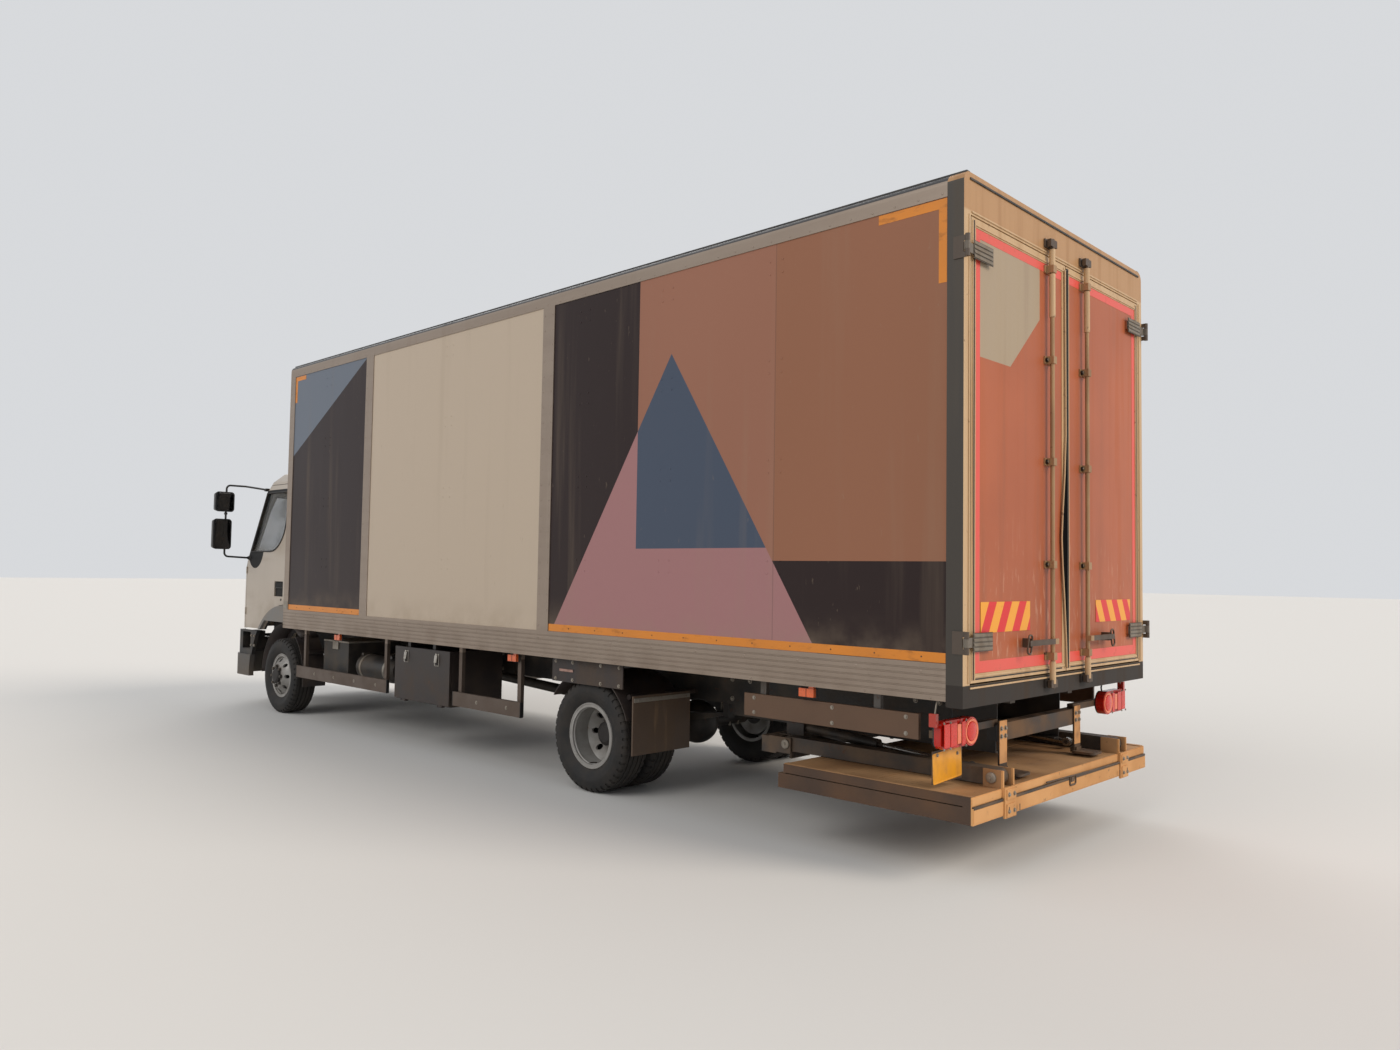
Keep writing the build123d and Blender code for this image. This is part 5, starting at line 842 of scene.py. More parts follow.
# Reflective tape: amber film stuck along the lower edges of the dark panels and round the upper corners.
# It is scuffed and dusty, and the rivets under it show as small dark dots.
TAPE_RUNS = (
    # low corner and high corner along x and z
    ((-4.786, 1.162), (-1.400, 1.216)),
    ((1.548, 1.162), (3.098, 1.216)),
    ((-4.786, 3.606), (-4.350, 3.660)),
    ((-4.786, 3.200), (-4.736, 3.606)),
    ((2.860, 3.614), (3.096, 3.658)),
    ((3.052, 3.380), (3.096, 3.614)),
)
DOT_LINES = ((-4.640, 11), (1.700, 5))


def film(finish, colour, worn, spots, rise, roughness):
    """Reflective film with fine cells in its face, scuffed to its worn colour in places."""
    scuff = finish.noise(*spots).rise(rise[0], rise[1]) * rise[2]
    finish.set("Base Color", scuff.mix(colour, worn))
    finish.set("Roughness", roughness + scuff * 0.6)
    finish.bump(finish.cells(210.0), 0.0003, 0.4)


amber_tape = Finish("amber_tape", rgb(206, 124, 34), 0.42)
tape_colour = (amber_tape.noise(3.0, 5.0).rise(0.35, 0.8) * 0.3).mix(rgb(214, 130, 36), rgb(166, 106, 48))
film(amber_tape, tape_colour, rgb(128, 78, 34), (22.0, 6.0, (0.4, 1, 1), 0.6), (0.55, 0.75, 0.5), 0.35)
tapes = blocks("tape", 0.0004, *(((x0, WALL_FACE - 0.001, z0), (x1, WALL_FACE + 0.0012, z1))
                                 for (x0, z0), (x1, z1) in TAPE_RUNS))
fit("amber_tapes", tapes, amber_tape, "chassis", "lamp_amber", side="both")
dots = [rivets(0.0045, (x, WALL_FACE + 0.001, 1.189), (0.30, 0, 0), count) for x, count in DOT_LINES]
fit("tape_rivets", dots, sealant, "chassis", "black_plastic", side="both")

# Roof and front wall: pale glass fibre sheets, the roof dusty with dark run-off lines along its bows.
# The front wall is bonded to the frame behind the cab, and its lower part is splashed with dirt.
sheet = Finish("pale_sheet", rgb(196, 194, 188), 0.5)
bows = (sheet.x * 1.6).zigzag().rise(0.44, 0.5) * 0.25
sheet_dirt = sheet.noise(1.6, 6.0, (0.6, 1, 1)).rise(0.35, 0.75) * 0.45 + bows
sheet_dirt = sheet_dirt + (1 - sheet.z.rise(1.0, 2.2)) * 0.35
sheet.set("Base Color", sheet_dirt.mix(rgb(202, 200, 194), rgb(134, 122, 106)))
sheet.set("Roughness", 0.45 + sheet_dirt * 0.45)
sheet.bump(sheet.noise(60.0, 3.0) + sheet.noise(2.0, 2.0) * 4.0, 0.002, 0.4)
dress(sheet, "roof", "front_bulkhead")

# Rear frame: a welded steel portal with hinge leaves on its posts, painted cream and browned by weather.
# Its sill is beaten dark by loading, its outer side faces are darkened as painted shade, and a black drip
# rubber lies under the header's top edge.
FRAME_CREAM = rgb(198, 166, 126)


def cream_worn(finish):
    """Cream paint gone tan, with rusty chips and dark runs."""
    runs = finish.noise(9.0, 5.0, (1, 1, 0.06)).rise(0.45, 0.75) * 0.5
    chips = finish.noise(26.0, 6.0, roughness=0.68).rise(0.62, 0.7) * 0.7
    return chips.mix(runs.mix(FRAME_CREAM, rgb(160, 122, 84)), rgb(104, 70, 46)), runs, chips


def strips(name, rear, front, edge, *runs):
    """Flat strips on the truck's rear: where they lie along the truck, then corners along y and z."""
    return blocks(name, edge, *(((rear, y0, z0), (front, y1, z1)) for (y0, z0), (y1, z1) in runs))


frame_paint = Finish("frame_paint", FRAME_CREAM, 0.5)
frame_colour, frame_runs, frame_chips = cream_worn(frame_paint)
off_centre = abs(frame_paint.y)
beside = (off_centre > 1.2485) * (frame_paint.x > REAR_FACE + 0.0005)
header = frame_paint.z.rise(3.572, 3.590)
leaves = (off_centre > 1.2515).most(frame_paint.x < REAR_FACE - 0.002)
sill = 1 - frame_paint.z.rise(1.048, 1.054)
frame_colour = header.mix(frame_colour, frame_runs.mix(rgb(178, 136, 92), rgb(142, 100, 64)))
# Painted shade: the frame's outer side faces (the beside mask) are darkened as if out of the light, with
# their runs.
frame_colour = beside.mix(frame_colour, frame_runs.mix(rgb(57, 51, 44), rgb(78, 68, 56)))
frame_colour = leaves.mix(frame_colour, rgb(78, 66, 56))
frame_colour = sill.mix(frame_colour, frame_runs.mix(rgb(36, 28, 21), rgb(66, 48, 31)))
frame_paint.set("Base Color", frame_colour)
frame_paint.set("Roughness", 0.42 + frame_runs * 0.4 + sill * 0.25)
frame_paint.bump(frame_paint.noise(80.0, 4.0) * 0.5 - frame_chips, 0.0010, 0.6)
dress(frame_paint, "rear_frame")
drip = strips("drip_rubber", REAR_FACE - 0.007, REAR_FACE, 0.002, ((-1.190, 3.748), (1.190, 3.760)))
fit("drip_rubber", drip, sealant, "chassis", "black_plastic")
edge_cream = Finish("edge_cream", FRAME_CREAM, 0.5)
moulding_colour, moulding_runs, moulding_chips = cream_worn(edge_cream)
edge_cream.set("Base Color", moulding_colour)
edge_cream.set("Roughness", 0.42 + moulding_runs * 0.4)
edge_cream.bump(edge_cream.noise(80.0, 4.0) * 0.5 - moulding_chips, 0.0010, 0.6)
frame_lips = strips("frame_lip", REAR_FACE - 0.006, REAR_FACE, 0.002,
                    ((-1.170, 3.572), (1.170, 3.582)), ((-1.180, 1.030), (1.180, 1.040)))
frame_lips += with_twin(block("frame_lip", (REAR_FACE - 0.005, 1.192, 1.060),
                              (REAR_FACE, 1.200, 3.560), 0.002))
fit("frame_lips", frame_lips, edge_cream, "chassis", "galvanised")

# Rear doors: flat terracotta panels in cream edge frames, with black seals all round.
# Wear has scratched the lower third, one pale field of colour fills the left door's upper corner, and the
# inner faces are plain.
PANEL_FACE = -4.887
BORDER_Y = (0.053, 1.124)
BORDER_Z = (1.108, 3.504)
TERRACOTTA = rgb(178, 97, 60)
PALE_CORNER = (0.35, 2.81)
door_paint = Finish("door_paint", TERRACOTTA, 0.4, Coat_Weight=0.06, Coat_Roughness=0.2,
                    Specular_IOR_Level=0.3)
edge_colour, edge_runs, _ = cream_worn(door_paint)
door_out = abs(door_paint.y)
inside = door_out.between(*BORDER_Y) * door_paint.z.between(*BORDER_Z)
door_colour = door_paint.noise(1.1, 4.0).rise(0.3, 0.7).mix(TERRACOTTA, rgb(164, 88, 54))
pale_field = (door_paint.y > PALE_CORNER[0]) * (door_paint.z > PALE_CORNER[1])
pale_field = pale_field * ((door_paint.z - PALE_CORNER[1]) > (0.72 - door_paint.y) * 0.92)
door_colour = pale_field.mix(door_colour, rgb(166, 148, 124))
scratches = door_paint.noise(34.0, 5.0, (1, 1, 0.16), 0.62).rise(0.57, 0.66)
scratches = scratches * (1 - door_paint.z.rise(1.3, 2.1)) * 0.65
door_colour = scratches.mix(door_colour, rgb(196, 150, 126))
panel_runs = door_paint.noise(8.0, 5.0, (1, 1, 0.05)).rise(0.5, 0.8) * 0.3
door_colour = inside.mix(edge_colour, panel_runs.mix(door_colour, rgb(112, 76, 58)))
strap = (door_paint.x < REAR_FACE - 0.005) * (door_out > 0.9)
door_colour = strap.mix(door_colour, edge_runs.mix(rgb(112, 104, 94), rgb(78, 66, 54)))
behind = door_paint.x > PANEL_FACE + 0.008
door_colour = behind.mix(door_colour, edge_runs.mix(rgb(184, 174, 158), rgb(142, 130, 112)))
door_paint.set("Base Color", door_colour)
door_paint.set("Roughness", 0.38 + edge_runs * 0.3 + scratches * 0.3)
door_paint.bump(door_paint.noise(1.4, 2.0) * 6.0 + door_paint.noise(60.0, 3.0) * 0.4, 0.002, 0.35)
dress(door_paint, "rear_door_left", "rear_door_right")

seal_rubber = grimy("seal_rubber", rgb(28, 27, 27), rgb(92, 80, 68), (12.0, 5.0, (1, 1, 0.3)),
                    (0.45, 0.8, 0.4), (0.55, 0.3), (55.0, 3.0, 0.0008, 0.6))
red_tape = Finish("red_tape", rgb(222, 84, 72), 0.38)
red_colour = (red_tape.noise(2.4, 4.0).rise(0.3, 0.8) * 0.3).mix(rgb(226, 82, 70), rgb(204, 104, 82))
film(red_tape, red_colour, rgb(166, 108, 88), (20.0, 6.0, (1, 1, 1), 0.62), (0.58, 0.76, 0.45), 0.33)
hazard = Finish("hazard_board", rgb(210, 30, 30), 0.4)
stripe_run = (abs(hazard.y) * -1 - hazard.z * 0.55) * 5.6
hazard_colour = (stripe_run.fract() < 0.5).mix(rgb(236, 160, 38), rgb(214, 26, 30))
film(hazard, hazard_colour, rgb(158, 96, 66), (24.0, 6.0, (1, 1, 1), 0.62), (0.6, 0.78, 0.35), 0.34)

bar_steel = Finish("bar_steel", rgb(150, 120, 88), 0.42, Metallic=0.4)
bar_dirt = bar_steel.noise(7.0, 5.0, (1, 1, 0.4)).rise(0.35, 0.75) * 0.6
bar_rust = bar_steel.noise(36.0, 6.0, roughness=0.66).rise(0.6, 0.7) * 0.6
bar_ends = (bar_steel.z > 3.555) + (bar_steel.z < 1.065)
bar_dark = bar_ends.most((abs(bar_steel.y) > 0.275) * bar_steel.z.between(1.17, 1.31))
bar_colour = bar_dark.mix(bar_dirt.mix(rgb(170, 136, 98), rgb(112, 82, 56)),
                          bar_dirt.mix(rgb(86, 70, 56), rgb(58, 46, 38)))
bar_steel.set("Base Color", bar_rust.mix(bar_colour, RUST))
bar_steel.set("Roughness", 0.36 + bar_dirt * 0.4)
bar_steel.set("Metallic", 0.35 - bar_dirt * 0.3)
bar_steel.bump(bar_steel.noise(90.0, 4.0) + bar_rust, 0.0007, 0.6)
dress(bar_steel, "door_bars_left", "door_bars_right")
strap_steel = Finish("strap_steel", rgb(124, 116, 104), 0.42, Metallic=0.5)
# Painted shade: all of the strap that lies behind the fronts of its ribs is darkened, so the grooves between
# them read dark.
strap_groove_shade = (strap_steel.x + 4.9105).rise(0.0, 0.002)
strap_dirt = strap_steel.noise(16.0, 5.0).rise(0.35, 0.75) * 0.5
strap_colour = strap_dirt.mix(rgb(132, 122, 108), rgb(96, 78, 60))
strap_steel.set("Base Color", strap_groove_shade.mix(strap_colour, rgb(40, 35, 31)))
strap_steel.set("Roughness", 0.4 + strap_dirt * 0.4)
strap_steel.bump(strap_steel.noise(120.0, 3.0), 0.0006, 0.6)

HAZARD_BOARDS = {"left": ((0.480, 1.320), (1.060, 1.486)), "right": ((0.450, 1.343), (1.020, 1.484))}
BAR_LINE = (-4.920, 0.250, 0)
BAR_GUIDES = ((1.000, 1.130), (3.180, 3.440), (3.490, 3.590))
HINGES_Z = (1.275, 3.370)
GRIP_LOOP = ((0.556, 1.292), (0.600, 1.298), (0.622, 1.196), (0.578, 1.186))
for side in ("left", "right"):
    tapes = strips("tape", PANEL_FACE - 0.0012, PANEL_FACE + 0.0002, 0.0004, ((1.072, 1.110), (1.122, 3.502)),
                   ((0.056, 3.452), (1.072, 3.502)), ((0.056, 1.110), (1.072, 1.172)))
    plate = strips("plate", PANEL_FACE - 0.0026, PANEL_FACE - 0.0004, 0.0008, HAZARD_BOARDS[side])
    mouldings = strips("moulding", REAR_FACE - 0.004, REAR_FACE, 0.0015, ((1.128, 1.075), (1.136, 3.540)),
                       ((1.152, 1.075), (1.158, 3.540)), ((0.020, 1.075), (0.028, 3.540)))
    mouldings += strips("moulding", REAR_FACE - 0.005, REAR_FACE, 0.002,
                        ((0.030, 1.088), (1.130, 1.100)), ((0.030, 3.512), (1.130, 3.522)))
    seals = strips("seal", REAR_FACE + 0.002, REAR_FACE + 0.020, 0.001, ((1.170, 1.062), (1.1772, 3.552)))
    seals += strips("seal", REAR_FACE - 0.003, REAR_FACE, 0.0015, ((1.140, 1.075), (1.148, 3.540)))
    seals += strips("seal", REAR_FACE - 0.003, REAR_FACE, 0.001, ((0.060, 1.076), (1.120, 1.083)))
    sleeves = [ring("sleeve", low, high, 0.0135, 0.018, BAR_LINE, "Z", 20) for low, high in BAR_GUIDES]
    hinge_parts = [bolts(0.010, 0.009, "-X", [(REAR_FACE - 0.010, y, z) for z in (1.700, 2.310, 2.920)
                                              for y in (0.218, 0.282)])]
    for z in HINGES_Z:
        ribs = [((0.968, z + up - 0.008), (1.170, z + up + 0.008)) for up in (-0.036, -0.012, 0.012, 0.036)]
        hinge_parts += strips("strap_rib", -4.9130, -4.9085, 0.002, *ribs)
        hinge_parts += strips("strap_plate", -4.9095, -4.9055, 0.0015,
                              ((0.962, z - 0.050), (1.176, z + 0.050)))
    grip = bent_rod("grip", [(-4.941, y, z) for y, z in GRIP_LOOP], 0.006, 0.018, closed=True)
    for name, pieces, finish, slot in (
        ("red_tape_", tapes, red_tape, "lamp_red"),
        ("hazard_board_", plate, hazard, "lamp_red"),
        ("door_mouldings_", mouldings, edge_cream, "galvanised"),
        ("door_seals_", seals, seal_rubber, "black_plastic"),
        ("bar_sleeves_", sleeves, edge_cream, "galvanised"),
        ("hinge_bolts_", hinge_parts, strap_steel, "galvanised"),
        ("handle_grip_", [grip], bar_steel, "galvanised"),
    ):
        fit(name + side, pieces, finish, "rear_door_" + side, slot, side=side)

# Centre seal: the left door's rubber flap has come loose and bows out, with its bent strip beside it.
# The flap is drawn as wide as the dark gap between the doors, in near-black rubber without sheen, as painted
# shade of that gap.
LOOSE_EDGE = (
    # y, z down the loose edge of the flap
    (0.020, 3.520), (0.016, 2.900), (0.014, 2.500), (0.032, 2.250), (0.062, 2.000), (0.074, 1.860),
    (0.062, 1.700), (0.036, 1.480), (0.014, 1.250), (0.004, 1.080),
)
# Painted shade: this near-black, sheenless rubber stands for the shaded gap between the doors as well as for
# the flap.
rubber_and_gap_shade = Finish("rubber_and_gap_shade", rgb(9, 8, 8), 0.95, Specular_IOR_Level=0.05)
rubber_and_gap_shade.bump(rubber_and_gap_shade.noise(40.0, 3.0), 0.0008, 0.5)
flap_line = [(REAR_FACE - 0.009, y, z) for y, z in LOOSE_EDGE]
flap_line += [(REAR_FACE - 0.009, -0.004, z) for z in (1.080, 1.700, 2.400, 3.520)]
flap = cut_plate("centre_flap", flap_line, (0.006, 0, 0), 0.001)
fit("centre_flap", [flap], rubber_and_gap_shade, "rear_door_left", "black_plastic")
strip = bent_rod("bent_strip", [(REAR_FACE - 0.010, y + 0.006, z) for y, z in LOOSE_EDGE], 0.0055)
fit("bent_strip", [strip], edge_cream, "rear_door_left", "galvanised")
right_flap = strips("right_flap", REAR_FACE - 0.004, REAR_FACE + 0.001, 0.0015,
                    ((-0.036, 1.075), (-0.006, 3.540)))
fit("centre_edge_right", right_flap, seal_rubber, "rear_door_right", "black_plastic")

# Rear lamps: red moulded units with a round reflector at the inner end, on black steel arms.
# A stalk marker stands beside each one, and the lenses are ribbed inside and dusty outside.
LENS_FACE = -4.7695
ROUND_LENS = (0, 0.938, 0.775)
lamp_red = Finish("lamp_red", rgb(196, 24, 22), 0.26, Coat_Weight=0.2, Coat_Roughness=0.1)
lens = lamp_red.x < -4.716
lamp_ribs = (lamp_red.y * 62.0).zigzag()
lamp_film = lamp_red.noise(16.0, 5.0).rise(0.4, 0.8) * 0.35
lamp_colour = lamp_film.mix(lamp_ribs.mix(rgb(176, 14, 8), rgb(216, 36, 18)), rgb(168, 62, 46))
stalk_box = (lamp_red.z > 0.82) * (abs(lamp_red.y) > 1.240)
lamp_colour = stalk_box.mix(lens.mix(rgb(30, 28, 28), lamp_colour), rgb(172, 52, 38))
lamp_red.set("Base Color", lamp_colour)
lamp_red.set("Roughness", 0.2 + lamp_film * 0.9)
lamp_red.bump(lamp_ribs * lens, 0.0010, 0.6)
dress(lamp_red, "rear_lamps")

pale_lens = grimy("lens_pale", rgb(240, 128, 88), rgb(206, 92, 58), (20.0, 5.0), (0.35, 0.8, 0.4), (0.2, 0.6),
                  Coat_Weight=0.2, Coat_Roughness=0.1)
pale_lens.bump((pale_lens.z * 90.0).zigzag(), 0.0008, 0.6)
lens_ring = turned("lens_ring", ((LENS_FACE, 0.070), (LENS_FACE - 0.005, 0.068), (LENS_FACE - 0.006, 0.062),
                                 (LENS_FACE - 0.003, 0.055), (LENS_FACE + 0.001, 0.054), (LENS_FACE, 0.070)),
                   ROUND_LENS, "X", 40)
lens_bar = block("lens_bar", (LENS_FACE - 0.004, 1.052, 0.722), (LENS_FACE + 0.001, 1.092, 0.828))
fit("lamp_white_lenses", [lens_ring, lens_bar], pale_lens, "chassis", "lamp_clear", side="both")

red_lens = Finish("red_lens", rgb(204, 26, 22), 0.24, Coat_Weight=0.25, Coat_Roughness=0.08)
red_film = red_lens.noise(18.0, 5.0).rise(0.4, 0.8) * 0.3
facets = red_lens.cells(130.0)
red_facets = (facets * 0.6).mix(rgb(224, 40, 20), rgb(162, 14, 8))
red_lens.set("Base Color", red_film.mix(red_facets, rgb(176, 64, 44)))
red_lens.set("Roughness", 0.16 + red_film)
red_lens.bump(facets, 0.0012, 0.5)
dome = ((LENS_FACE, 0.054), (LENS_FACE - 0.006, 0.050), (LENS_FACE - 0.010, 0.034), (LENS_FACE - 0.012, 0))
panes = [turned("round_reflector", dome, ROUND_LENS, "X", 40)]
panes += strips("lens_pane", LENS_FACE - 0.005, LENS_FACE + 0.001, 0.004, ((1.006, 0.712), (1.046, 0.838)),
                ((1.098, 0.712), (1.164, 0.838)), ((1.170, 0.712), (1.230, 0.838)))
fit("lamp_red_lenses", panes, red_lens, "chassis", "lamp_red", side="both")
screw_places = [(LENS_FACE - 0.004, y, z) for y in (1.002, 1.167, 1.234) for z in (0.706, 0.844)]
screws = bolts(0.005, 0.004, "-X", screw_places)
fit("lamp_screws", [screws], bright_zinc, "chassis", "galvanised", side="both")

# Lamp cables and marker stalks: black rubber leads run up from each unit to the frame.
# A bright stalk holds the small round marker under the skirt.
lead = bent_rod("lamp_lead", ((-4.716, 1.020, 0.800), (-4.690, 1.010, 0.860), (-4.700, 1.040, 0.935)),
                0.006, 0.02)
fit("lamp_leads", [lead], seal_rubber, "chassis", "black_plastic", side="both")
stalk = bent_rod("marker_stalk", ((-4.730, 1.258, 0.880), (-4.725, 1.236, 0.930), (-4.720, 1.215, 0.962)),
                 0.0045)
fit("marker_stalks", [stalk], bright_zinc, "chassis", "galvanised", side="both")

# Number plate: a pressed yellow plate with a raised rim, left blank, bolted to its bracket a little askew.
# It is dusty and splashed with mud.
PLATE_MIDDLE = Vector((-4.708, 1.088, 0.602))
PLATE_HALF = (0.150, 0.082)
CORNERS = ((-1, -1), (1, -1), (1, 1), (-1, 1))
plate_yellow = grimy("plate_yellow", rgb(230, 160, 40), rgb(158, 108, 52), (14.0, 6.0, (1, 1, 0.5), 0.6),
                     (0.4, 0.78, 0.5), (0.3, 0.6), (40.0, 3.0, 0.0006, 0.5), Coat_Weight=0.2)
plate_line = [PLATE_MIDDLE + Vector((0, a * PLATE_HALF[0], b * PLATE_HALF[1])) for a, b in CORNERS]
plate = cut_plate("number_plate", plate_line, (-0.0018, 0, 0), 0, 0.012)
open_up(plate)
pick(lambda middle, direction: direction.x < -0.9)
bpy.ops.mesh.inset(thickness=0.004)
bpy.ops.mesh.inset(thickness=0.003, depth=-0.0012)
bpy.ops.mesh.select_all(action="SELECT")
bpy.ops.transform.rotate(value=radians(3.0), orient_axis="X", center_override=PLATE_MIDDLE)
fit("number_plate", [close_up()], plate_yellow, "chassis", "lamp_amber")
plate_places = [PLATE_MIDDLE + Vector((-0.001, a * 0.105, 0.058 + a * 0.006)) for a in (-1, 1)]
fit("plate_bolts", [bolts(0.007, 0.006, "-X", plate_places)], bright_zinc, "chassis", "galvanised")

# Tail lift: a black painted carriage and arms with two hydraulic cylinders, in guide rails under the frame.
# The paint is worn to brown steel and dusty, the piston rods are bright, and black oil pipes feed them.
ROD_FROM = -4.020
PIN_Y = 0.872
PIN_Z = 0.525
HEEL_PIN_X = -4.850
BASE_PIN_X = -3.410
lift_paint = road_worn("lift_paint", rgb(52, 46, 42), 0.5, rgb(122, 98, 74), 0.75, 0.6)
dress(lift_paint, "lift_carriage", "lift_arms")
cylinder_steel = Finish("cylinder_steel", rgb(60, 56, 52), 0.4, Metallic=0.4)
rod_part = cylinder_steel.x < ROD_FROM
cylinder_dirt = cylinder_steel.noise(9.0, 5.0).rise(0.35, 0.75) * 0.5
cylinder_colour = rod_part.mix(rgb(58, 54, 50), rgb(186, 182, 176))
cylinder_steel.set("Base Color", cylinder_dirt.mix(cylinder_colour, rgb(112, 94, 76)))
cylinder_steel.set("Metallic", 0.3 + rod_part * 0.6)
cylinder_steel.set("Roughness", 0.42 - rod_part * 0.24 + cylinder_dirt * 0.4)
cylinder_steel.bump(cylinder_steel.noise(120.0, 3.0), 0.0003, 0.5)
dress(cylinder_steel, "lift_cylinders")

pipe_line = ((-3.270, 0.120, 0.572), (-3.270, 0.560, 0.572), (-3.345, 0.590, 0.590), (-3.345, 0.590, 0.640))
pipes = [bent_rod("oil_pipe", pipe_line, 0.006, 0.02)]
pipes += [block("pipe_clip", (-3.284, y - 0.012, 0.559), (-3.256, y + 0.012, 0.581))
          for y in (0.200, 0.380, 0.530)]
pump = [block("pump_box", (-3.330, -0.110, 0.562), (-3.215, 0.110, 0.650), 0.010),
        turned("pump_motor", ((-0.150, 0.0), (-0.150, 0.036), (-0.140, 0.042), (0.060, 0.042), (0.060, 0.0)),
               (-3.270, 0, 0.628), "Y", 28)]
fit("oil_pipes", pipes, seal_rubber, "lift_carriage", "black_plastic", side="both")
fit("pump_unit", pump, cast_iron, "lift_carriage", "cast_metal")
PIN_CAP = ((-0.008, 0.030), (0.002, 0.030), (0.006, 0.024), (0.006, 0.010), (0.012, 0.008), (0.012, 0))
for name, x, body in (("heel_pin_caps", HEEL_PIN_X, "lift_platform"),
                      ("base_pin_caps", BASE_PIN_X, "lift_carriage")):
    pin_cap = turned("pin_cap", PIN_CAP, (x, PIN_Y, PIN_Z), "Y")
    fit(name, [pin_cap], bright_zinc, body, "galvanised", side="both")

# Platform: two folded leaves of ribbed steel, with a lighter top painted as lit, painted shade along their
# sides, and a rear edge worn bright and painted as sunlit.
# Brown road dust lies on the deck; bracket plates, a pull latch and a strap hold the leaves together.
DECK_TOP = 0.474
LEAF_REAR = (-4.920, -4.910)
DECK_HALF = 1.195
BRACKET_Y = 0.800
deck_paint = Finish("deck_paint", rgb(140, 110, 80), 0.7)
deck_dust = deck_paint.noise(2.4, 6.0).rise(0.3, 0.75)
lit_deck_top = deck_paint.z > DECK_TOP - 0.002
shaded_deck_sides = (abs(deck_paint.y) > DECK_HALF - 0.002) * (deck_paint.x > LEAF_REAR[0] + 0.012)
sunlit_deck_rear = deck_paint.x < LEAF_REAR[1] + 0.002
deck_chips = deck_paint.noise(22.0, 6.0, roughness=0.68).rise(0.6, 0.72) * 0.6
deck_colour = deck_dust.mix(rgb(92, 74, 58), rgb(124, 98, 72))
# Painted light and shade: the top is lighter as lit from above, the sides darker as shaded, and the rear edge
# bright as in sunlight, besides the dust on each.
for part, low, high in ((lit_deck_top, rgb(146, 108, 72), rgb(184, 142, 98)),
                        (shaded_deck_sides, rgb(62, 44, 31), rgb(98, 70, 48)),
                        (sunlit_deck_rear, rgb(212, 158, 100), rgb(186, 134, 82))):
    deck_colour = part.mix(deck_colour, deck_dust.mix(low, high))
deck_paint.set("Base Color", deck_chips.mix(deck_colour, rgb(78, 56, 40)))
deck_paint.set("Roughness", 0.55 + deck_dust * 0.35)
deck_ribs = (deck_paint.y * 22.0).zigzag().rise(0.30, 0.42) * lit_deck_top
deck_paint.bump(deck_ribs * 1.5 + deck_paint.noise(90.0, 4.0) * 0.5 - deck_chips * 0.5, 0.0015, 0.6)
dress(deck_paint, "lift_platform")

edges = strips("leaf_edge", LEAF_REAR[1] - 0.004, LEAF_REAR[1] + 0.002, 0.002,
               ((-1.190, 0.428), (1.190, 0.470)))
edges += strips("leaf_edge", LEAF_REAR[0] - 0.003, LEAF_REAR[0] + 0.002, 0.002,
                ((-1.190, 0.336), (1.190, 0.408)))
edges.append(block("deck_seam", (-4.300, -1.148, 0.474), (-4.292, 1.148, 0.476), 0.0008))
left_edges = strips("bracket_pad", -4.938, -4.931, 0.002,
                    ((BRACKET_Y - 0.050, 0.322), (BRACKET_Y + 0.050, 0.392)),
                    ((BRACKET_Y - 0.050, 0.414), (BRACKET_Y + 0.050, 0.470)))
left_edges.append(block("deck_rim", (-4.905, 1.150, 0.474), (-3.664, 1.192, 0.479), 0.002))
edges += with_twin(joined("left_edges", left_edges))
fit("platform_edges", edges, deck_paint, "lift_platform", "deck_paint")

# Painted shade: a strip of dark lift paint fills the gap between the two leaves.
latch = [block("leaf_gap_shade", (-4.9235, -1.188, 0.410), (-4.908, 1.188, 0.424), 0.001),
         bent_rod("tie_strap", ((-4.9270, 0.350, 0.440), (-4.9265, -0.200, 0.428),
                                (-4.9265, -0.738, 0.420)), 0.0045),
         bent_rod("pull_latch", ((-4.926, 0.030, 0.432), (-4.926, 0.030, 0.378), (-4.926, -0.050, 0.378),
                                 (-4.926, -0.050, 0.432)), 0.0055, 0.012),
         block("latch_plate", (-4.928, -0.030, 0.396), (-4.921, 0.010, 0.424), 0.002)]
# Painted shade: dark strips on the bracket pads stand for the shade inside their slots.
slots = [((y * 0.96 - 0.004, 0.340), (y * 0.96 + 0.004, 0.376)) for y in (0.735, 0.865, -0.735, -0.865)]
latch += strips("bracket_slot_shade", -4.9395, -4.937, 0.0008, *slots)
fit("platform_latch", latch, lift_paint, "lift_platform", "chassis_black")
bracket_places = [(-4.937, BRACKET_Y + run, z) for run in (-0.030, 0.030) for z in (0.352, 0.442)]
bracket_bolts = bolts(0.009, 0.008, "-X", bracket_places)
fit("bracket_bolts", [bracket_bolts], bright_zinc, "lift_platform", "galvanised", side="both")

# Under-run beam: a square steel tube, bolted to two steel posts under the frame.
# The posts' rear faces carry a painted sunlit tan, and end caps close the tube.
post_paint = road_worn("post_paint", rgb(46, 37, 30), 0.6, rgb(116, 88, 62), 0.9, 0.5)
# Painted light: the rear faces are given a sunlit tan over the dark steel paint.
sunlit_post_face = (post_paint.x < -4.7385) * (post_paint.z > 0.545)
post_sunlit_tan = post_paint.noise(9.0, 4.0).rise(0.4, 0.8).mix(rgb(204, 148, 92), rgb(150, 106, 68))
post_paint.set("Base Color", sunlit_post_face.mix(post_paint.colour, post_sunlit_tan))
dress(post_paint, "underrun_beam")
beam_places = [(-4.740, 0.510 + run, z) for run in (-0.025, 0.025) for z in (0.700, 0.745)]
beam_bolts = bolts(0.010, 0.009, "-X", beam_places)
fit("underrun_bolts", [beam_bolts], bright_zinc, "chassis", "galvanised", side="both")
beam_cap = block("beam_cap", (-4.726, 0.552, 0.672), (-4.660, 0.562, 0.768), 0.004)
fit("beam_caps", [beam_cap], seal_rubber, "chassis", "black_plastic", side="both")

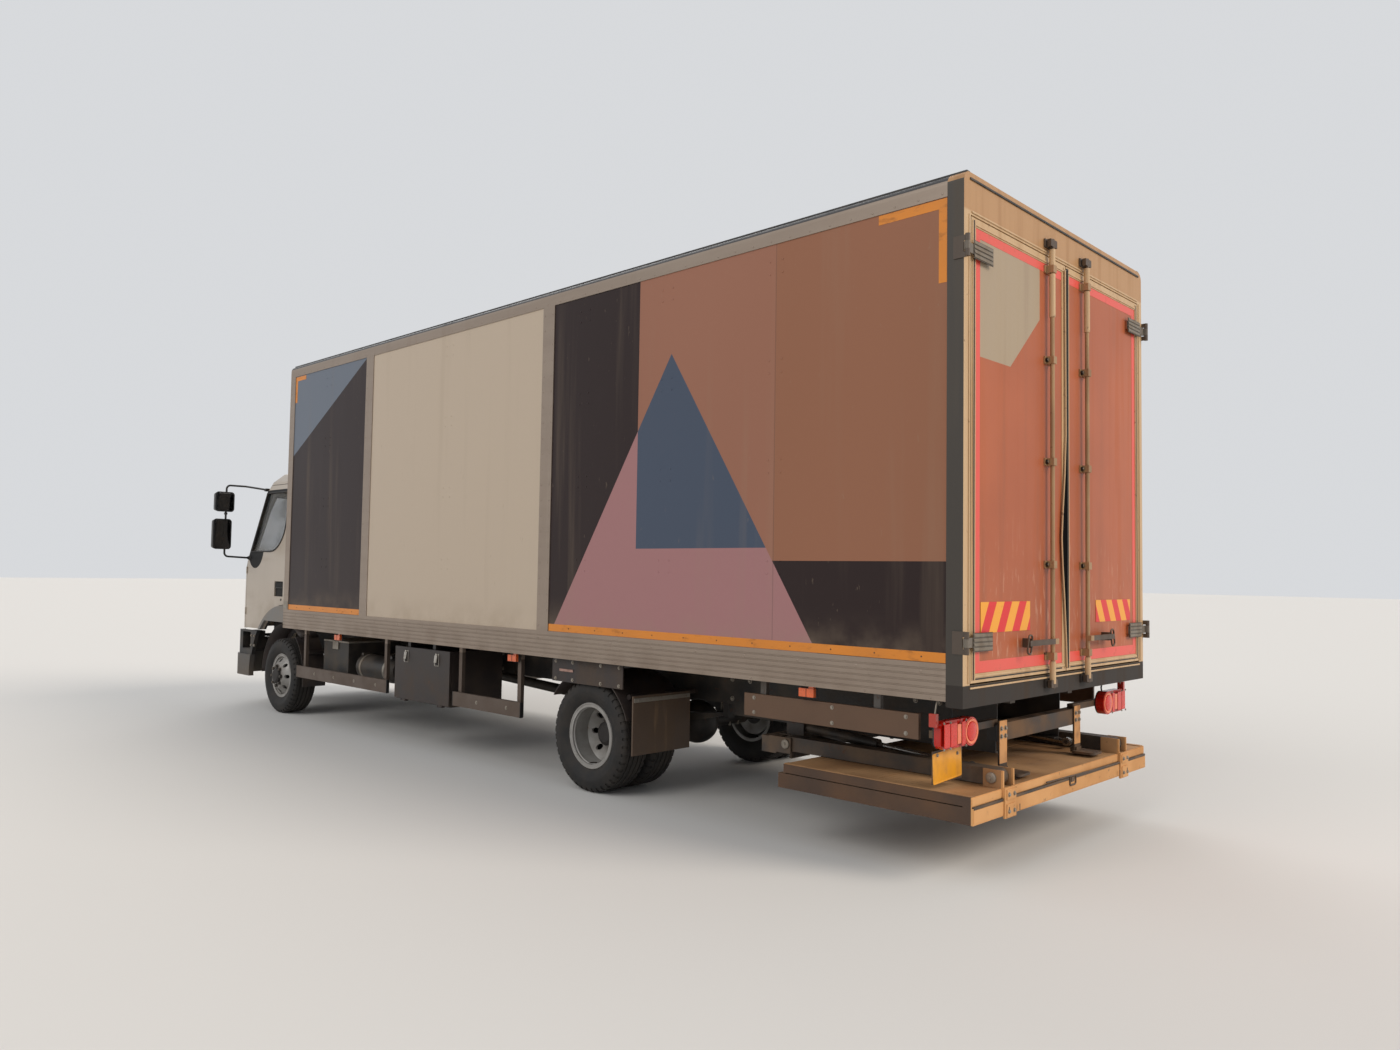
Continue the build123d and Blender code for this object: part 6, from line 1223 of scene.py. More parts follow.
# Side guards: aluminium planks bolted to posts under the floor, dull, dusty and scraped, and darkened by
# painted shade.
# Each plank is closed by a plastic end cap.
GUARD_BOLT_Z = 0.515
GUARD_FACE = 1.193
LEFT_POSTS = (1.292, 1.712, 2.132, 2.552, -0.808, -0.388)
RIGHT_POSTS = LEFT_POSTS + (0.032, 0.452)
LEFT_ENDS = (1.090, 2.970, -0.990, -0.030)
RIGHT_ENDS = (1.090, 2.970, -0.990, 0.990)


def plank_ends(ends):
    """Caps on the ends of the planks of one side, made on the left; front and rear ends take turns."""
    return joined("end_caps", [block("end_cap", (x - inset, 1.163, 0.453), (x - inset + 0.008, 1.1945, 0.577))
                               for x, inset in zip(ends, (0.006, 0.002) * 2)])


guard_bolts = [bolts(0.009, 0.006, "+Y", [(x, GUARD_FACE, GUARD_BOLT_Z) for x in posts], 1.8)
               for posts in (LEFT_POSTS, RIGHT_POSTS)]
fit("guard_bolts", [guard_bolts[0], flipped(guard_bolts[1])], bright_zinc, "chassis", "galvanised")
end_caps = [plank_ends(LEFT_ENDS), flipped(plank_ends(RIGHT_ENDS))]
fit("guard_end_caps", end_caps, seal_rubber, "chassis", "black_plastic")

# Side boards and markers: a tan painted plank behind each rear wheel, and amber lamps on black bases.
# The planks are streaked with dirt, and each marker lens has a moulded rim.
MARKERS_X = (-3.900, -0.960, 1.980)
board_paint = Finish("board_paint", rgb(140, 118, 98), 0.5)
plank_drift = board_paint.noise(2.0, 4.0).mix(rgb(84, 60, 42), rgb(100, 73, 52))
plank_colour, plank_grime = weathered(board_paint, plank_drift, 0.95, rgb(80, 61, 45))
board_paint.set("Base Color", plank_colour)
board_paint.set("Roughness", 0.45 + plank_grime * 0.4)
board_paint.bump(board_paint.noise(30.0, 4.0), 0.0010, 0.5)
dress(board_paint, "side_boards")
board_places = [(x, 1.172, z) for x in (-4.500, -4.000, -3.400) for z in (0.755, 0.845)]
board_bolts = bolts(0.008, 0.006, "+Y", board_places, 1.6)
fit("board_bolts", [board_bolts], bright_zinc, "chassis", "galvanised", side="both")

marker_amber = grimy("marker_amber", rgb(222, 98, 44), rgb(150, 92, 64), (24.0, 5.0), (0.35, 0.8, 0.4),
                     (0.2, 1), Coat_Weight=0.4, Coat_Roughness=0.08)
marker_amber.bump(marker_amber.cells(160.0), 0.0008, 0.5)
dress(marker_amber, "side_markers")
marker_frames = []
for x in MARKERS_X:
    marker_frames += [block("marker_base", (x - 0.008, 1.186, 0.888), (x + 0.118, 1.196, 0.952), 0.004),
                      block("marker_divide", (x + 0.053, 1.1955, 0.896), (x + 0.057, 1.2215, 0.944), 0.001),
                      block("marker_bracket", (x + 0.030, 1.176, 0.900), (x + 0.080, 1.190, 0.965))]
fit("marker_bases", marker_frames, seal_rubber, "chassis", "black_plastic", side="both")

# Toolbox: a welded steel box, dark brown, with a drop door held shut by two bright paddle latches.
# A rubber seal runs round the door, and the lower edge is chipped by stones.
LATCHES_X = (0.240, 0.750)
BOX_SEAL = ((0.052, 0.440), (0.938, 0.440), (0.938, 0.893), (0.052, 0.893))
box_paint = Finish("box_paint", rgb(58, 48, 46), 0.45)
box_drift = box_paint.noise(2.0, 4.0).mix(rgb(32, 25, 24), rgb(42, 34, 31))
box_colour, box_grime = weathered(box_paint, box_drift, 0.95, rgb(80, 66, 54))
box_chips = box_paint.noise(30.0, 6.0, roughness=0.68).rise(0.63, 0.7) * 0.5
box_paint.set("Base Color", box_chips.mix(box_colour, RUST))
box_paint.set("Roughness", 0.42 + box_grime * 0.4)
box_paint.bump(box_paint.noise(2.2, 2.0) * 5.0 + box_paint.noise(80.0, 3.0) * 0.4, 0.0015, 0.4)
dress(box_paint, "toolbox", "toolbox_door")
latch_steel = grimy("latch_steel", rgb(182, 178, 170), rgb(110, 98, 86), (30.0, 5.0), (0.35, 0.75, 0.5),
                    (0.28, 0.5), (160.0, 3.0, 0.0003, 0.5), Metallic=0.85)
latches = []
for x in LATCHES_X:
    paddle = ((x - 0.022, 1.196, 0.862), (x + 0.022, 1.196, 0.862), (x + 0.020, 1.203, 0.800),
              (x - 0.020, 1.203, 0.800))
    hook = ((x + 0.008, 1.204, 0.806), (x + 0.008, 1.206, 0.776), (x - 0.014, 1.204, 0.772))
    lock = ((1.188, 0.011), (1.199, 0.011), (1.201, 0.009), (1.201, 0.0))
    latches += [block("latch_plate", (x - 0.030, 1.185, 0.768), (x + 0.030, 1.189, 0.878), 0.002),
                cut_plate("paddle", paddle, (0, 0.005, 0), 0.0015), bent_rod("hook", hook, 0.004, 0.01),
                turned("lock", lock, (x, 0, 0.868), "Y", 16)]
fit("toolbox_latches", latches, latch_steel, "toolbox_door", "galvanised")
box_seal = bent_rod("box_seal", [(x, 1.1685, z) for x, z in BOX_SEAL], 0.0035, closed=True)
fit("box_seal", [box_seal], seal_rubber, "chassis", "black_plastic")

# Cab: pressed steel panels welded into a shell and painted white, with its doors on hinges at the front.
# Dust greys the paint, black foil surrounds the side windows, and the wheel arches have grey plastic lips.
CAB_WHITE = rgb(182, 170, 155)
CAB_BLACK = rgb(15, 15, 16)
ARCH_LIP = 0.776
CAB_SIDE = 1.065
FOIL_DISC = (4.425, 1.795, 0.200)
PILLAR_FOOT = (4.550, 1.790)
PILLAR_ACROSS = (0.922, 0.387)
HANDLE = ((3.660, 3.880), (1.280, 1.450))

cab_paint = Finish("cab_paint", CAB_WHITE, 0.35, Coat_Weight=0.25, Coat_Roughness=0.12)
cab_drift = cab_paint.noise(1.6, 4.0).mix(CAB_WHITE, rgb(166, 153, 138))
cab_colour, cab_grime = weathered(cab_paint, cab_drift, 1.45, rgb(150, 134, 116), 0.85)
out = abs(cab_paint.y)
foil_x = cab_paint.x - FOIL_DISC[0]
foil_z = cab_paint.z - FOIL_DISC[1]
foil_reach = (foil_x * foil_x + foil_z * foil_z).root()
disc = (foil_reach < FOIL_DISC[2]) * (foil_z < 0)
pillar = (cab_paint.x - PILLAR_FOOT[0]) * PILLAR_ACROSS[0] + (cab_paint.z - PILLAR_FOOT[1]) * PILLAR_ACROSS[1]
pillar = pillar.between(-0.03, 0.064) * cab_paint.z.between(1.775, 2.505)
window_head = cab_paint.z.between(2.465, 2.505) * cab_paint.x.between(3.675, 4.29)
handle = cab_paint.x.between(*HANDLE[0]) * cab_paint.z.between(*HANDLE[1]) * (out > 1.045)
foil = (disc + pillar + window_head) * (out > 0.97)
arch_lip = (from_axle(cab_paint) < ARCH_LIP) * (out > CAB_SIDE + 0.002) * (cab_paint.x > 2.5)
lining = out < 1.045 - (cab_paint.z - 1.700).most(0) * 0.064
lining = lining * cab_paint.x.between(3.345, 4.240) * (cab_paint.z < 2.490)
lining = lining.most((out < 0.820) * cab_paint.x.between(3.345, 4.200) * (cab_paint.z < 2.712))
under = lining * (cab_paint.z < 1.010)
black = (foil + handle).least(1)
lip_colour = (cab_grime * 0.8).mix(rgb(112, 110, 107), DUST)
cab_colour = arch_lip.mix(lining.mix(cab_colour, rgb(104, 100, 95)), lip_colour)
cab_colour = black.mix(cab_colour, (cab_grime * 0.5).mix(CAB_BLACK, ROAD_GREY))
cab_paint.set("Base Color", under.mix(cab_colour, CHASSIS_BLACK))
cab_paint.set("Roughness", 0.3 + cab_grime * 0.4 + arch_lip * 0.2 + lining * 0.3 + black * 0.6)
cab_paint.set("Coat Weight", 0.25 - (arch_lip + black).least(1) * 0.2)
cab_paint.bump(cab_paint.noise(1.4, 2.0) * 3.0 + cab_paint.noise(120.0, 3.0) * 0.12, 0.0014, 0.5)
dress(cab_paint, "cab_shell", "cab_door_left", "cab_door_right")

# Window rubbers: thick black rubber profiles pressed onto the flanges of the openings, all the way round.
# Two wipers on their spindles rest along the windscreen's lower edge, and door locks sit under the handles.
SIDE_WINDOW = ((3.690, 2.120), (3.690, 2.470), (4.265, 2.470), (4.550, 1.790), (4.040, 1.790))
SWEEP_MIDDLE = (3.795, 1.890)
SKIN_HEIGHTS = ((1.600, 1.065), (1.700, 1.062), (2.480, 1.012), (2.600, 0.975))
SCREEN_FOOT = Vector((0.950, 1.712))
SCREEN_HEAD = Vector((0.870, 2.450))
WIPERS = (
    # spindle y, then y and z of the blade's two ends
    (0.560, (0.620, 1.775), (-0.060, 1.795)),
    (-0.180, (-0.120, 1.775), (-0.800, 1.790)),
)


def skin_half(height):
    """Half the cab's width at a height."""
    for (low, wide), (high, narrow) in zip(SKIN_HEIGHTS, SKIN_HEIGHTS[1:]):
        if height <= high:
            return wide + (narrow - wide) * max(0, height - low) / (high - low)


def arc(start, middle, end, steps):
    """Points on the circle through three points of a plane, without its two ends."""
    (ax, az), (bx, bz), (cx, cz) = start, middle, end
    scale = 2 * (ax * (bz - cz) + bx * (cz - az) + cx * (az - bz))
    sums = [x * x + z * z for x, z in (start, middle, end)]
    x = (sums[0] * (bz - cz) + sums[1] * (cz - az) + sums[2] * (az - bz)) / scale
    z = (sums[0] * (cx - bx) + sums[1] * (ax - cx) + sums[2] * (bx - ax)) / scale
    centre = Vector((x, z))
    first = Vector(start) - centre
    turn = first.angle_signed(Vector(end) - centre)
    return [tuple(centre + Matrix.Rotation(-turn * step / steps, 2) @ first) for step in range(1, steps)]


def spaced(start, end, steps):
    """Evenly spaced points from start to end."""
    return [Vector(start).lerp(Vector(end), step / steps) for step in range(steps + 1)]


def on_skin(node, start, direction=(-1, 0, 0), lift=0.0):
    """The point of a CAD node's surface that a line from `start` meets first, lifted towards the start."""
    hit, place, _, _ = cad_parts[node].ray_cast(Vector(start), Vector(direction))
    if not hit:
        raise ValueError(f"no surface of {node} lies ahead of {start}")
    return place - Vector(direction) * lift


def on_screen(y, z):
    """A point just in front of the windscreen."""
    return on_skin("windscreen", (6.0, y, z), lift=0.010)


window_line = list(SIDE_WINDOW) + arc(SIDE_WINDOW[-1], SWEEP_MIDDLE, SIDE_WINDOW[0], 8)
seal_line = [(x, skin_half(z) - 0.001, z) for x, z in window_line]
window_seal = bent_rod("window_seal", seal_line, 0.011, closed=True)
inner_seal = copy_of(window_seal, "inner_seal", (0, -0.010, 0))
lock = turned("door_lock", ((1.064, 0.013), (1.068, 0.013), (1.0695, 0.011), (1.0695, 0.004), (1.067, 0.003),
                            (1.067, 0.0)), (3.700, 0, 1.245), "Y", 20)
grip = block("grip_edge", (3.676, 1.0605, 1.372), (3.864, 1.0655, 1.384), 0.002)
left_rubbers = joined("door_rubbers", [window_seal, inner_seal, lock, grip])
for rubbers, body in zip(with_twin(left_rubbers), ("cab_door_left", "cab_door_right")):
    fit(rubbers.name, [rubbers], seal_rubber, body, "trim_plastic")

left_rise = spaced(SCREEN_FOOT, SCREEN_HEAD, 6)
right_fall = [Vector((-y, z)) for y, z in reversed(left_rise)]
screen_line = left_rise + spaced(SCREEN_HEAD, right_fall[0], 12)[1:-1]
screen_line += right_fall + spaced(right_fall[-1], SCREEN_FOOT, 12)[1:-1]
screen_ring = [on_screen(y * 0.997, z + (0.004 if z < 2 else -0.004)) for y, z in screen_line]
wipers = [bent_rod("screen_seal", screen_ring, 0.013, closed=True)]
for spindle, start, end in WIPERS:
    foot = on_skin("cab_shell", (6.0, spindle, 1.660))
    blade = [on_screen(*point) for point in spaced(start, end, 6)]
    arm = (foot + Vector((0.020, 0, 0)), foot + Vector((0.030, (end[0] - spindle) * 0.2, 0.06)),
           blade[3] + Vector((0.020, 0, 0.004)), blade[3] + Vector((0.006, 0, 0)))
    spindle_line = ((-0.004, 0.020), (0.012, 0.020), (0.020, 0.014), (0.026, 0.010), (0.026, 0.0))
    wipers += [turned("spindle", spindle_line, foot, "X", 20),
               bent_rod("blade", blade, 0.005),
               bent_rod("blade_back", [point + Vector((0.012, 0, 0.004)) for point in blade[1:6]], 0.004),
               bent_rod("arm", arm, 0.007, 0.02)]
fit("wipers", wipers, seal_rubber, "cab", "trim_plastic")

# Roof lamps: two small amber lamps in black plastic housings, screwed to the front slope of the cab's roof.
# Their lenses are faceted inside and dusty, like those of the side markers.
ROOF_LAMP_Y = 0.640
LAMP_SHAPE = ((4.200, 0.055), (4.395, -0.040), (4.395, -0.005), (4.330, 0.060), (4.220, 0.075))
roof_z = on_skin("cab_shell", (4.290, ROOF_LAMP_Y, 3.2), (0, 0, -1)).z
housing_line = [(x, ROOF_LAMP_Y - 0.055, roof_z + rise) for x, rise in LAMP_SHAPE]
housing = cut_plate("lamp_housing", housing_line, (0, 0.110, 0), 0.012)
roof_lens = block("roof_lens", (4.360, ROOF_LAMP_Y - 0.042, roof_z - 0.012),
                  (4.400, ROOF_LAMP_Y + 0.042, roof_z + 0.018), 0.008)
fit("roof_lamp_housings", [housing], seal_rubber, "cab", "trim_plastic", side="both")
fit("roof_lamp_lenses", [roof_lens], marker_amber, "cab", "lamp_amber", side="both")

# Glass: tinted safety glass with a film of dust, which is thicker along its lower edges.
# The mirrors are black plastic housings on bent tubes, each with a silvered glass in its rear face.
MIRROR_FACE = 4.525
MIRRORS = (
    # middle y, middle z, width, height of the glass
    (1.397, 2.360, 0.186, 0.202),
    (1.415, 1.985, 0.178, 0.322),
)

cab_glass = Finish("cab_glass", rgb(52, 60, 60), 0.04, Alpha=0.3)
glass_dust = cab_glass.noise(3.0, 5.0).rise(0.35, 0.8) * 0.16
glass_dust = glass_dust + cab_glass.noise(60.0, 4.0).rise(0.6, 0.75) * 0.06
glass_dust = glass_dust + (1 - cab_glass.z.rise(1.74, 1.90)) * 0.14
cab_glass.set("Base Color", (glass_dust * 2.2).mix(rgb(44, 52, 52), rgb(150, 138, 120)))
cab_glass.set("Alpha", 0.24 + glass_dust * 1.1)
cab_glass.set("Roughness", 0.03 + glass_dust * 0.5)
dress(cab_glass, "windscreen", "door_glass_left", "door_glass_right")
mirror_plastic = grimy("mirror_plastic", rgb(20, 20, 21), rgb(96, 88, 78), (12.0, 5.0),
                       (0.4, 0.8, 0.3), (0.42, 0.5), (260.0, 3.0, 0.0006, 0.6))
dress(mirror_plastic, "mirror_left", "mirror_right")
mirror_glass = grimy("mirror_glass", rgb(66, 68, 72), rgb(110, 104, 96), (20.0, 4.0),
                     (0.45, 0.8, 0.25), (0.03, 0.6), Metallic=1.0)


def mirror_line(x, y, z, width, height):
    """The corners of a mirror glass that faces the rear."""
    return [(x, y + a * width / 2, z + b * height / 2) for a, b in CORNERS]


panes = []
frames = []
for y, z, width, height in MIRRORS:
    pane_line = mirror_line(MIRROR_FACE - 0.001, y, z, width, height)
    panes.append(cut_plate("pane", pane_line, (-0.004, 0, 0), 0.0012, 0.026))
    rim_line = mirror_line(MIRROR_FACE - 0.002, y, z, width + 0.012, height + 0.012)
    frames.append(bent_rod("mirror_rim", rim_line, 0.0045, 0.030, closed=True))
    frames.append(block("mirror_clamp", (4.540, 1.352, z - 0.030), (4.600, 1.388, z + 0.030), 0.006))
frames += [ring("collar", -0.012, 0.012, 0.010, 0.018, (4.560, 1.370, z), "Z", 20) for z in (2.150, 2.225)]
frames.append(block("mirror_arm_foot", (4.296, 0.960, 2.498), (4.353, 1.024, 2.532), 0.008))
foot_line = ((-0.004, 0.030), (0.006, 0.030), (0.018, 0.020), (0.030, 0.016), (0.030, 0.010),
             (-0.004, 0.010), (-0.004, 0.030))
frames.append(turned("mirror_foot", foot_line, (4.590, 1.060, 1.716), "Y"))
for name, pieces, finish, slot in (("mirror_panes", panes, mirror_glass, "cab_glass"),
                                   ("mirror_frames", frames, mirror_plastic, "black_plastic")):
    for piece, body in zip(with_twin(joined(name, pieces)), ("cab_door_left", "cab_door_right")):
        fit(piece.name, [piece], finish, body, slot)

# Bumper: moulded plastic over a steel core, grey below and black above, with ribbed steps in its ends.
# It is bolted to the chassis ends, so the cab tilts away from it, and stones have scuffed its lower edge.
BUMPER_GREY = rgb(76, 73, 70)
BUMPER_BLACK = rgb(24, 24, 25)
BUMPER_SPLIT = 0.590

bumper_plastic = Finish("bumper_plastic", BUMPER_GREY, 0.6)
bumper_dirt = bumper_plastic.noise(8.0, 5.0).rise(0.35, 0.8) * 0.35
bumper_dirt = bumper_dirt + (1 - bumper_plastic.z.rise(0.36, 0.60)) * 0.35
bumper_scuff = bumper_plastic.noise(26.0, 6.0, (1, 1, 0.5), 0.64).rise(0.64, 0.7)
bumper_scuff = bumper_scuff * (bumper_plastic.z < 0.56) * 0.5
upper = bumper_plastic.z > BUMPER_SPLIT
bumper_colour = bumper_dirt.mix(upper.mix(BUMPER_GREY, BUMPER_BLACK), rgb(112, 99, 84))
bumper_plastic.set("Base Color", bumper_scuff.mix(bumper_colour, rgb(150, 144, 136)))
bumper_plastic.set("Roughness", 0.5 + bumper_dirt * 0.4)
bumper_plastic.bump(bumper_plastic.noise(300.0, 2.0), 0.0006, 0.7)
dress(bumper_plastic, "bumper")
grille_plastic = grimy("grille_plastic", rgb(30, 30, 31), rgb(120, 106, 90), (14.0, 5.0),
                       (0.4, 0.8, 0.35), (0.4, 0.4), (260.0, 2.0, 0.0005, 0.6))
dress(grille_plastic, "grille")
side_places = [(x, 1.096, z) for x in (4.300, 4.380) for z in (0.700, 0.810)]
front_places = [on_skin("bumper", (6.0, y, 0.480)) for y in (0.640, 0.980)]
bumper_bolts = [bolts(0.012, 0.010, "+Y", side_places, 1.35), bolts(0.012, 0.010, "+X", front_places, 1.35)]
fit("bumper_bolts", bumper_bolts, bright_zinc, "chassis", "galvanised", side="both")

# Headlamps: clear plastic covers over two aluminised bowls and an amber indicator, in black housings.
# Each bowl holds a bulb behind a shield, and the covers follow the curve of the bumper.
LAMP_Y = (0.700, 0.985)
LAMP_Z = (0.610, 0.770)
LAMP_MIDDLE = 0.690
LAMP_BOWLS = (
    # y, front edge x, radius
    (0.772, 4.880, 0.064),
    (0.892, 4.852, 0.052),
)
BOWL_DEPTH = 0.085
BOWL_HOLE = 0.014

lamp_clear = Finish("lamp_clear", rgb(226, 230, 232), 0.05, Alpha=0.2)
lamp_haze = lamp_clear.noise(18.0, 4.0).rise(0.4, 0.8) * 0.14
lamp_clear.set("Alpha", 0.14 + lamp_haze)
lamp_clear.set("Roughness", 0.04 + lamp_haze)
cover_line = [on_skin("headlamps", (6.0, y, z)) for y, z in spaced((LAMP_Y[0] + 0.002, LAMP_MIDDLE),
                                                                   (LAMP_Y[1] - 0.002, LAMP_MIDDLE), 16)]
drawn("lamp_cover", [(point.x, point.y, LAMP_Z[0] + 0.001) for point in cover_line])
pulled((0, 0, LAMP_Z[1] - LAMP_Z[0] - 0.002))
cover = modified(close_up(), "SOLIDIFY", thickness=0.004)
fit("lamp_covers", [cover], lamp_clear, "chassis", "lamp_clear", "headlamps", side="both")

chrome = Finish("lamp_chrome", rgb(214, 216, 218), 0.1, Metallic=1.0)
chrome.set("Roughness", 0.08 + chrome.noise(40.0, 3.0).rise(0.4, 0.8) * 0.1)
chrome.bump(chrome.noise(160.0, 1.0, (1, 1, 0.1)), 0.0006, 0.4)
bowls = []
for y, x, radius in LAMP_BOWLS:
    centre = (x, y, LAMP_MIDDLE)
    profile = [(-BOWL_DEPTH * (1 - step / 7) ** 1.7, BOWL_HOLE + (radius - BOWL_HOLE) * (step / 7) ** 0.75)
               for step in range(8)] + [(0.002, radius + 0.006), (-0.006, radius + 0.006)]
    bulb = ((-0.086, 0.0), (-0.086, 0.010), (-0.050, 0.010), (-0.040, 0.007), (-0.034, 0.0))
    shield = ((-0.036, 0.0), (-0.036, 0.013), (-0.030, 0.015), (-0.026, 0.012), (-0.024, 0.0))
    bowls += [turned("bowl", profile, centre, "X", 40), turned("bulb", bulb, centre, "X", 16),
              turned("shield", shield, centre, "X", 20)]
fit("lamp_bowls", bowls, chrome, "chassis", "lamp_clear", side="both")
indicator = turned("indicator", ((-0.030, 0.0), (-0.030, 0.018), (-0.004, 0.022), (0.004, 0.017),
                                 (0.007, 0.0)), (4.800, 0.960, LAMP_MIDDLE))
fit("indicators", [indicator], marker_amber, "chassis", "lamp_amber", side="both")
(y0, y1), (z0, z1) = LAMP_Y, LAMP_Z
shells = [block("lamp_back", (4.700, y0 + 0.001, z0 + 0.001), (4.764, y1 - 0.001, z1 - 0.001), 0.004),
          block("lamp_ledge", (4.760, y0 + 0.002, z0 + 0.004), (4.862, 0.900, z0 + 0.012), 0.002),
          block("lamp_ledge", (4.760, y0 + 0.002, z1 - 0.012), (4.862, 0.900, z1 - 0.004), 0.002),
          block("lamp_divide", (4.762, 0.826, z0 + 0.004), (4.850, 0.838, z1 - 0.004)),
          block("lamp_divide", (4.762, 0.934, z0 + 0.004), (4.812, 0.940, z1 - 0.004), 0.002)]
fit("lamp_housings", shells, grille_plastic, "chassis", "black_plastic", side="both")

# Dashboard: a dark moulded plastic top, with an instrument hood, air vents, a centre panel and a glove box.
# It is seen through the glass only, so its small controls stay simple; a gear lever stands on the tunnel.
VENTS_Y = (0.890, 0.180, -0.110, -0.890)
VENT_FACE = ((4.487, 1.575), (4.507, 1.635))
HOOD = ((4.506, 1.655), (4.590, 1.690), (4.720, 1.690), (4.660, 1.728), (4.560, 1.738), (4.512, 1.730))
GLOVE_BOX = ((4.480, -0.860, 1.500), (4.480, -0.240, 1.500), (4.528, -0.240, 1.300), (4.528, -0.860, 1.300))
trim_plastic = grimy("trim_plastic", rgb(60, 58, 56), rgb(112, 104, 94), (7.0, 4.0),
                     (0.4, 0.8, 0.25), (0.55, 0.3), (320.0, 2.0, 0.0006, 0.8))
dress(trim_plastic, "dashboard")
wheel_rubber = Finish("wheel_rubber", rgb(34, 34, 35), 0.5)
wheel_rubber.set("Roughness", 0.42 + wheel_rubber.noise(30.0, 4.0) * 0.25)
wheel_rubber.bump(wheel_rubber.noise(420.0, 3.0), 0.0005, 0.8)
dress(wheel_rubber, "steering_wheel")
fittings = [cut_plate("instrument_hood", [(x, 0.390, z) for x, z in HOOD], (0, 0.340, 0), 0.014)]
for y in VENTS_Y:
    low, first, second, third, high = spaced(*VENT_FACE, 4)
    vent_line = [(x - 0.004, y + side, z)
                 for (x, z), side in ((low, -0.070), (low, 0.070), (high, 0.070), (high, -0.070))]
    fittings.append(bent_rod("vent_frame", vent_line, 0.006, 0.012, closed=True))
    fittings += [block("vent_slat", (x - 0.005, y - 0.066, z - 0.0015),
                       (x + 0.005, y + 0.066, z + 0.0015), 0.001) for x, z in (first, second, third)]
fittings += [bent_rod("glove_box", GLOVE_BOX, 0.005, 0.02, closed=True),
             block("centre_panel", (4.462, -0.080, 1.380), (4.500, 0.160, 1.545), 0.008),
             bent_rod("gear_lever", ((4.300, 0.120, 1.225), (4.290, 0.120, 1.330), (4.260, 0.130, 1.520)),
                      0.011, 0.05),
             turned("lever_boot", ((0.0, 0.060), (0.020, 0.052), (0.045, 0.030), (0.070, 0.020),
                                   (0.090, 0.012), (0.090, 0.0)), (4.298, 0.120, 1.222), "Z"),
             turned("lever_knob", ((-0.030, 0.0), (-0.030, 0.014), (-0.010, 0.024), (0.020, 0.028),
                                   (0.036, 0.020), (0.042, 0.0)), (4.258, 0.130, 1.540), "Z")]
fit("dash_fittings", fittings, wheel_rubber, "cab", "trim_plastic")
dial = ((0.0, 0.0), (0.0, 0.048), (-0.004, 0.050), (-0.006, 0.046), (-0.003, 0.042), (-0.003, 0.0))
dials = [turned("dial", dial, (4.507, y, 1.690), "X", 32) for y in (0.480, 0.640)]
fit("dials", dials, chrome, "cab", "trim_plastic")

# Seats: foam cushions under woven cloth with sewn side rolls, for the driver and on a bench for two.
# Each stands on a plastic box; the foam swells against its cover, and head rests sit on steel posts.
SEATS = (
    # name, middle of the place, half of its width
    ("driver", 0.5725, 0.2275),
    ("middle", -0.245, 0.205),
    ("outer", -0.655, 0.205),
)
SEAT_INSET = 0.018
SWELL_MOST = 0.022
SWELL_STEPS = 20
FOAM_PRESSURE = 4
PADS = (
    # side profile of the pad as (x, z), half width taken off on both sides, round corners
    ("seat_pad", ((3.665, 1.322), (4.128, 1.326), (4.132, 1.408), (3.665, 1.404)), SEAT_INSET, 0.030),
    ("back_pad", ((3.652, 1.420), (3.728, 1.420), (3.640, 1.960), (3.548, 1.960)), SEAT_INSET, 0.030),
    ("head_pad", ((3.572, 2.012), (3.636, 2.012), (3.622, 2.180), (3.562, 2.180)), 0.085, 0.022),
)
BACK_SHELL = ((3.640, 1.318), (3.760, 1.318), (3.752, 1.345), (3.660, 1.360), (3.556, 1.955), (3.544, 1.955))


def swollen(piece):
    """Foam under its cover: the shape swells by cloth pressure, by no more than it may."""
    modified(piece, "REMESH", mode="VOXEL", voxel_size=0.011)
    before = [corner.co.copy() for corner in piece.data.vertices]
    bpy.context.scene.frame_set(1)
    cover = piece.modifiers.new("cover", "CLOTH")
    cover.settings.use_pressure = True
    cover.settings.uniform_pressure_force = FOAM_PRESSURE
    cover.settings.effector_weights.gravity = 0
    for step in range(1, SWELL_STEPS + 1):
        bpy.context.scene.frame_set(step)
    bpy.ops.object.modifier_apply(modifier="cover")
    bpy.context.scene.frame_set(1)
    for corner, old in zip(piece.data.vertices, before):
        move = corner.co - old
        if move.length > SWELL_MOST:
            corner.co = old + move.normalized() * SWELL_MOST
    modified(piece, "SUBSURF", levels=1, render_levels=1)
    bpy.ops.object.shade_smooth()
    return piece


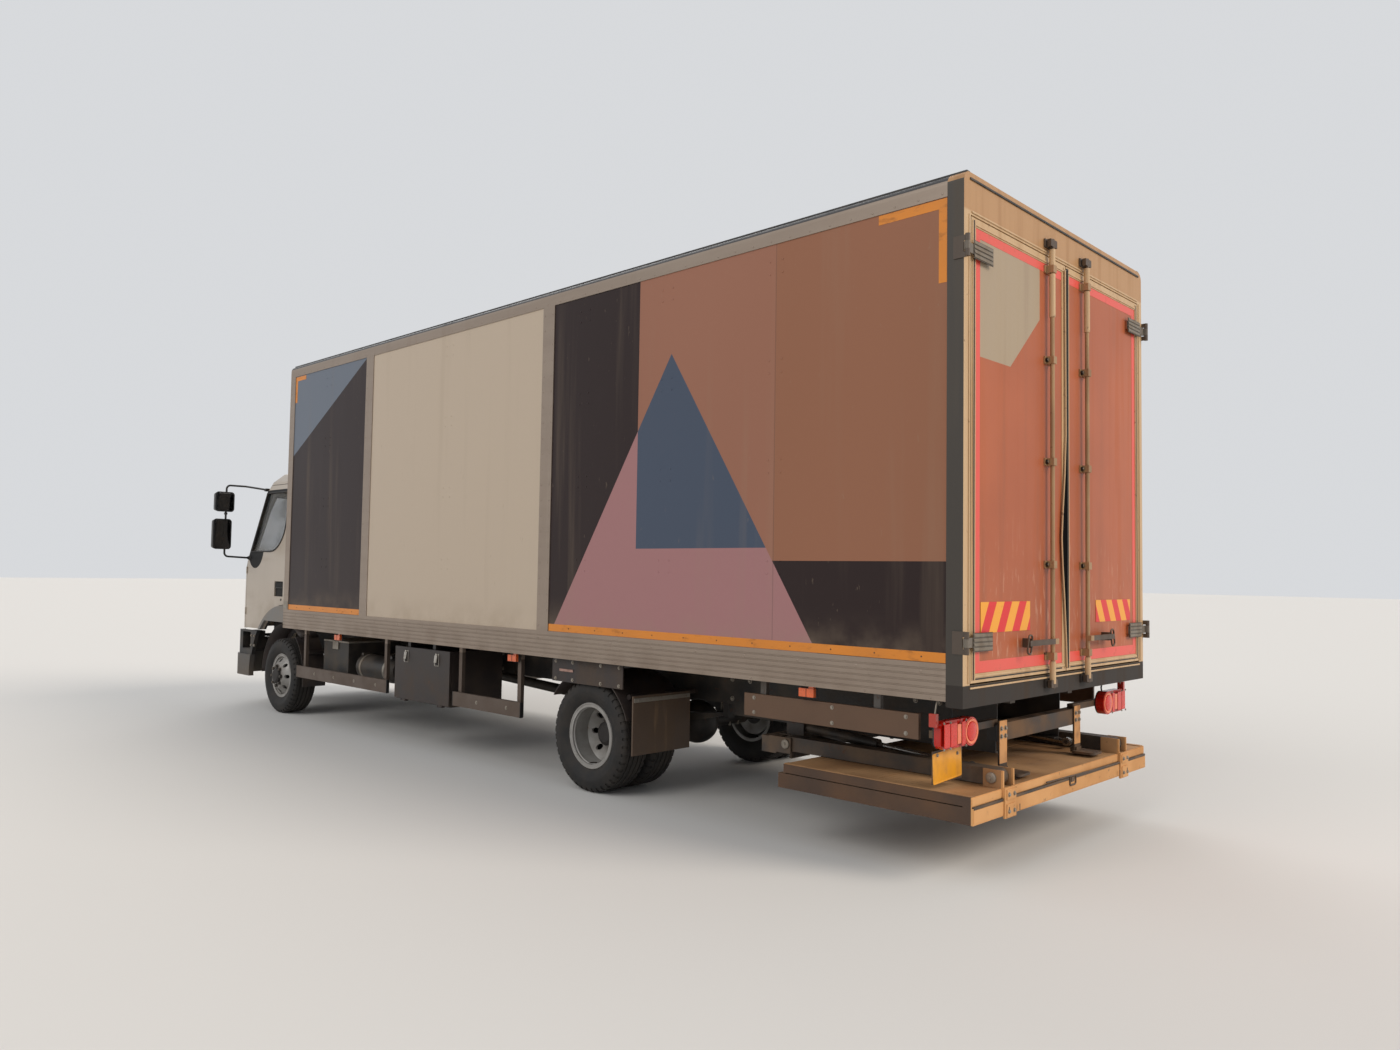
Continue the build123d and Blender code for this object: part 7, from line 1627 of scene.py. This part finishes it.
seat_cloth = Finish("seat_cloth", rgb(74, 76, 82), 0.9, Sheen_Weight=0.3)
driver, middle, outer = (abs(seat_cloth.y - middle) for _, middle, _ in SEATS)
across_seat = outer.least(middle.least(driver))
roll = across_seat.rise(0.118, 0.126)
seam = 1 - abs(across_seat - 0.122).rise(0.002, 0.009)
rows = (seat_cloth.x * 11.0 + seat_cloth.z * 8.0).fract()
channel = (1 - abs(rows - 0.5).rise(0.0, 0.09)) * (1 - roll)
weave = seat_cloth.noise(420.0, 2.0, (1, 0.4, 1))
cloth_wear = seat_cloth.noise(6.0, 4.0).rise(0.4, 0.8) * 0.3
cloth_colour = roll.mix(weave.mix(rgb(64, 66, 72), rgb(88, 90, 96)), rgb(46, 46, 49))
seat_cloth.set("Base Color", (cloth_wear + seam * 0.4).mix(cloth_colour, rgb(98, 92, 86)))
seat_cloth.set("Roughness", 0.8 + weave * 0.15)
seat_cloth.bump(weave * 0.4 - seam * 3.0 - channel * 4.0, 0.0015, 0.9)

for place, middle, half in SEATS:
    for name, profile, inset, rounding in PADS:
        pad_line = [(x, middle - half + inset, z) for x, z in profile]
        pad = swollen(cut_plate(name, pad_line, (0, 2 * (half - inset), 0), 0.014, rounding))
        fit(name + "_" + place, [pad], seat_cloth, "cab", "seat_cloth", "seats")

seat_knob = ((0.0, 0.020), (0.020, 0.024), (0.026, 0.018), (0.026, 0.0))
stands = [block("seat_box", (3.670, low, 1.041), (4.110, high, 1.316), 0.014)
          for low, high in ((0.400, 0.800), (-0.860, -0.400))]
stands += [block("bench_frame", (3.690, -0.850, 1.296), (4.100, -0.052, 1.316), 0.006),
           turned("seat_knob", seat_knob, (3.900, 0.797, 1.210), "Y", 20)]
for _, middle, half in SEATS:
    shell_line = [(x, middle - half + 0.010, z) for x, z in BACK_SHELL]
    stands.append(cut_plate("back_shell", shell_line, (0, 2 * half - 0.020, 0), 0.004))
    stands += [bent_rod("head_post", ((3.590, middle + run, 1.930), (3.603, middle + run, 2.060)), 0.006)
               for run in (-0.070, 0.070)]
fit("seat_stands", stands, trim_plastic, "cab", "trim_plastic", "seats")
